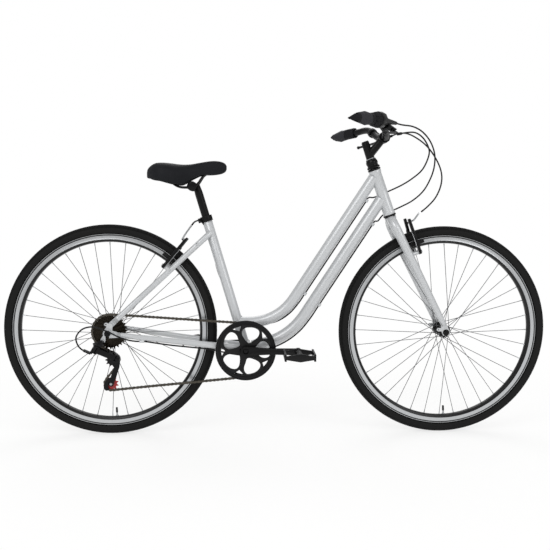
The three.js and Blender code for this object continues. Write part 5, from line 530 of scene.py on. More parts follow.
def bevelled(piece, width, angle, segments=2):
    """Rounds the edges that turn by more than an angle."""
    bevel = piece.modifiers.new("edge", "BEVEL")
    bevel.width = width * MM
    bevel.segments = segments
    bevel.limit_method = "ANGLE"
    bevel.angle_limit = math.radians(angle)
    apply_modifiers(piece)


def smoothed(piece, passes, factor):
    """Evens out a piece's skin."""
    smooth = piece.modifiers.new("smooth", "SMOOTH")
    smooth.iterations = passes
    smooth.factor = factor
    apply_modifiers(piece)


def dress(piece, look):
    """Gives the whole piece one finish."""
    piece.data.materials.clear()
    piece.data.materials.append(finish(look))
    return piece


def painted(piece, look, test):
    """Gives the faces whose middle passes a test another finish."""
    piece.data.materials.append(finish(look))
    slot = len(piece.data.materials) - 1
    for face in piece.data.polygons:
        if test(face.center / MM):
            face.material_index = slot


def body_of_node(node):
    """The body that carries a CAD node."""
    for name, nodes in frame["record"]["behaviour"]["bodies"].items():
        if node in nodes:
            return name
    raise RuntimeError("no body has " + node)


def slot_of(node):
    """The record's material slot of a CAD node."""
    for row in frame["record"]["subparts"]:
        if row["node"] == node:
            return row["material_slot"]
    raise RuntimeError("no slot for " + node)


def complete(node, parts, look, angle, bent=None):
    """Joins the parts that stand for a CAD node, the bare ones in this finish, and mounts the piece.

    The piece rides on its body, or, given two places, stays where it is on no body.
    """
    for part in parts:
        if not part.data.materials:
            dress(part, look)
    piece = joined(node, parts)
    fixed_place(piece)
    bpy.ops.object.shade_smooth_by_angle(angle=math.radians(angle), keep_sharp_edges=False)
    if bent:
        first, last = (tuple(place * MM) for place in bent)
        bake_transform(piece)
        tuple(first)
        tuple(last)
    else:
        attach(piece, body_of_node(node))
    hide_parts(node)
    slot_of(node)
    return piece


def edited(piece, *steps):
    """Runs mesh operators on the whole of a piece."""
    pick(piece)
    bpy.ops.object.mode_set(mode="EDIT")
    bpy.ops.mesh.select_all(action="SELECT")
    for step, settings in steps:
        step(**settings)
    bpy.ops.mesh.select_all(action="DESELECT")
    bpy.ops.object.mode_set(mode="OBJECT")
    return piece


def tidy_mesh(piece):
    """Merges doubles and turns all faces outwards."""
    return edited(
        piece,
        (bpy.ops.mesh.remove_doubles, {"threshold": MERGE_DISTANCE}),
        (bpy.ops.mesh.dissolve_degenerate, {"threshold": MERGE_DISTANCE}),
        (bpy.ops.mesh.normals_make_consistent, {"inside": False}),
    )


def curve_mesh(loops, cyclic, radii=None, **settings):
    """A mesh from straight-sided curves with these settings."""
    deselect()
    bpy.ops.curve.primitive_bezier_curve_add(location=(0, 0, 0))
    curve = bpy.context.active_object
    curve.data.splines.clear()
    for key, value in settings.items():
        setattr(curve.data, key, value)
    for loop in loops:
        spline = curve.data.splines.new("POLY")
        spline.points.add(len(loop) - 1)
        spline.use_cyclic_u = cyclic
        for i, (dot, place) in enumerate(zip(spline.points, loop)):
            dot.co = (*(Vector(place) * MM), 1)
            dot.radius = radii[i] if radii else 1
    pick(curve)
    bpy.ops.object.convert(target="MESH")
    return bpy.context.active_object


def pipe(points, radii, fine):
    """A round tube along points, with one radius or a radius for each."""
    if not isinstance(radii, list):
        radii = [radii] * len(points)
    return tidy_mesh(curve_mesh(
        [points], False, radii, dimensions="3D", twist_mode="MINIMUM", bevel_depth=MM, bevel_resolution=fine,
        use_fill_caps=True,
    ))


def square_to(axis):
    """A direction square to an axis."""
    wanted = FORWARD if abs(axis.y) > 0.9 else LEFT
    return (wanted - axis * wanted.dot(axis)).normalized()


def both_ways(half):
    """A profile of radius and distance, the same on both sides of its origin."""
    return [(radius, -along) for radius, along in half] + list(reversed(half))


def turned(profile, origin, axis, steps=64):
    """A turned piece: a profile of radius and distance along the axis, spun full circle."""
    axis = axis.normalized()
    out = square_to(axis)
    deselect()
    bpy.ops.mesh.primitive_circle_add(vertices=len(profile), radius=1, location=(0, 0, 0))
    piece = bpy.context.active_object
    for vertex, (radius, along) in zip(piece.data.vertices, profile):
        vertex.co = (origin + out * radius + axis * along) * MM
    edited(piece, (bpy.ops.mesh.spin, {
        "steps": steps, "angle": FULL_TURN, "use_auto_merge": True, "center": origin * MM, "axis": axis,
    }))
    return tidy_mesh(piece)


def rod(start, end, radius, end_radius=None, steps=24, rim=0.4):
    """A solid bar with softened ends."""
    far = (end - start).length
    last = radius if end_radius is None else end_radius
    rim = min(rim, radius / 3, last / 3, far / 3)
    profile = [(0, 0), (radius - rim, 0), (radius, rim), (last, far - rim), (last - rim, far), (0, far)]
    return turned(profile, start, end - start, steps)


def hexagon(base, axis, radius, height):
    """A hexagon bolt head or nut with chamfered edges."""
    deselect()
    bpy.ops.mesh.primitive_cylinder_add(vertices=6, radius=radius * MM, depth=height * MM)
    piece = bpy.context.active_object
    bevelled(piece, 0.12 * radius, 30, 1)
    axis = axis.normalized()
    turn = UP.rotation_difference(axis).to_matrix().to_4x4()
    piece.matrix_world = Matrix.Translation((base + axis * height / 2) * MM) @ turn
    fixed_place(piece)
    return piece


def add_loft(verts, faces, rings):
    """Adds a skin over rings of equal count, in millimetres, with its ends filled."""
    base = len(verts)
    count = len(rings[0])
    last = base + (len(rings) - 1) * count
    verts.extend(tuple(Vector(p) * MM) for ring in rings for p in ring)
    for near in range(base, last, count):
        for k in range(count):
            m = (k + 1) % count
            faces.append((near + k, near + m, near + count + m, near + count + k))
    faces.append(tuple(base + k for k in reversed(range(count))))
    faces.append(tuple(last + k for k in range(count)))


def mesh_object(name, verts, faces):
    """An object with a mesh of its own."""
    mesh = bpy.data.meshes.new(name)
    mesh.from_pydata(verts, [], faces)
    piece = bpy.data.objects.new(name, mesh)
    bpy.context.scene.collection.objects.link(piece)
    return piece


def lofted(rings):
    """One solid over rings of equal count."""
    verts, faces = [], []
    add_loft(verts, faces, rings)
    return tidy_mesh(mesh_object("loft", verts, faces))


def swept_oval(points, halves, count=28):
    """A tube of oval section: half its depth to the left and half its height square to that."""
    rings = []
    for i, point in enumerate(points):
        before = points[max(i - 1, 0)]
        after = points[min(i + 1, len(points) - 1)]
        tangent = (after - before).normalized()
        first = (LEFT - tangent * LEFT.dot(tangent)).normalized()
        second = tangent.cross(first)
        wide, deep = halves[i]
        angles = [FULL_TURN * k / count for k in range(count)]
        rings.append([point + first * wide * math.cos(a) + second * deep * math.sin(a) for a in angles])
    return lofted(rings)


def bend(start, corner, end, reach, steps=20):
    """A straight, a smooth bend that starts a reach before the corner, and another straight."""
    into = corner.lerp(start, reach / (start - corner).length)
    out = corner.lerp(end, reach / (end - corner).length)
    curve = []
    for i in range(steps + 1):
        t = i / steps
        curve.append(into * (1 - t) ** 2 + corner * 2 * t * (1 - t) + out * t * t)
    return [start, *curve, end]


def shortened(points, at_start, at_end):
    """A course with so many millimetres off its first and last straights."""
    first = points[0].lerp(points[1], at_start / (points[1] - points[0]).length)
    last = points[-1].lerp(points[-2], at_end / (points[-1] - points[-2]).length)
    return [first, *points[1:-1], last]


def catmull_place(p0, p1, p2, p3, share):
    """A place on a centripetal Catmull-Rom curve, a share of the way from p1 to p2."""
    knots = [0.0]
    for a, b in ((p0, p1), (p1, p2), (p2, p3)):
        knots.append(knots[-1] + max((b - a).length, 0.0001) ** 0.5)
    t = knots[1] + (knots[2] - knots[1]) * share
    a1 = p0.lerp(p1, (t - knots[0]) / (knots[1] - knots[0]))
    a2 = p1.lerp(p2, (t - knots[1]) / (knots[2] - knots[1]))
    a3 = p2.lerp(p3, (t - knots[2]) / (knots[3] - knots[2]))
    b1 = a1.lerp(a2, (t - knots[0]) / (knots[2] - knots[0]))
    b2 = a2.lerp(a3, (t - knots[1]) / (knots[3] - knots[1]))
    return b1.lerp(b2, (t - knots[1]) / (knots[2] - knots[1]))


def smooth_course(route, per=6):
    """A smooth course through a route's places, each stretch in so many steps."""
    spots = [Vector(p) for p in route]
    ends = [spots[0] * 2 - spots[1], *spots, spots[-1] * 2 - spots[-2]]
    starts = range(len(spots) - 1)
    course = [catmull_place(*ends[i:i + 4], part / per) for i in starts for part in range(per)]
    return [*course, spots[-1]]


def smooth_loop(points, per=4):
    """A closed smooth outline through flat points."""
    spots = [(x, y, 0) for x, y in points]
    course = smooth_course([spots[-1], *spots, spots[0], spots[1]], per)
    return [(p.x, p.y) for p in course[per:per * (len(points) + 1)]]


def node_copy(node):
    """A merged copy of a CAD node's mesh, bare and with its flat faces whole."""
    pick(frame["nodes"][node])
    bpy.ops.object.duplicate()
    piece = bpy.context.active_object
    piece.parent = None
    piece.matrix_world = Matrix.Identity(4)
    piece.data.materials.clear()
    tidy_mesh(piece)
    return edited(piece, (bpy.ops.mesh.dissolve_limited, {"angle_limit": FLAT_ANGLE}))


def softened(node, look, angle, edge, extra=()):
    """A CAD node's form with rounded edges and smooth facets, and more pieces joined to it."""
    piece = node_copy(node)
    bevelled(piece, edge * bpy.context.scene.bike_sizes.edge / EDGE, angle)
    return complete(node, [piece, *extra], look, angle)


def flat_plate(outline, holes, near_y, far_y, edge=0.4):
    """An upright plate with holes: outlines in x and z, pressed out between two depths."""
    piece = curve_mesh(
        [[(x, z, 0) for x, z in loop] for loop in (outline, *holes)], True, dimensions="2D", fill_mode="BOTH",
        extrude=abs(far_y - near_y) / 2 * MM,
    )
    piece.location = (0, (near_y + far_y) / 2 * MM, 0)
    piece.rotation_euler = (math.pi / 2, 0, 0)
    fixed_place(piece)
    tidy_mesh(piece)
    bevelled(piece, edge, 50)
    return piece


def round_about(centre, radius, degrees):
    """A flat place at a radius and angle from a centre."""
    angle = math.radians(degrees)
    return centre.x + radius * math.cos(angle), centre.z + radius * math.sin(angle)


def ring_of(centre, radius, count=40):
    """A flat circle of points."""
    return [round_about(centre, radius, 360 * k / count) for k in range(count)]


def near_course(course, reach):
    """A test for places within a reach of a course."""
    def test(place):
        for a, b in zip(course, course[1:]):
            along = max(0.0, min(1.0, (place - a).dot(b - a) / max((b - a).length_squared, 0.0001)))
            if (place - a.lerp(b, along)).length <= reach:
                return True
        return False
    return test


def mirror_y(point, sign):
    """A place on the left (1) or right (-1) side."""
    return Vector((point[0], sign * point[1], point[2]))


# Frame

HEAD_PROFILE = ((15.3, 76.5), (19.6, 76.5), (20.2, 75.7), (20.2, 67.5), (19, 65.5))
SHELL_PROFILE = ((17.6, 34), (19.4, 34), (20, 33.4))
GUIDE_PROFILE = ((3.9, 5), (5.6, 5), (6, 4.4))
GUIDE_DROP = 3.7
UPPER_RADIUS = 18.2
UPPER_END_HEIGHT = 375
UPPER_START = steering(139)
UPPER_CORNER = UPPER_START + SLOPE_DOWN * ((UPPER_END_HEIGHT - UPPER_START.z) / SLOPE_DOWN.z)
UPPER_END = seat_axis((UPPER_END_HEIGHT - BRACKET_HEIGHT) / SEAT_UP.z)
LOWER_RADIUS = 19.0
LOWER_CORNER_X = 38
LOWER_START = steering(63.7)
LOWER_CORNER = LOWER_START + SLOPE_DOWN * ((LOWER_CORNER_X - LOWER_START.x) / SLOPE_DOWN.x)
STAY_TIP = REAR_AXLE.lerp(BRACKET, 36 / BRACKET_TO_REAR_AXLE)
CHAINSTAY_SHARES = ((0.0, 25), (0.11, 29.4), (0.22, 33), (0.6, 49.8), (0.985, 67))
SEATSTAY_TOP = seat_axis(400)
SEATSTAY_TIP = REAR_AXLE + Vector((9, 0, 26))
SEATSTAY_SHARES = ((0.0, 12), (0.06, 23), (0.12, 30), (0.25, 33.2), (0.41, 35.5), (0.7, 51.5), (0.93, 64.2))
HANGER_EDGE = (-556, 338)
BOSS_AT = Vector((-267, -34, 638))
BOSS_PROFILE = ((2.6, 4), (2.6, 8.4), (5.2, 8.4), (5.8, 7.8), (5.8, 2), (0, 2), (0, 4))


def sloping_tube(name, course, radius, guide_shares, cuts):
    """One of the two low tubes with its cable guides, given by its start, corner, end and bend."""
    parts = [pipe(shortened(bend(*course), *cuts), radius, 9)]
    below = Vector((-SLOPE_DOWN.z, 0, SLOPE_DOWN.x))
    for share in guide_shares:
        middle = course[0].lerp(course[1], share) + below * (radius + GUIDE_DROP)
        parts.append(turned(both_ways(GUIDE_PROFILE), middle, SLOPE_DOWN, 20))
    complete(name, parts, "silver", 40)


def stay(start, tip, stations, size, sign):
    """A tapering oval tube through shares of the way from start to tip, each with its depth."""
    course = smooth_course([mirror_y(start.lerp(tip, share) + LEFT * y, sign) for share, y in stations])
    last = len(course) - 1
    return swept_oval(course, [size(i / last) for i in range(last + 1)])


def chainstay_size(share):
    """Half the width and height of a chainstay, which gets lower behind the tyre."""
    low_from = 0.3
    return 8.8, 11.2 - 2.9 * max(0, (share - low_from) / (1 - low_from))


def seatstay_size(share):
    """Half the width and height of a seatstay, which gets thinner downwards."""
    thin_from = 0.45
    return 9.7 - 3.4 * max(0, (share - thin_from) / (1 - thin_from)), 9.7 - 1.2 * share


def weld_ring(centre, axis, radius, bead):
    """A raised bead of weld round a tube."""
    angles = [FULL_TURN * i / 8 for i in range(8)]
    return turned([(radius + bead * math.cos(a), bead * math.sin(a)) for a in angles], centre, axis, 40)


class BIKE_OT_frame(bpy.types.Operator):
    """The silver frame: tubes, stays and their ends"""

    bl_idname = "bike.frame"
    bl_label = "Frame"

    def execute(self, context):
        top = SEAT_TUBE_LENGTH
        seat = [(14.2, 245), (14.2, top), (15.5, top), (15.9, top - 0.5), (15.9, 21), (14.2, 21)]
        head = turned(both_ways(HEAD_PROFILE), steering(HEAD_LENGTH / 2), STEER_UP)
        complete("head_tube", [head], "silver", 40)
        complete("seat_tube", [turned(seat, BRACKET, SEAT_UP, 56)], "silver", 40)
        shell = turned(both_ways(SHELL_PROFILE), BRACKET, LEFT, 56)
        complete("bottom_bracket_shell", [shell], "silver", 40)
        upper = (UPPER_START, UPPER_CORNER, UPPER_END, 100)
        sloping_tube("upper_tube", upper, UPPER_RADIUS, (0.15, 0.78), (12, 4))
        lower = (LOWER_START, LOWER_CORNER, BRACKET, 95)
        sloping_tube("lower_tube", lower, LOWER_RADIUS, (0.17, 0.74), (12, 22))
        self.stays()
        return {"FINISHED"}

    def stays(self):
        """The chainstays and seatstays, over the plates and bosses of their CAD forms."""
        edge_x, edge_z = HANGER_EDGE
        plates = dress(node_copy("chainstays"), "silver")
        painted(plates, "enamel", lambda place: place.y < 0 and place.x < edge_x and place.z < edge_z)
        rungs = [stay(BRACKET, STAY_TIP, CHAINSTAY_SHARES, chainstay_size, sign) for sign in (-1, 1)]
        complete("chainstays", [plates, *rungs], "silver", 40)
        rungs = [stay(SEATSTAY_TOP, SEATSTAY_TIP, SEATSTAY_SHARES, seatstay_size, sign) for sign in (-1, 1)]
        eye = turned(BOSS_PROFILE, BOSS_AT, -LEFT, 28)
        complete("seatstays", [node_copy("seatstays"), eye, *rungs], "silver", 40)


# Headset and fork

RACE_PROFILE = ((12.9, -15), (18.4, -15), (19.2, -14), (19.2, -9.4), (18.4, -8.6), (12.9, -8.6))
CUP_PROFILE = (
    (13.3, 0), (20.2, 0), (21, 0.8), (21.4, 1.6), (21.4, 4), (20.8, 5), (19.2, 6.4), (18.8, 7.5), (13.3, 7.5),
)
NUT_PROFILE = (
    (12.9, 161.2), (20.8, 161.2), (21.4, 161.8), (21.4, 165), (19, 168), (17.8, 169), (17.8, 174), (19, 175),
    (19.4, 176), (19.4, 183), (18.6, 184.4), (17, 188), (16.6, 191.4), (15.6, 192), (13, 192), (13, 188),
    (12.9, 187),
)
BLADE_RADIUS = 15.2
BLADE_TAPER = 5.4
BLADE_STEPS = 10


class BIKE_OT_fork(bpy.types.Operator):
    """The silver fork and the black headset"""

    bl_idname = "bike.fork"
    bl_label = "Fork and headset"

    def execute(self, context):
        crown = beside(steering(-30, -3), 37)
        tip = FRONT_AXLE + Vector((-8, 52.5, 27))
        bowed = bend(steering(-13), crown, tip, 26, 8)
        parts = [node_copy("fork")]
        for sign in (-1, 1):
            points = [mirror_y(p, sign) for p in bowed]
            end = points.pop()
            points += [points[-1].lerp(end, i / BLADE_STEPS) for i in range(1, BLADE_STEPS + 1)]
            radii = [BLADE_RADIUS] * (len(points) - BLADE_STEPS)
            radii += [BLADE_RADIUS - BLADE_TAPER * i / BLADE_STEPS for i in range(1, BLADE_STEPS + 1)]
            parts.append(pipe(points, radii, 9))
        parts.append(turned(RACE_PROFILE, HEAD_BASE, STEER_UP, 48))
        parts.append(weld_ring(steering(-15.6), STEER_UP, 17.2, 1.8))
        complete("fork", parts, "silver", 40)
        for side, start, out in (("upper", HEAD_LENGTH + 0.3, STEER_UP), ("lower", -0.3, -STEER_UP)):
            complete(side + "_headset_cup", [turned(CUP_PROFILE, steering(start), out, 56)], "enamel", 35)
        complete("headset_locknut", [turned(NUT_PROFILE, HEAD_BASE, STEER_UP, 48)], "enamel", 35)
        return {"FINISHED"}


# Wheels

CASING_CENTRE = 330.0
CASING_RADIUS = 18.3
CASING_SPREAD = math.radians(118)
CASING_STEPS = 24
TREAD_LIFT = 0.7
TREAD_SPREAD = math.radians(64)
TYRE_INSIDE = ((321, 9.8), (309, 9.8), (309, 5), (341, 3), (341, -3), (309, -5), (309, -9.8), (321, -9.8))
RIM_PROFILE = (
    (291.8, 0), (292.2, 5), (294, 8.6), (299.6, 11.6), (300.8, 12), (301.2, 11.8), (312.4, 11.8),
    (312.8, 11.2), (316.4, 11.2), (316.8, 12), (318, 12), (318.3, 11.4), (318, 10.6), (309, 10.3), (308.6, 9),
    (306.6, 0),
)
FLANGE_PROFILE = ((11.4, 3.4), (14, 1.9), (21.6, 1.7), (22.2, 1.1))
VALVE_TURN = FULL_TURN * 0.0081
SPOKE_COUNT = 36
SPOKE_HOLE_RADIUS = 19
SPOKE_END_RADIUS = 290.5
SPOKE_CROSS_TURN = FULL_TURN / 6
WHEELS = {
    "front": {
        "axle": FRONT_AXLE, "flanges": (-29, 29), "ends": (-40, 40), "core": 8.2, "half": 50, "thread": 4.5,
        "cones": (-40, 40), "look": "enamel",
    },
    "rear": {
        "axle": REAR_AXLE, "flanges": (-20, 34), "ends": (-24.6, 57), "core": 9.4, "half": 65, "thread": 5,
        "cones": (-62.5, 57), "look": "anodised",
    },
}
DROPOUT_THICKNESS = 5
AXLE_BEYOND = 11
PLATE_GAP = 0.3
WASHER = 1.8
NUT_RADIUS = 9.0
NUT_HEIGHT = 7.4
CONE_RADIUS = 8.4


def radial(angle, radius):
    """A place round a wheel, from its top."""
    return Vector((radius * math.sin(angle), 0, radius * math.cos(angle)))


def spokes(axle, flanges):
    """Each spoke's hole in its flange, its end at the rim and the way that it leans."""
    per_flange = SPOKE_COUNT // 2
    for f, y in enumerate(flanges):
        for k in range(per_flange):
            way = 1 if k % 2 == 0 else -1
            root = FULL_TURN * (k + f / 2) / per_flange
            start = radial(root, SPOKE_HOLE_RADIUS) + LEFT * (y + way * 2.6)
            end = radial(root + way * SPOKE_CROSS_TURN, SPOKE_END_RADIUS) + LEFT * math.copysign(2.2, y)
            yield axle + start, axle + end, way


class BIKE_OT_wheels(bpy.types.Operator):
    """Tyres, rims, hubs, spokes and axles"""

    bl_idname = "bike.wheels"
    bl_label = "Wheels"

    def execute(self, context):
        for side, sizes in WHEELS.items():
            self.tyre(side, sizes["axle"])
            self.rim(side, sizes["axle"], sizes["flanges"])
            self.hub(side, sizes)
            self.axle(side, sizes)
        return {"FINISHED"}

    def tyre(self, side, axle):
        """A round casing with a raised tread band."""
        outside = []
        for i in range(CASING_STEPS + 1):
            angle = CASING_SPREAD * (2 * i / CASING_STEPS - 1)
            lift = TREAD_LIFT if abs(angle) < TREAD_SPREAD else 0.0
            radius = CASING_CENTRE + (CASING_RADIUS + lift) * math.cos(angle)
            outside.append((radius, (CASING_RADIUS + lift / 2) * math.sin(angle)))
        ring = turned([*outside, *TYRE_INSIDE], axle, LEFT, 128)
        complete(side + "_tyre", [ring], side + "_tyre", 38)

    def rim(self, side, axle, flanges):
        """A box section rim with its hooked flanges, the valve and the spoke nipples."""
        other = [(radius, -y) for radius, y in reversed(RIM_PROFILE[1:-1])]
        ring = turned([*RIM_PROFILE, *other], axle, LEFT, 144)
        towards = radial(math.pi - VALVE_TURN, 1)
        valve = rod(axle + towards * 279, axle + towards * 293, 2.9, steps=16)
        nut = hexagon(axle + towards * 291.5, -towards, 5.4, 2.6)
        cap = dress(rod(axle + towards * 262, axle + towards * 279, 3.3, 3.6, 16, 0.8), "plastic")
        parts = [dress(ring, side + "_rim"), valve, nut, cap]
        for start, end, _ in spokes(axle, flanges):
            way = (start - end).normalized()
            parts.append(rod(end - way * 0.5, end + way * 10, 2.0, 1.6, 8, 0.3))
        complete(side + "_rim", parts, "steel", 32)

    def hub(self, side, sizes):
        """The hub shell between its flanges, and the spokes laced three cross."""
        axle, core = sizes["axle"], sizes["core"]
        right, left = sizes["flanges"]
        near, far = sizes["ends"]
        profile = [(6.8, near), (10.2, near), (10.6, near + 0.6), (10.6, right - 4.2)]
        profile += [(radius, right + y) for radius, y in both_ways(FLANGE_PROFILE)]
        profile += [(core + 1.2, right + 6), (core, right + 12), (core, left - 12), (core + 1.2, left - 6)]
        profile += [(radius, left + y) for radius, y in both_ways(FLANGE_PROFILE)]
        profile += [(10.6, left + 4.2), (10.6, far - 0.6), (10.2, far), (6.8, far)]
        parts = [dress(turned(profile, axle, LEFT, 48), "enamel")]
        radius = bpy.context.scene.bike_sizes.spoke / MM / 2
        for start, end, way in spokes(axle, sizes["flanges"]):
            elbow = start - LEFT * way * 4.4
            course = [elbow, start.lerp(elbow, 0.35), start.lerp(end, 0.012), start.lerp(end, 0.5), end]
            parts.append(dress(pipe(course, radius, 1), "spoke"))
            parts.append(rod(elbow - LEFT * way * 0.4, elbow + LEFT * way * 0.5, 2.0, steps=8, rim=0.3))
        complete(side + "_hub_and_spokes", parts, "steel", 40)

    def axle(self, side, sizes):
        """The threaded axle with its cones, washers and nuts."""
        axle, half, thread = sizes["axle"], sizes["half"], sizes["thread"]
        reach = LEFT * (half + DROPOUT_THICKNESS + AXLE_BEYOND)
        parts = [rod(axle - reach, axle + reach, thread, rim=0.8)]
        washer_profile = both_ways(((thread, WASHER / 2), (10, WASHER / 2), (10.3, WASHER / 2 - 0.4)))
        for sign, cone in zip((-1, 1), sizes["cones"]):
            out = LEFT * sign
            face = axle + out * (half + DROPOUT_THICKNESS + PLATE_GAP)
            parts.append(turned(washer_profile, face + out * WASHER / 2, out, 32))
            parts.append(hexagon(face + out * WASHER, out, NUT_RADIUS, NUT_HEIGHT))
            start, end = abs(cone) + 2 * PLATE_GAP, half - PLATE_GAP
            if end > start + 1:
                parts.append(rod(axle + out * start, axle + out * end, CONE_RADIUS))
        complete(side + "_axle", parts, sizes["look"], 30)


# The chain's path round the largest cog, the chainring, the tension pulley and the guide pulley

COG_TEETH = (28, 24, 22, 20, 18, 16, 14)
RING_TEETH = 44
PULLEY_TEETH = 11
CAGE_PIVOT = REAR_AXLE + Vector((26, SPROCKET_LINE, -86))
GUIDE_ARM = Vector((-18, 0, -8))
PULLEY_SPACING = 79
CAGE_LEAN = 0.06
HALVING_TRIES = 26


def pitch_radius(teeth):
    """How far the chain's pins lie from the middle of a toothed wheel."""
    return CHAIN_PITCH / (2 * math.sin(math.pi / teeth))


def chain_wheels(turn):
    """Centre, radius and way round of each wheel in the chain's order, with the cage turned."""
    swing = Matrix.Rotation(-turn, 3, "Y")
    spacing = Vector((-math.sin(CAGE_LEAN), 0, -math.cos(CAGE_LEAN))) * PULLEY_SPACING
    return (
        (beside(REAR_AXLE, SPROCKET_LINE), pitch_radius(COG_TEETH[0]), 1),
        (beside(BRACKET, CHAINRING_LINE), pitch_radius(RING_TEETH), 1),
        (CAGE_PIVOT + swing @ (GUIDE_ARM + spacing), pitch_radius(PULLEY_TEETH), 1),
        (CAGE_PIVOT + swing @ GUIDE_ARM, pitch_radius(PULLEY_TEETH), -1),
    )


def tangent_run(wheel, following):
    """The ends of the straight run from one wheel to the next."""
    (centre, radius, way), (other, other_radius, other_way) = wheel, following
    gap = other - centre
    heading = math.atan2(gap.z, gap.x) - math.asin((way * radius - other_way * other_radius) / gap.xz.length)
    leftward = Vector((-math.sin(heading), 0, math.cos(heading)))
    return centre + leftward * way * radius, other + leftward * other_way * other_radius


def run_place(start, end, inside):
    """The place so far along a run, eased from one wheel's plane to the next one's."""
    share = inside / (end - start).xz.length
    place = start.lerp(end, share)
    return beside(place, start.y + (end.y - start.y) * share * share * (3 - 2 * share))


def arc_place(centre, radius, way, first, inside):
    """The place so far round a wheel."""
    angle = first - way * inside / radius
    return centre + Vector((math.cos(angle), 0, math.sin(angle))) * radius


def chain_path(turn):
    """The length of the chain's path, and a function for the place at a distance along it."""
    wheels = chain_wheels(turn)
    runs = [tangent_run(wheel, wheels[(i + 1) % len(wheels)]) for i, wheel in enumerate(wheels)]
    parts = []
    for i, (start, end) in enumerate(runs):
        index = (i + 1) % len(wheels)
        centre, radius, way = wheels[index]
        first, last = (math.atan2(p.z - centre.z, p.x - centre.x) for p in (end, runs[index][0]))
        parts.append(((end - start).xz.length, run_place, (start, end)))
        parts.append((((first - last) * way) % FULL_TURN * radius, arc_place, (centre, radius, way, first)))
    total = sum(part[0] for part in parts)

    def place_at(distance):
        inside = distance % total
        for length, place, known in parts:
            if inside <= length:
                break
            inside -= length
        return place(*known, inside)

    return total, place_at


def halved(low, high, beyond):
    """The value between two others at which a test begins to hold."""
    for _ in range(HALVING_TRIES):
        middle = (low + high) / 2
        if beyond(middle):
            high = middle
        else:
            low = middle
    return (low + high) / 2


def walked(place_at, links):
    """Distances along the path, each pin a straight pitch from the last."""
    stops = [0.0]
    for _ in range(links):
        here = place_at(stops[-1])
        low, high = (stops[-1] + CHAIN_PITCH * share for share in (0.99, 1.04))
        stops.append(halved(low, high, lambda stop: (place_at(stop) - here).length >= CHAIN_PITCH))
    return stops


def closed_chain():
    """The cage's turn at which an even number of links closes the chain, and the places of its pins."""
    links = 2 * round(chain_path(0)[0] / (2 * CHAIN_PITCH))

    def spare(turn):
        total, place_at = chain_path(turn)
        return walked(place_at, links)[-1] - total

    reach = math.pi / 6
    rising = spare(reach) > spare(-reach)
    turn = halved(-reach, reach, lambda angle: (spare(angle) > 0) == rising)
    place_at = chain_path(turn)[1]
    return turn, [place_at(stop) for stop in walked(place_at, links)[:-1]]


CAGE_TURN, CHAIN_PINS = closed_chain()
TENSION, GUIDE = (wheel[0] for wheel in chain_wheels(CAGE_TURN)[2:])


# Drivetrain

COG_STEP = 5
COG_PIN = 111
RING_PIN = 45
RING_HALF = 1.3
RING_BORE = 80.5
ARMS = 5
ARM_ANGLE = 39
STUD_RADIUS = 83
STUD_TURN = 17
GUARD_RADIUS = 98.6
GUARD_BORE = 9.2
GUARD_DEPTHS = (-55.2, -51.5)
WINDOW_OUTLINE = (
    (26, -7), (42, -22), (57, -26.5), (69, -24), (78, -18), (80, -8), (77, 10), (71, 21), (64, 26),
    (51.5, 27),
)
NOTCH_OUTLINE = ((83.5, 12), (67.8, -3), (85, -11.5))
# The guard's raised rim, its inner ring and its boss
GUARD_PROFILES = (
    ((94.8, -55), (96, -57), (97.6, -57.6), (98.9, -56.6), (99, -52), (98, -51.5), (94.8, -51.5)),
    ((85.6, -55), (86.6, -56.4), (88, -56.6), (89.2, -55), (89.2, -53), (85.6, -53)),
    ((9.2, -54.8), (23.6, -54.8), (24.6, -55.4), (24.6, -53), (9.2, -53)),
)
GUARD_STEPS = (120, 120, 60)
FREEWHEEL_PROFILE = (
    (9.6, -25.5), (21.4, -25.5), (22, -26.1), (22, -60.8), (21, -61.4), (18, -61.6), (17.6, -62.1),
    (12, -62.1), (11.6, -61.5), (9.6, -61.5),
)
GAP_SHARES = ((-0.25, -3.2), (-0.15, -4.2), (0, -4.5), (0.15, -4.2), (0.25, -3.2))
LINK_PLATE = 0.9
LINK_HALF_HEIGHT = 4.1
LINK_WAIST = 2.9
INNER_PLATE_Y = 1.9
OUTER_PLATE_Y = 2.9
ROLLER = (3.4, 1.8)
PIN = (1.8, 4.4)


def toothed(centre, teeth, pin, reach=2.5):
    """The outline of a toothed wheel whose gaps hold the chain's pins."""
    gap = math.degrees(math.atan2(pin.z - centre.z, pin.x - centre.x))
    shape = (*GAP_SHARES, (0.36, 0.2), (0.46, reach), (0.54, reach), (0.64, 0.2))
    return [
        round_about(centre, pitch_radius(teeth) + rise, gap + 360 * (k + share) / teeth)
        for k in range(teeth) for share, rise in shape
    ]


def link_plate(first, second, y, sign):
    """A chain side plate with round ends and a waist, between two pins."""
    along = (second - first).normalized()
    rise = Vector((-along.z, 0, along.x)).normalized()
    pitch = (second - first).length
    outline = []
    for middle, begins, waist in ((pitch, -90, LINK_WAIST), (0, 90, -LINK_WAIST)):
        for angle in (math.radians(begins + 30 * i) for i in range(7)):
            outline.append((middle + LINK_HALF_HEIGHT * math.cos(angle), LINK_HALF_HEIGHT * math.sin(angle)))
        outline.append((pitch / 2, waist))
    return [
        [first + along * u + rise * w + LEFT * sign * depth for u, w in outline]
        for depth in (y, y + LINK_PLATE)
    ]


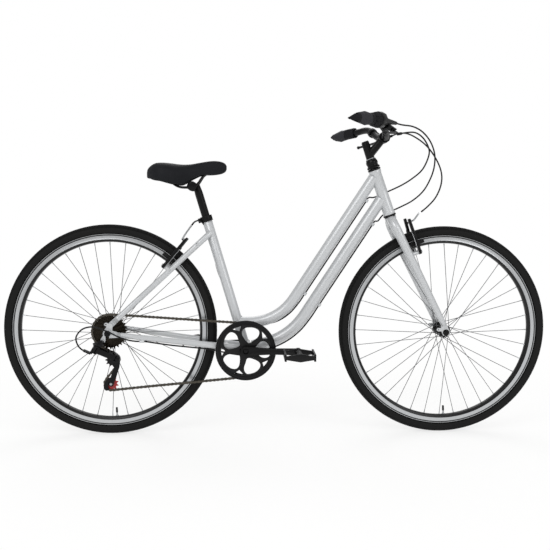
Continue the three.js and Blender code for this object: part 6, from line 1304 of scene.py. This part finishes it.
class BIKE_OT_drivetrain(bpy.types.Operator):
    """Chain, sprockets, chainring with its guard, cranks and pedals"""

    bl_idname = "bike.drivetrain"
    bl_label = "Drivetrain"

    def execute(self, context):
        self.chain()
        self.freewheel()
        self.chainring()
        self.guard()
        for side in ("right", "left"):
            softened(side + "_crank_arm", "anodised", 40, 1.2)
            softened(side + "_pedal", "plastic", 35, 0.7)
        softened("bottom_bracket_cartridge", "enamel", 50, 0.4)
        softened("bottom_bracket_spindle", "enamel", 50, 0.3)
        return {"FINISHED"}

    def chain(self):
        """Inner and outer links by turns, on their rollers and pins."""
        verts, faces = [], []
        angles = [FULL_TURN * k / 10 for k in range(10)]
        for i, here in enumerate(CHAIN_PINS):
            after = CHAIN_PINS[(i + 1) % len(CHAIN_PINS)]
            y = INNER_PLATE_Y if i % 2 else OUTER_PLATE_Y
            for sign in (-1, 1):
                add_loft(verts, faces, link_plate(here, after, y, sign))
            for radius, half in (ROLLER, PIN):
                add_loft(verts, faces, [
                    [here + Vector((radius * math.cos(a), depth, radius * math.sin(a))) for a in angles]
                    for depth in (-half, half)
                ])
        piece = mesh_object("chain", verts, faces)
        edited(piece, (bpy.ops.mesh.normals_make_consistent, {"inside": False}))
        complete("chain", [piece], "chain", 35)

    def freewheel(self):
        """Seven toothed cogs, small to large inwards, on their body."""
        parts = [turned(FREEWHEEL_PROFILE, REAR_AXLE, LEFT, 48)]
        for i, teeth in enumerate(COG_TEETH):
            middle = SPROCKET_LINE - i * COG_STEP
            outline = toothed(REAR_AXLE, teeth, CHAIN_PINS[COG_PIN])
            parts.append(flat_plate(outline, [ring_of(REAR_AXLE, 20)], middle - 1, middle + 1, 0.3))
        complete("freewheel", parts, "sprocket", 35)

    def chainring(self):
        """A toothed ring on ten studs behind the guard."""
        near, far = CHAINRING_LINE - RING_HALF, CHAINRING_LINE + RING_HALF
        outline = toothed(BRACKET, RING_TEETH, CHAIN_PINS[RING_PIN])
        parts = [flat_plate(outline, [ring_of(BRACKET, RING_BORE, 90)], near, far, 0.3)]
        for k in range(ARMS):
            for turn in (-STUD_TURN, STUD_TURN):
                x, z = round_about(BRACKET, STUD_RADIUS, ARM_ANGLE + 360 * k / ARMS + turn)
                parts.append(rod(Vector((x, far, z)), Vector((x, -51, z)), 2.6, steps=16))
        complete("chainring", parts, "enamel", 35)

    def guard(self):
        """A moulded guard: raised rings on five broad arms, a window between each two and a notch in each."""
        holes = [ring_of(BRACKET, GUARD_BORE, 24)]
        for k in range(ARMS):
            arm = ARM_ANGLE + 360 * k / ARMS
            between = arm + 180 / ARMS
            window = [round_about(BRACKET, radius, between + turn) for radius, turn in WINDOW_OUTLINE]
            notch = [round_about(BRACKET, radius, arm + turn) for radius, turn in NOTCH_OUTLINE]
            holes += [smooth_loop(window), notch]
        disc = flat_plate(ring_of(BRACKET, GUARD_RADIUS, 120), holes, *GUARD_DEPTHS, 0.7)
        rings = [
            turned(profile, BRACKET, LEFT, steps) for profile, steps in zip(GUARD_PROFILES, GUARD_STEPS)
        ]
        complete("chain_guard", [disc, *rings], "plastic", 35)


PULLEY_PROFILE = ((3.4, 4.4), (6, 4.4), (6.4, 4), (7, 2.4), (14.4, 2.2), (15, 1.6))
BOLT_FACE_Y = -39.3
BOLT_REACH = 4.6
CAGE_END = (
    (-547, 200), (-556, 186), (-558, 170), (-556, 158), (-564, 154), (-572, 161), (-571, 176), (-562, 192),
)


class BIKE_OT_derailleur(bpy.types.Operator):
    """The rear derailleur, its cage and its pulleys"""

    bl_idname = "bike.derailleur"
    bl_label = "Derailleur"

    def execute(self, context):
        softened("derailleur_knuckle", "enamel", 38, 0.8)
        softened("derailleur_outer_link", "anodised", 38, 0.8)
        softened("derailleur_inner_link", "anodised", 38, 0.8)
        softened("derailleur_lower_knuckle", "plastic", 38, 0.8)
        end = flat_plate(smooth_loop(CAGE_END), [], -39.2, -37.4)
        cage = softened("derailleur_cage", "enamel", 38, 0.4, extra=(end,))

        def on_bolt(place):
            return place.y < BOLT_FACE_Y and (place - TENSION).xz.length < BOLT_REACH

        painted(cage, "steel", on_bolt)
        self.pulley("tension_pulley", TENSION, "acetal")
        self.pulley("guide_pulley", GUIDE, "plastic")
        return {"FINISHED"}

    def pulley(self, node, centre, look):
        """A solid toothed wheel with a thicker middle, on its bush."""
        pin = min(CHAIN_PINS, key=lambda p: abs((p - centre).xz.length - pitch_radius(PULLEY_TEETH)))
        outline = toothed(centre, PULLEY_TEETH, pin, 1.4)
        rim = flat_plate(outline, [ring_of(centre, 3.4, 24)], -31.2, -28.8, 0.3)
        complete(node, [rim, turned(both_ways(PULLEY_PROFILE), centre, LEFT, 48)], look, 35)


# Brakes

BOSS_RADIUS = 281
WIRE_GUIDE_REACH = 3.2
FRONT_GUIDE = ((18, 103, 9), (30, 103, 9), (38, 105, 13), (40, 112, 22), (38, 121, 36))
REAR_GUIDE = ((18, 103, 9), (30, 104, 9), (38, 112, 10), (38, 130, 12), (34, 158, 14))
BRAKES = (("front", FRONT_AXLE, -1, 18.8, FRONT_GUIDE), ("rear", REAR_AXLE, 1, 39.5, REAR_GUIDE))
SPRING_ROUTE = (
    (46, -4, -6.4), (49.5, 8, -6.6), (49.5, 24, -6.4), (46, 44, -6), (40, 66, -5.6), (36.5, 74, -5.4),
)


class BIKE_OT_brakes(bpy.types.Operator):
    """The four brake arms with their pads and springs"""

    bl_idname = "bike.brakes"
    bl_label = "Brakes"

    def execute(self, context):
        for wheel, axle, sign_x, degrees, guide in BRAKES:
            angle = math.radians(degrees)
            outward = Vector((sign_x * math.sin(angle), 0, math.cos(angle)))
            away = Vector((-sign_x * math.cos(angle), 0, math.sin(angle)))
            pivot = axle + outward * BOSS_RADIUS
            for side, out, course in (("right", -LEFT, guide), ("left", LEFT, None)):
                turn = Matrix((out, outward, away)).transposed()
                self.arm(f"{wheel}_{side}_brake_arm", pivot, turn, course)
        return {"FINISHED"}

    def arm(self, node, pivot, turn, guide):
        """An arm with its return spring, its pivot bolt and on one side the guide of the wire."""
        def spot(place):
            return pivot + turn @ Vector(place)

        wire = pipe(smooth_course([spot(p) for p in SPRING_ROUTE], 4), 0.9, 2)
        bolt = rod(spot((40, 0, 4.6)), spot((40, 0, 7.4)), 5.2, steps=20)
        piece = node_copy(node)
        bevelled(piece, 1.4 * bpy.context.scene.bike_sizes.edge / MM, 38)
        dress(piece, "anodised")
        if guide:
            course = [spot(p) for p in guide]
            start = course[0] + (course[0] - course[1]) * 4
            painted(piece, "steel", near_course([start, *course], WIRE_GUIDE_REACH))
        complete(node, [piece, wire, bolt], "steel", 38)


# Cockpit

CLAMP = steering(243.8, 62.6)
BAR_ROUTE = ((342, 38, 986), (334, 70, 995), (322, 108, 1015), (311, 135, 1024.9), (285, 170, 1022))
BAR_TIP = Vector((196, 290, 1012))
BAR_RADIUS = 11.1
BAR_HIDDEN = (12, 29)
SLEEVE_PROFILE = ((11, 40), (11.3, 40), (12.7, 34))
RING_PROFILE = ((13, 1.1), (14.9, 1.1), (15.2, 0.7))
GRIP_WING = 33
GRIP_ROUND = 12
GRIP_PALE = (24, 92)
GRIP_TIP = 60
GRIP_FADE = 95
GRIP_CROWN = 0.25
GRIP_THIN = 0.8


class BIKE_OT_cockpit(bpy.types.Operator):
    """Stem, handlebar, grips, shifter and brake levers"""

    bl_idname = "bike.cockpit"
    bl_label = "Cockpit"

    def execute(self, context):
        ring = dress(turned(both_ways(RING_PROFILE), steering(193.7), STEER_UP, 40), "steel")
        softened("stem", "anodised", 40, 0.8, extra=(ring,))
        middle = [beside(CLAMP, y) for y in (0, 14, 27)]
        course = smooth_course([*middle, *smooth_course(BAR_ROUTE, 3)[::2], BAR_TIP], 5)
        whole = shortened([mirror_y(p, -1) for p in reversed(course)] + course[1:], *BAR_HIDDEN)
        sleeve = turned(both_ways(SLEEVE_PROFILE), CLAMP, LEFT, 48)
        complete("handlebar", [pipe(whole, BAR_RADIUS, 9), sleeve], "anodised", 40)
        self.grip("right", -1, 9, 6)
        self.grip("left", 1, 16, 28)
        softened("shifter_twist_grip", "grip", 30, 0.5)
        softened("shifter_housing", "plastic", 40, 1.0)
        for side in ("right", "left"):
            softened(side + "_brake_lever_bracket", "plastic", 38, 0.8)
            softened(side + "_brake_lever", "plastic", 45, 1.0)
        return {"FINISHED"}

    def grip(self, side, sign, shorter, trim):
        """A winged rubber grip, its wing drawn in to a corner and its inner end paler."""
        tip = mirror_y(BAR_TIP, sign)
        inwards = (mirror_y(BAR_ROUTE[-1], sign) - tip).normalized()
        rear = -(FORWARD - inwards * FORWARD.dot(inwards)).normalized()
        piece = node_copy(side + "_grip")
        pick(piece)
        piece.data.remesh_voxel_size = 1.5 * MM
        bpy.ops.object.voxel_remesh()
        full = GRIP_WING - GRIP_ROUND
        for vertex in piece.data.vertices:
            reach = (vertex.co / MM - tip).dot(rear)
            along = (vertex.co / MM - tip).dot(inwards)
            if reach > GRIP_ROUND:
                vertex.co -= rear * (reach - GRIP_ROUND) / full * shorter * MM
            if along < GRIP_TIP:
                vertex.co += inwards * (GRIP_TIP - along) / GRIP_TIP * trim * MM
            near_tip = max(0.0, min(1.0, (GRIP_FADE - along) / (GRIP_FADE - GRIP_TIP)))
            out = max(0.0, min(1.0, (reach + GRIP_ROUND / 2) / full))
            height = (vertex.co / MM - tip - inwards * along).dot(UP)
            vertex.co += UP * height * near_tip * (GRIP_CROWN - GRIP_THIN * out) * MM
        smoothed(piece, 3, 0.6)
        dress(piece, "grip")
        painted(piece, "grip_pale", lambda place: GRIP_PALE[0] < (place - tip).dot(inwards) < GRIP_PALE[1])
        complete(side + "_grip", [piece], "grip", 60)


# Saddle

# Each station's place along the bicycle, half its width, and the heights of its top and its lower edge
SADDLE_STATIONS = (
    (-425.9, 30, 872, 851), (-423, 45, 877, 848), (-415.8, 58, 885, 845), (-397.8, 76.5, 895, 842.5),
    (-374.8, 86.6, 897, 836.5), (-346.6, 83.5, 895, 830), (-318.5, 65, 892, 828), (-287.8, 43, 893.2, 843),
    (-251.9, 28.5, 900, 858.5), (-216.1, 24, 905, 860.5), (-189.9, 20.5, 903, 864.5), (-176.5, 15, 897, 871),
    (-171.5, 9, 890, 878.5),
)
SADDLE_SECTION_SHARES = (
    (0, 1), (0.16, 1.003), (0.34, 1.0), (0.52, 0.982), (0.68, 0.94), (0.82, 0.86), (0.92, 0.74), (0.98, 0.56),
    (1.0, 0.38), (0.995, 0.2), (0.985, 0.06),
)
SHELL_NOSE = -255
RAIL_RADIUS = 3.5
RAIL_HALF = (
    (-238, 12, 862), (-246, 16, 857), (-254, 20, 846), (-262, 22, 834), (-272, 22, 824.5), (-286, 22, 820.5),
    (-324, 22, 820.5), (-338, 24, 827), (-350, 29, 838), (-364, 36, 848), (-376, 38, 852),
)


class BIKE_OT_saddle(bpy.types.Operator):
    """The padded saddle on its rails, clamp and post"""

    bl_idname = "bike.saddle"
    bl_label = "Saddle"

    def execute(self, context):
        cushion = complete("saddle_cushion", [self.cushion()], "vinyl", 60)
        shell = node_copy("saddle_shell")
        for vertex in shell.data.vertices:
            past = max(0, vertex.co.x / MM - SHELL_NOSE)
            vertex.co += (UP * 0.3 - FORWARD * 0.2) * past * MM
        complete("saddle_shell", [shell], "plastic", 50)
        right, left = (smooth_course([mirror_y(p, sign) for p in RAIL_HALF], 5) for sign in (-1, 1))
        complete("saddle_rails", [pipe([*reversed(right), *left], RAIL_RADIUS, 5)], "enamel", 60)
        softened("saddle_clamp", "enamel", 38, 0.8)
        softened("seat_post", "anodised", 45, 0.6)
        softened("seat_collar", "anodised", 40, 0.7)
        return {"FINISHED"}

    def cushion(self):
        """A crowned foam pad lofted from its rear to its nose, with a rolled lower edge."""
        halves = smooth_course([(x, half, 0) for x, half, top, low in SADDLE_STATIONS], 5)
        tops = smooth_course([(x, 0, top) for x, half, top, low in SADDLE_STATIONS], 5)
        skirts = smooth_course([(x, 0, low) for x, half, top, low in SADDLE_STATIONS], 5)
        rings = []
        for side, crown, skirt in zip(halves, tops, skirts):
            half, top, low = side.y, crown.z, skirt.z
            inner = max(half - 6, half / 2)
            under = max(low + 1, top - 34)
            section = [(half * across, low + (top - low) * rise) for across, rise in SADDLE_SECTION_SHARES]
            section += [(half - 1.6, low - 0.6), (inner + 1.2, low - 0.4), (inner, low + 0.6)]
            section.append((inner * 0.94, under))
            outline = [*section, (0, under), *((-y, z) for y, z in reversed(section[1:]))]
            rings.append([Vector((crown.x, y, z)) for y, z in outline])
        piece = lofted(rings)
        smoothed(piece, 2, 0.4)
        return piece


# Cables, along given routes

CABLE_ROUTES = {
    "shift_cable": (
        (354, -112, 1020), (379, -100, 1016), (417, -85, 1013), (450, -68, 1001), (479, -50, 978),
        (498, -35, 951), (508, -22, 924), (510, -8, 890), (503, 5, 856), (483, 16, 815), (450, 25, 783),
        (404, 30, 758), (352, 29, 734), (332, 17, 714), (317.7, 0, 711.9), (305.7, 0, 693.5),
        (142.8, 0, 442.6), (130.8, 0, 424.1), (107.6, 0, 388.5), (77.7, 0, 350.7), (40.7, 0, 318.9),
        (-1.9, 0, 295.3), (-47.7, 0, 280.4), (-108, -10, 266.3), (-150, -22, 272), (-230.4, -36.5, 291.6),
        (-291.7, -43.2, 299.7), (-361.1, -50.7, 308.9), (-436.1, -59.7, 322.3),
    ),
    "rear_brake_cable": (
        (375, -95, 989), (404, -80, 995), (431, -66, 996), (458, -52, 983), (480, -38, 957),
        (488, -26, 938), (484, -14, 910), (471, 0, 881), (445, 14, 856), (412, 23, 834), (364, 27, 811),
        (318, 20, 792), (295.6, 0, 789.8), (283.6, 0, 771.3), (94.7, 0, 480.4), (82.7, 0, 461.9),
        (71.6, 0, 445), (39.7, 3, 406.3), (-1.1, 12, 377.3), (-49.1, 21, 365.2), (-99.5, 24, 371.6),
        (-128, 26, 395), (-150, 25, 430), (-175, 21, 480), (-202, 17, 546), (-214, 18, 600),
        (-224, 16, 640), (-234, 8, 672), (-245, -4, 698), (-259, -20, 712), (-274, -32, 708),
        (-283.5, -33.9, 697),
    ),
    "front_brake_cable": (
        (385, 90, 1001), (411, 78, 1010), (435, 62, 1007), (459, 48, 994), (492, 32, 966), (519, 18, 927),
        (535, 6, 888), (538, -4, 858), (531, -14, 826), (512, -24, 790), (484, -32, 761), (464, -36, 745),
    ),
    "shift_cable_end": (
        (-445.4, -59.7, 322.3), (-451, -59.7, 322.3), (-456, -60.6, 322.4), (-466, -66, 324),
        (-484, -75, 329), (-508, -82, 338), (-556, -86, 362), (-594, -86, 374), (-628, -85, 366),
        (-648, -84, 340), (-643, -84, 315), (-630.5, -84, 300.5), (-619.5, -84, 295.5),
    ),
}

# Where each cable that crosses the steering joint leaves the frame and reaches the bar
BENT_BY_STEERING = {
    "shift_cable": (Vector((325, 8, 718)), Vector((400, -60, 1005))),
    "rear_brake_cable": (Vector((310, 12, 791)), Vector((405, -60, 985))),
}
FERRULE_LENGTH = 9
FERRULE_WALL = 0.35


class BIKE_OT_cables(bpy.types.Operator):
    """The cable housings with a ferrule on each end"""

    bl_idname = "bike.cables"
    bl_label = "Cables"

    def execute(self, context):
        radius = context.scene.bike_sizes.housing / MM / 2
        for name, route in CABLE_ROUTES.items():
            course = smooth_course(route)
            parts = [pipe(course, radius, 4)]
            for tip, after in ((course[0], course[2]), (course[-1], course[-3])):
                way = (after - tip).normalized()
                parts.append(rod(tip, tip + way * FERRULE_LENGTH, radius + FERRULE_WALL, steps=16))
            complete(name, parts, "plastic", 45, BENT_BY_STEERING.get(name))
        return {"FINISHED"}


# Stage

CAMERA_PLACE = Vector((-108.757, -2255.08, 744.39))
CAMERA_YAW = 0.0431
CAMERA_PITCH = 0.0933
CAMERA_ROLL = 0.0063
FOCAL_PIXELS = 682.864
FRAME_PIXELS = 550
SENSOR_MM = 36
PAPER_GLOW = 0.7
PAPER_RADII = (0.8, 1.9)
WORLD_LIGHT = 0.78
WORLD_IN_GLOSS = 0.5
# Each lamp's place, what it points at, its diameter and its power
LAMPS = (
    ((-1.6, -2.8, 3.0), (0, 0, 0.5), 2.2, 42), ((2.2, -2.4, 2.2), (0, 0, 0.5), 1.8, 20),
    ((0.2, 2.6, 2.8), (0, 0, 0.6), 2.4, 26),
)


class BIKE_OT_stage(bpy.types.Operator):
    """Floor, light and the camera at the photograph's angle"""

    bl_idname = "bike.stage"
    bl_label = "Stage"

    def execute(self, context):
        scene = context.scene
        scene.view_settings.view_transform = "Standard"
        self.camera(scene)
        self.floor(scene)
        self.lights(scene)
        return {"FINISHED"}

    def camera(self, scene):
        """The camera, from the place and turn that match the photograph."""
        deselect()
        bpy.ops.object.camera_add(location=CAMERA_PLACE * MM)
        camera = bpy.context.active_object
        camera.data.sensor_width = SENSOR_MM
        camera.data.lens = SENSOR_MM * FOCAL_PIXELS / FRAME_PIXELS
        camera.data.clip_end = 50
        level = Vector((math.sin(CAMERA_YAW), math.cos(CAMERA_YAW), 0))
        forward = level * math.cos(CAMERA_PITCH) - UP * math.sin(CAMERA_PITCH)
        right = Vector((math.cos(CAMERA_YAW), -math.sin(CAMERA_YAW), 0))
        up = right.cross(forward)
        across = right * math.cos(CAMERA_ROLL) + up * math.sin(CAMERA_ROLL)
        above = up * math.cos(CAMERA_ROLL) - right * math.sin(CAMERA_ROLL)
        turn = Matrix((across, above, -forward)).transposed()
        camera.rotation_euler = turn.to_euler()
        scene.camera = camera

    def floor(self, scene):
        """A wide pale floor that takes a soft shadow."""
        deselect()
        bpy.ops.mesh.primitive_plane_add(size=40, location=(0, 0, 0))
        floor = bpy.context.active_object
        floor.name = "studio_floor"
        material, tree = new_material("studio_floor")
        grain = noise(tree, object_place(tree), 400, 2.0)
        pale = scene.bike_colours.floor
        tone = mixed(tree, grain, shade(pale, 0.995), shade(pale, 1))
        paper = put(tree, "ShaderNodeBsdfDiffuse", {"Color": tone})
        glow = put(tree, "ShaderNodeEmission", {"Strength": 1.0})
        path = put(tree, "ShaderNodeLightPath")
        away = put(tree, "ShaderNodeVectorMath", {0: object_place(tree)}, operation="LENGTH").outputs["Value"]
        faded = ranged(tree, away, PAPER_GLOW, 1.0, *PAPER_RADII)
        seen = math_node(tree, "MAXIMUM", path.outputs["Is Camera Ray"], path.outputs["Is Glossy Ray"])
        cover = put(tree, "ShaderNodeMixShader", {
            0: math_node(tree, "MULTIPLY", faded, seen), 1: paper.outputs["BSDF"],
            2: glow.outputs["Emission"],
        })
        put(tree, "ShaderNodeOutputMaterial", {"Surface": cover.outputs["Shader"]})
        floor.data.materials.append(material)

    def lights(self, scene):
        """A bright even studio: a white world and three large soft lamps."""
        world = bpy.data.worlds.new("studio")
        scene.world = world
        world.use_nodes = True
        tree = world.node_tree
        tree.nodes.clear()
        path = put(tree, "ShaderNodeLightPath")
        seen = math_node(tree, "MULTIPLY", path.outputs["Is Camera Ray"], 1.0 - WORLD_LIGHT)
        mirrored = math_node(tree, "MULTIPLY", path.outputs["Is Glossy Ray"], WORLD_LIGHT - WORLD_IN_GLOSS)
        strength = math_node(tree, "SUBTRACT", math_node(tree, "ADD", WORLD_LIGHT, seen), mirrored)
        back = put(tree, "ShaderNodeBackground", {"Color": (1, 1, 1, 1), "Strength": strength})
        put(tree, "ShaderNodeOutputWorld", {"Surface": back.outputs["Background"]})
        for place, target, size, power in LAMPS:
            deselect()
            bpy.ops.object.light_add(type="AREA", location=place)
            lamp = bpy.context.active_object
            lamp.data.shape = "DISK"
            lamp.data.size = size
            lamp.data.energy = power
            lamp.rotation_euler = (Vector(target) - Vector(place)).to_track_quat("-Z", "Y").to_euler()


class BIKE_PT_panel(bpy.types.Panel):
    """Lists the steps that build the bicycle"""

    bl_idname = "BIKE_PT_panel"
    bl_label = "Bicycle"
    bl_space_type = "VIEW_3D"
    bl_region_type = "UI"
    bl_category = "Bicycle"

    def draw(self, context):
        layout = self.layout
        for group in (context.scene.bike_sizes, context.scene.bike_colours):
            for key in group.__annotations__:
                layout.prop(group, key)
        for operator in OPERATORS:
            layout.operator(operator.bl_idname)


OPERATORS = (
    BIKE_OT_stage, BIKE_OT_frame, BIKE_OT_fork, BIKE_OT_wheels, BIKE_OT_drivetrain, BIKE_OT_derailleur,
    BIKE_OT_brakes, BIKE_OT_cockpit, BIKE_OT_saddle, BIKE_OT_cables,
)
CLASSES = (BikeColours, BikeSizes, *OPERATORS, BIKE_PT_panel)


def register():
    """Adds the classes and the scene's settings."""
    for item in CLASSES:
        bpy.utils.register_class(item)
    bpy.types.Scene.bike_colours = bpy.props.PointerProperty(type=BikeColours)
    bpy.types.Scene.bike_sizes = bpy.props.PointerProperty(type=BikeSizes)


def unregister():
    """Takes the settings and the classes away."""
    del bpy.types.Scene.bike_sizes
    del bpy.types.Scene.bike_colours
    for item in reversed(CLASSES):
        bpy.utils.unregister_class(item)


def main():
    """Builds the whole bicycle."""
    register()
    bpy.ops.bike.stage()
    bpy.ops.bike.frame()
    bpy.ops.bike.fork()
    bpy.ops.bike.wheels()
    bpy.ops.bike.drivetrain()
    bpy.ops.bike.derailleur()
    bpy.ops.bike.brakes()
    bpy.ops.bike.cockpit()
    bpy.ops.bike.saddle()
    bpy.ops.bike.cables()
    deselect()


if __name__ == "__main__":
    main()
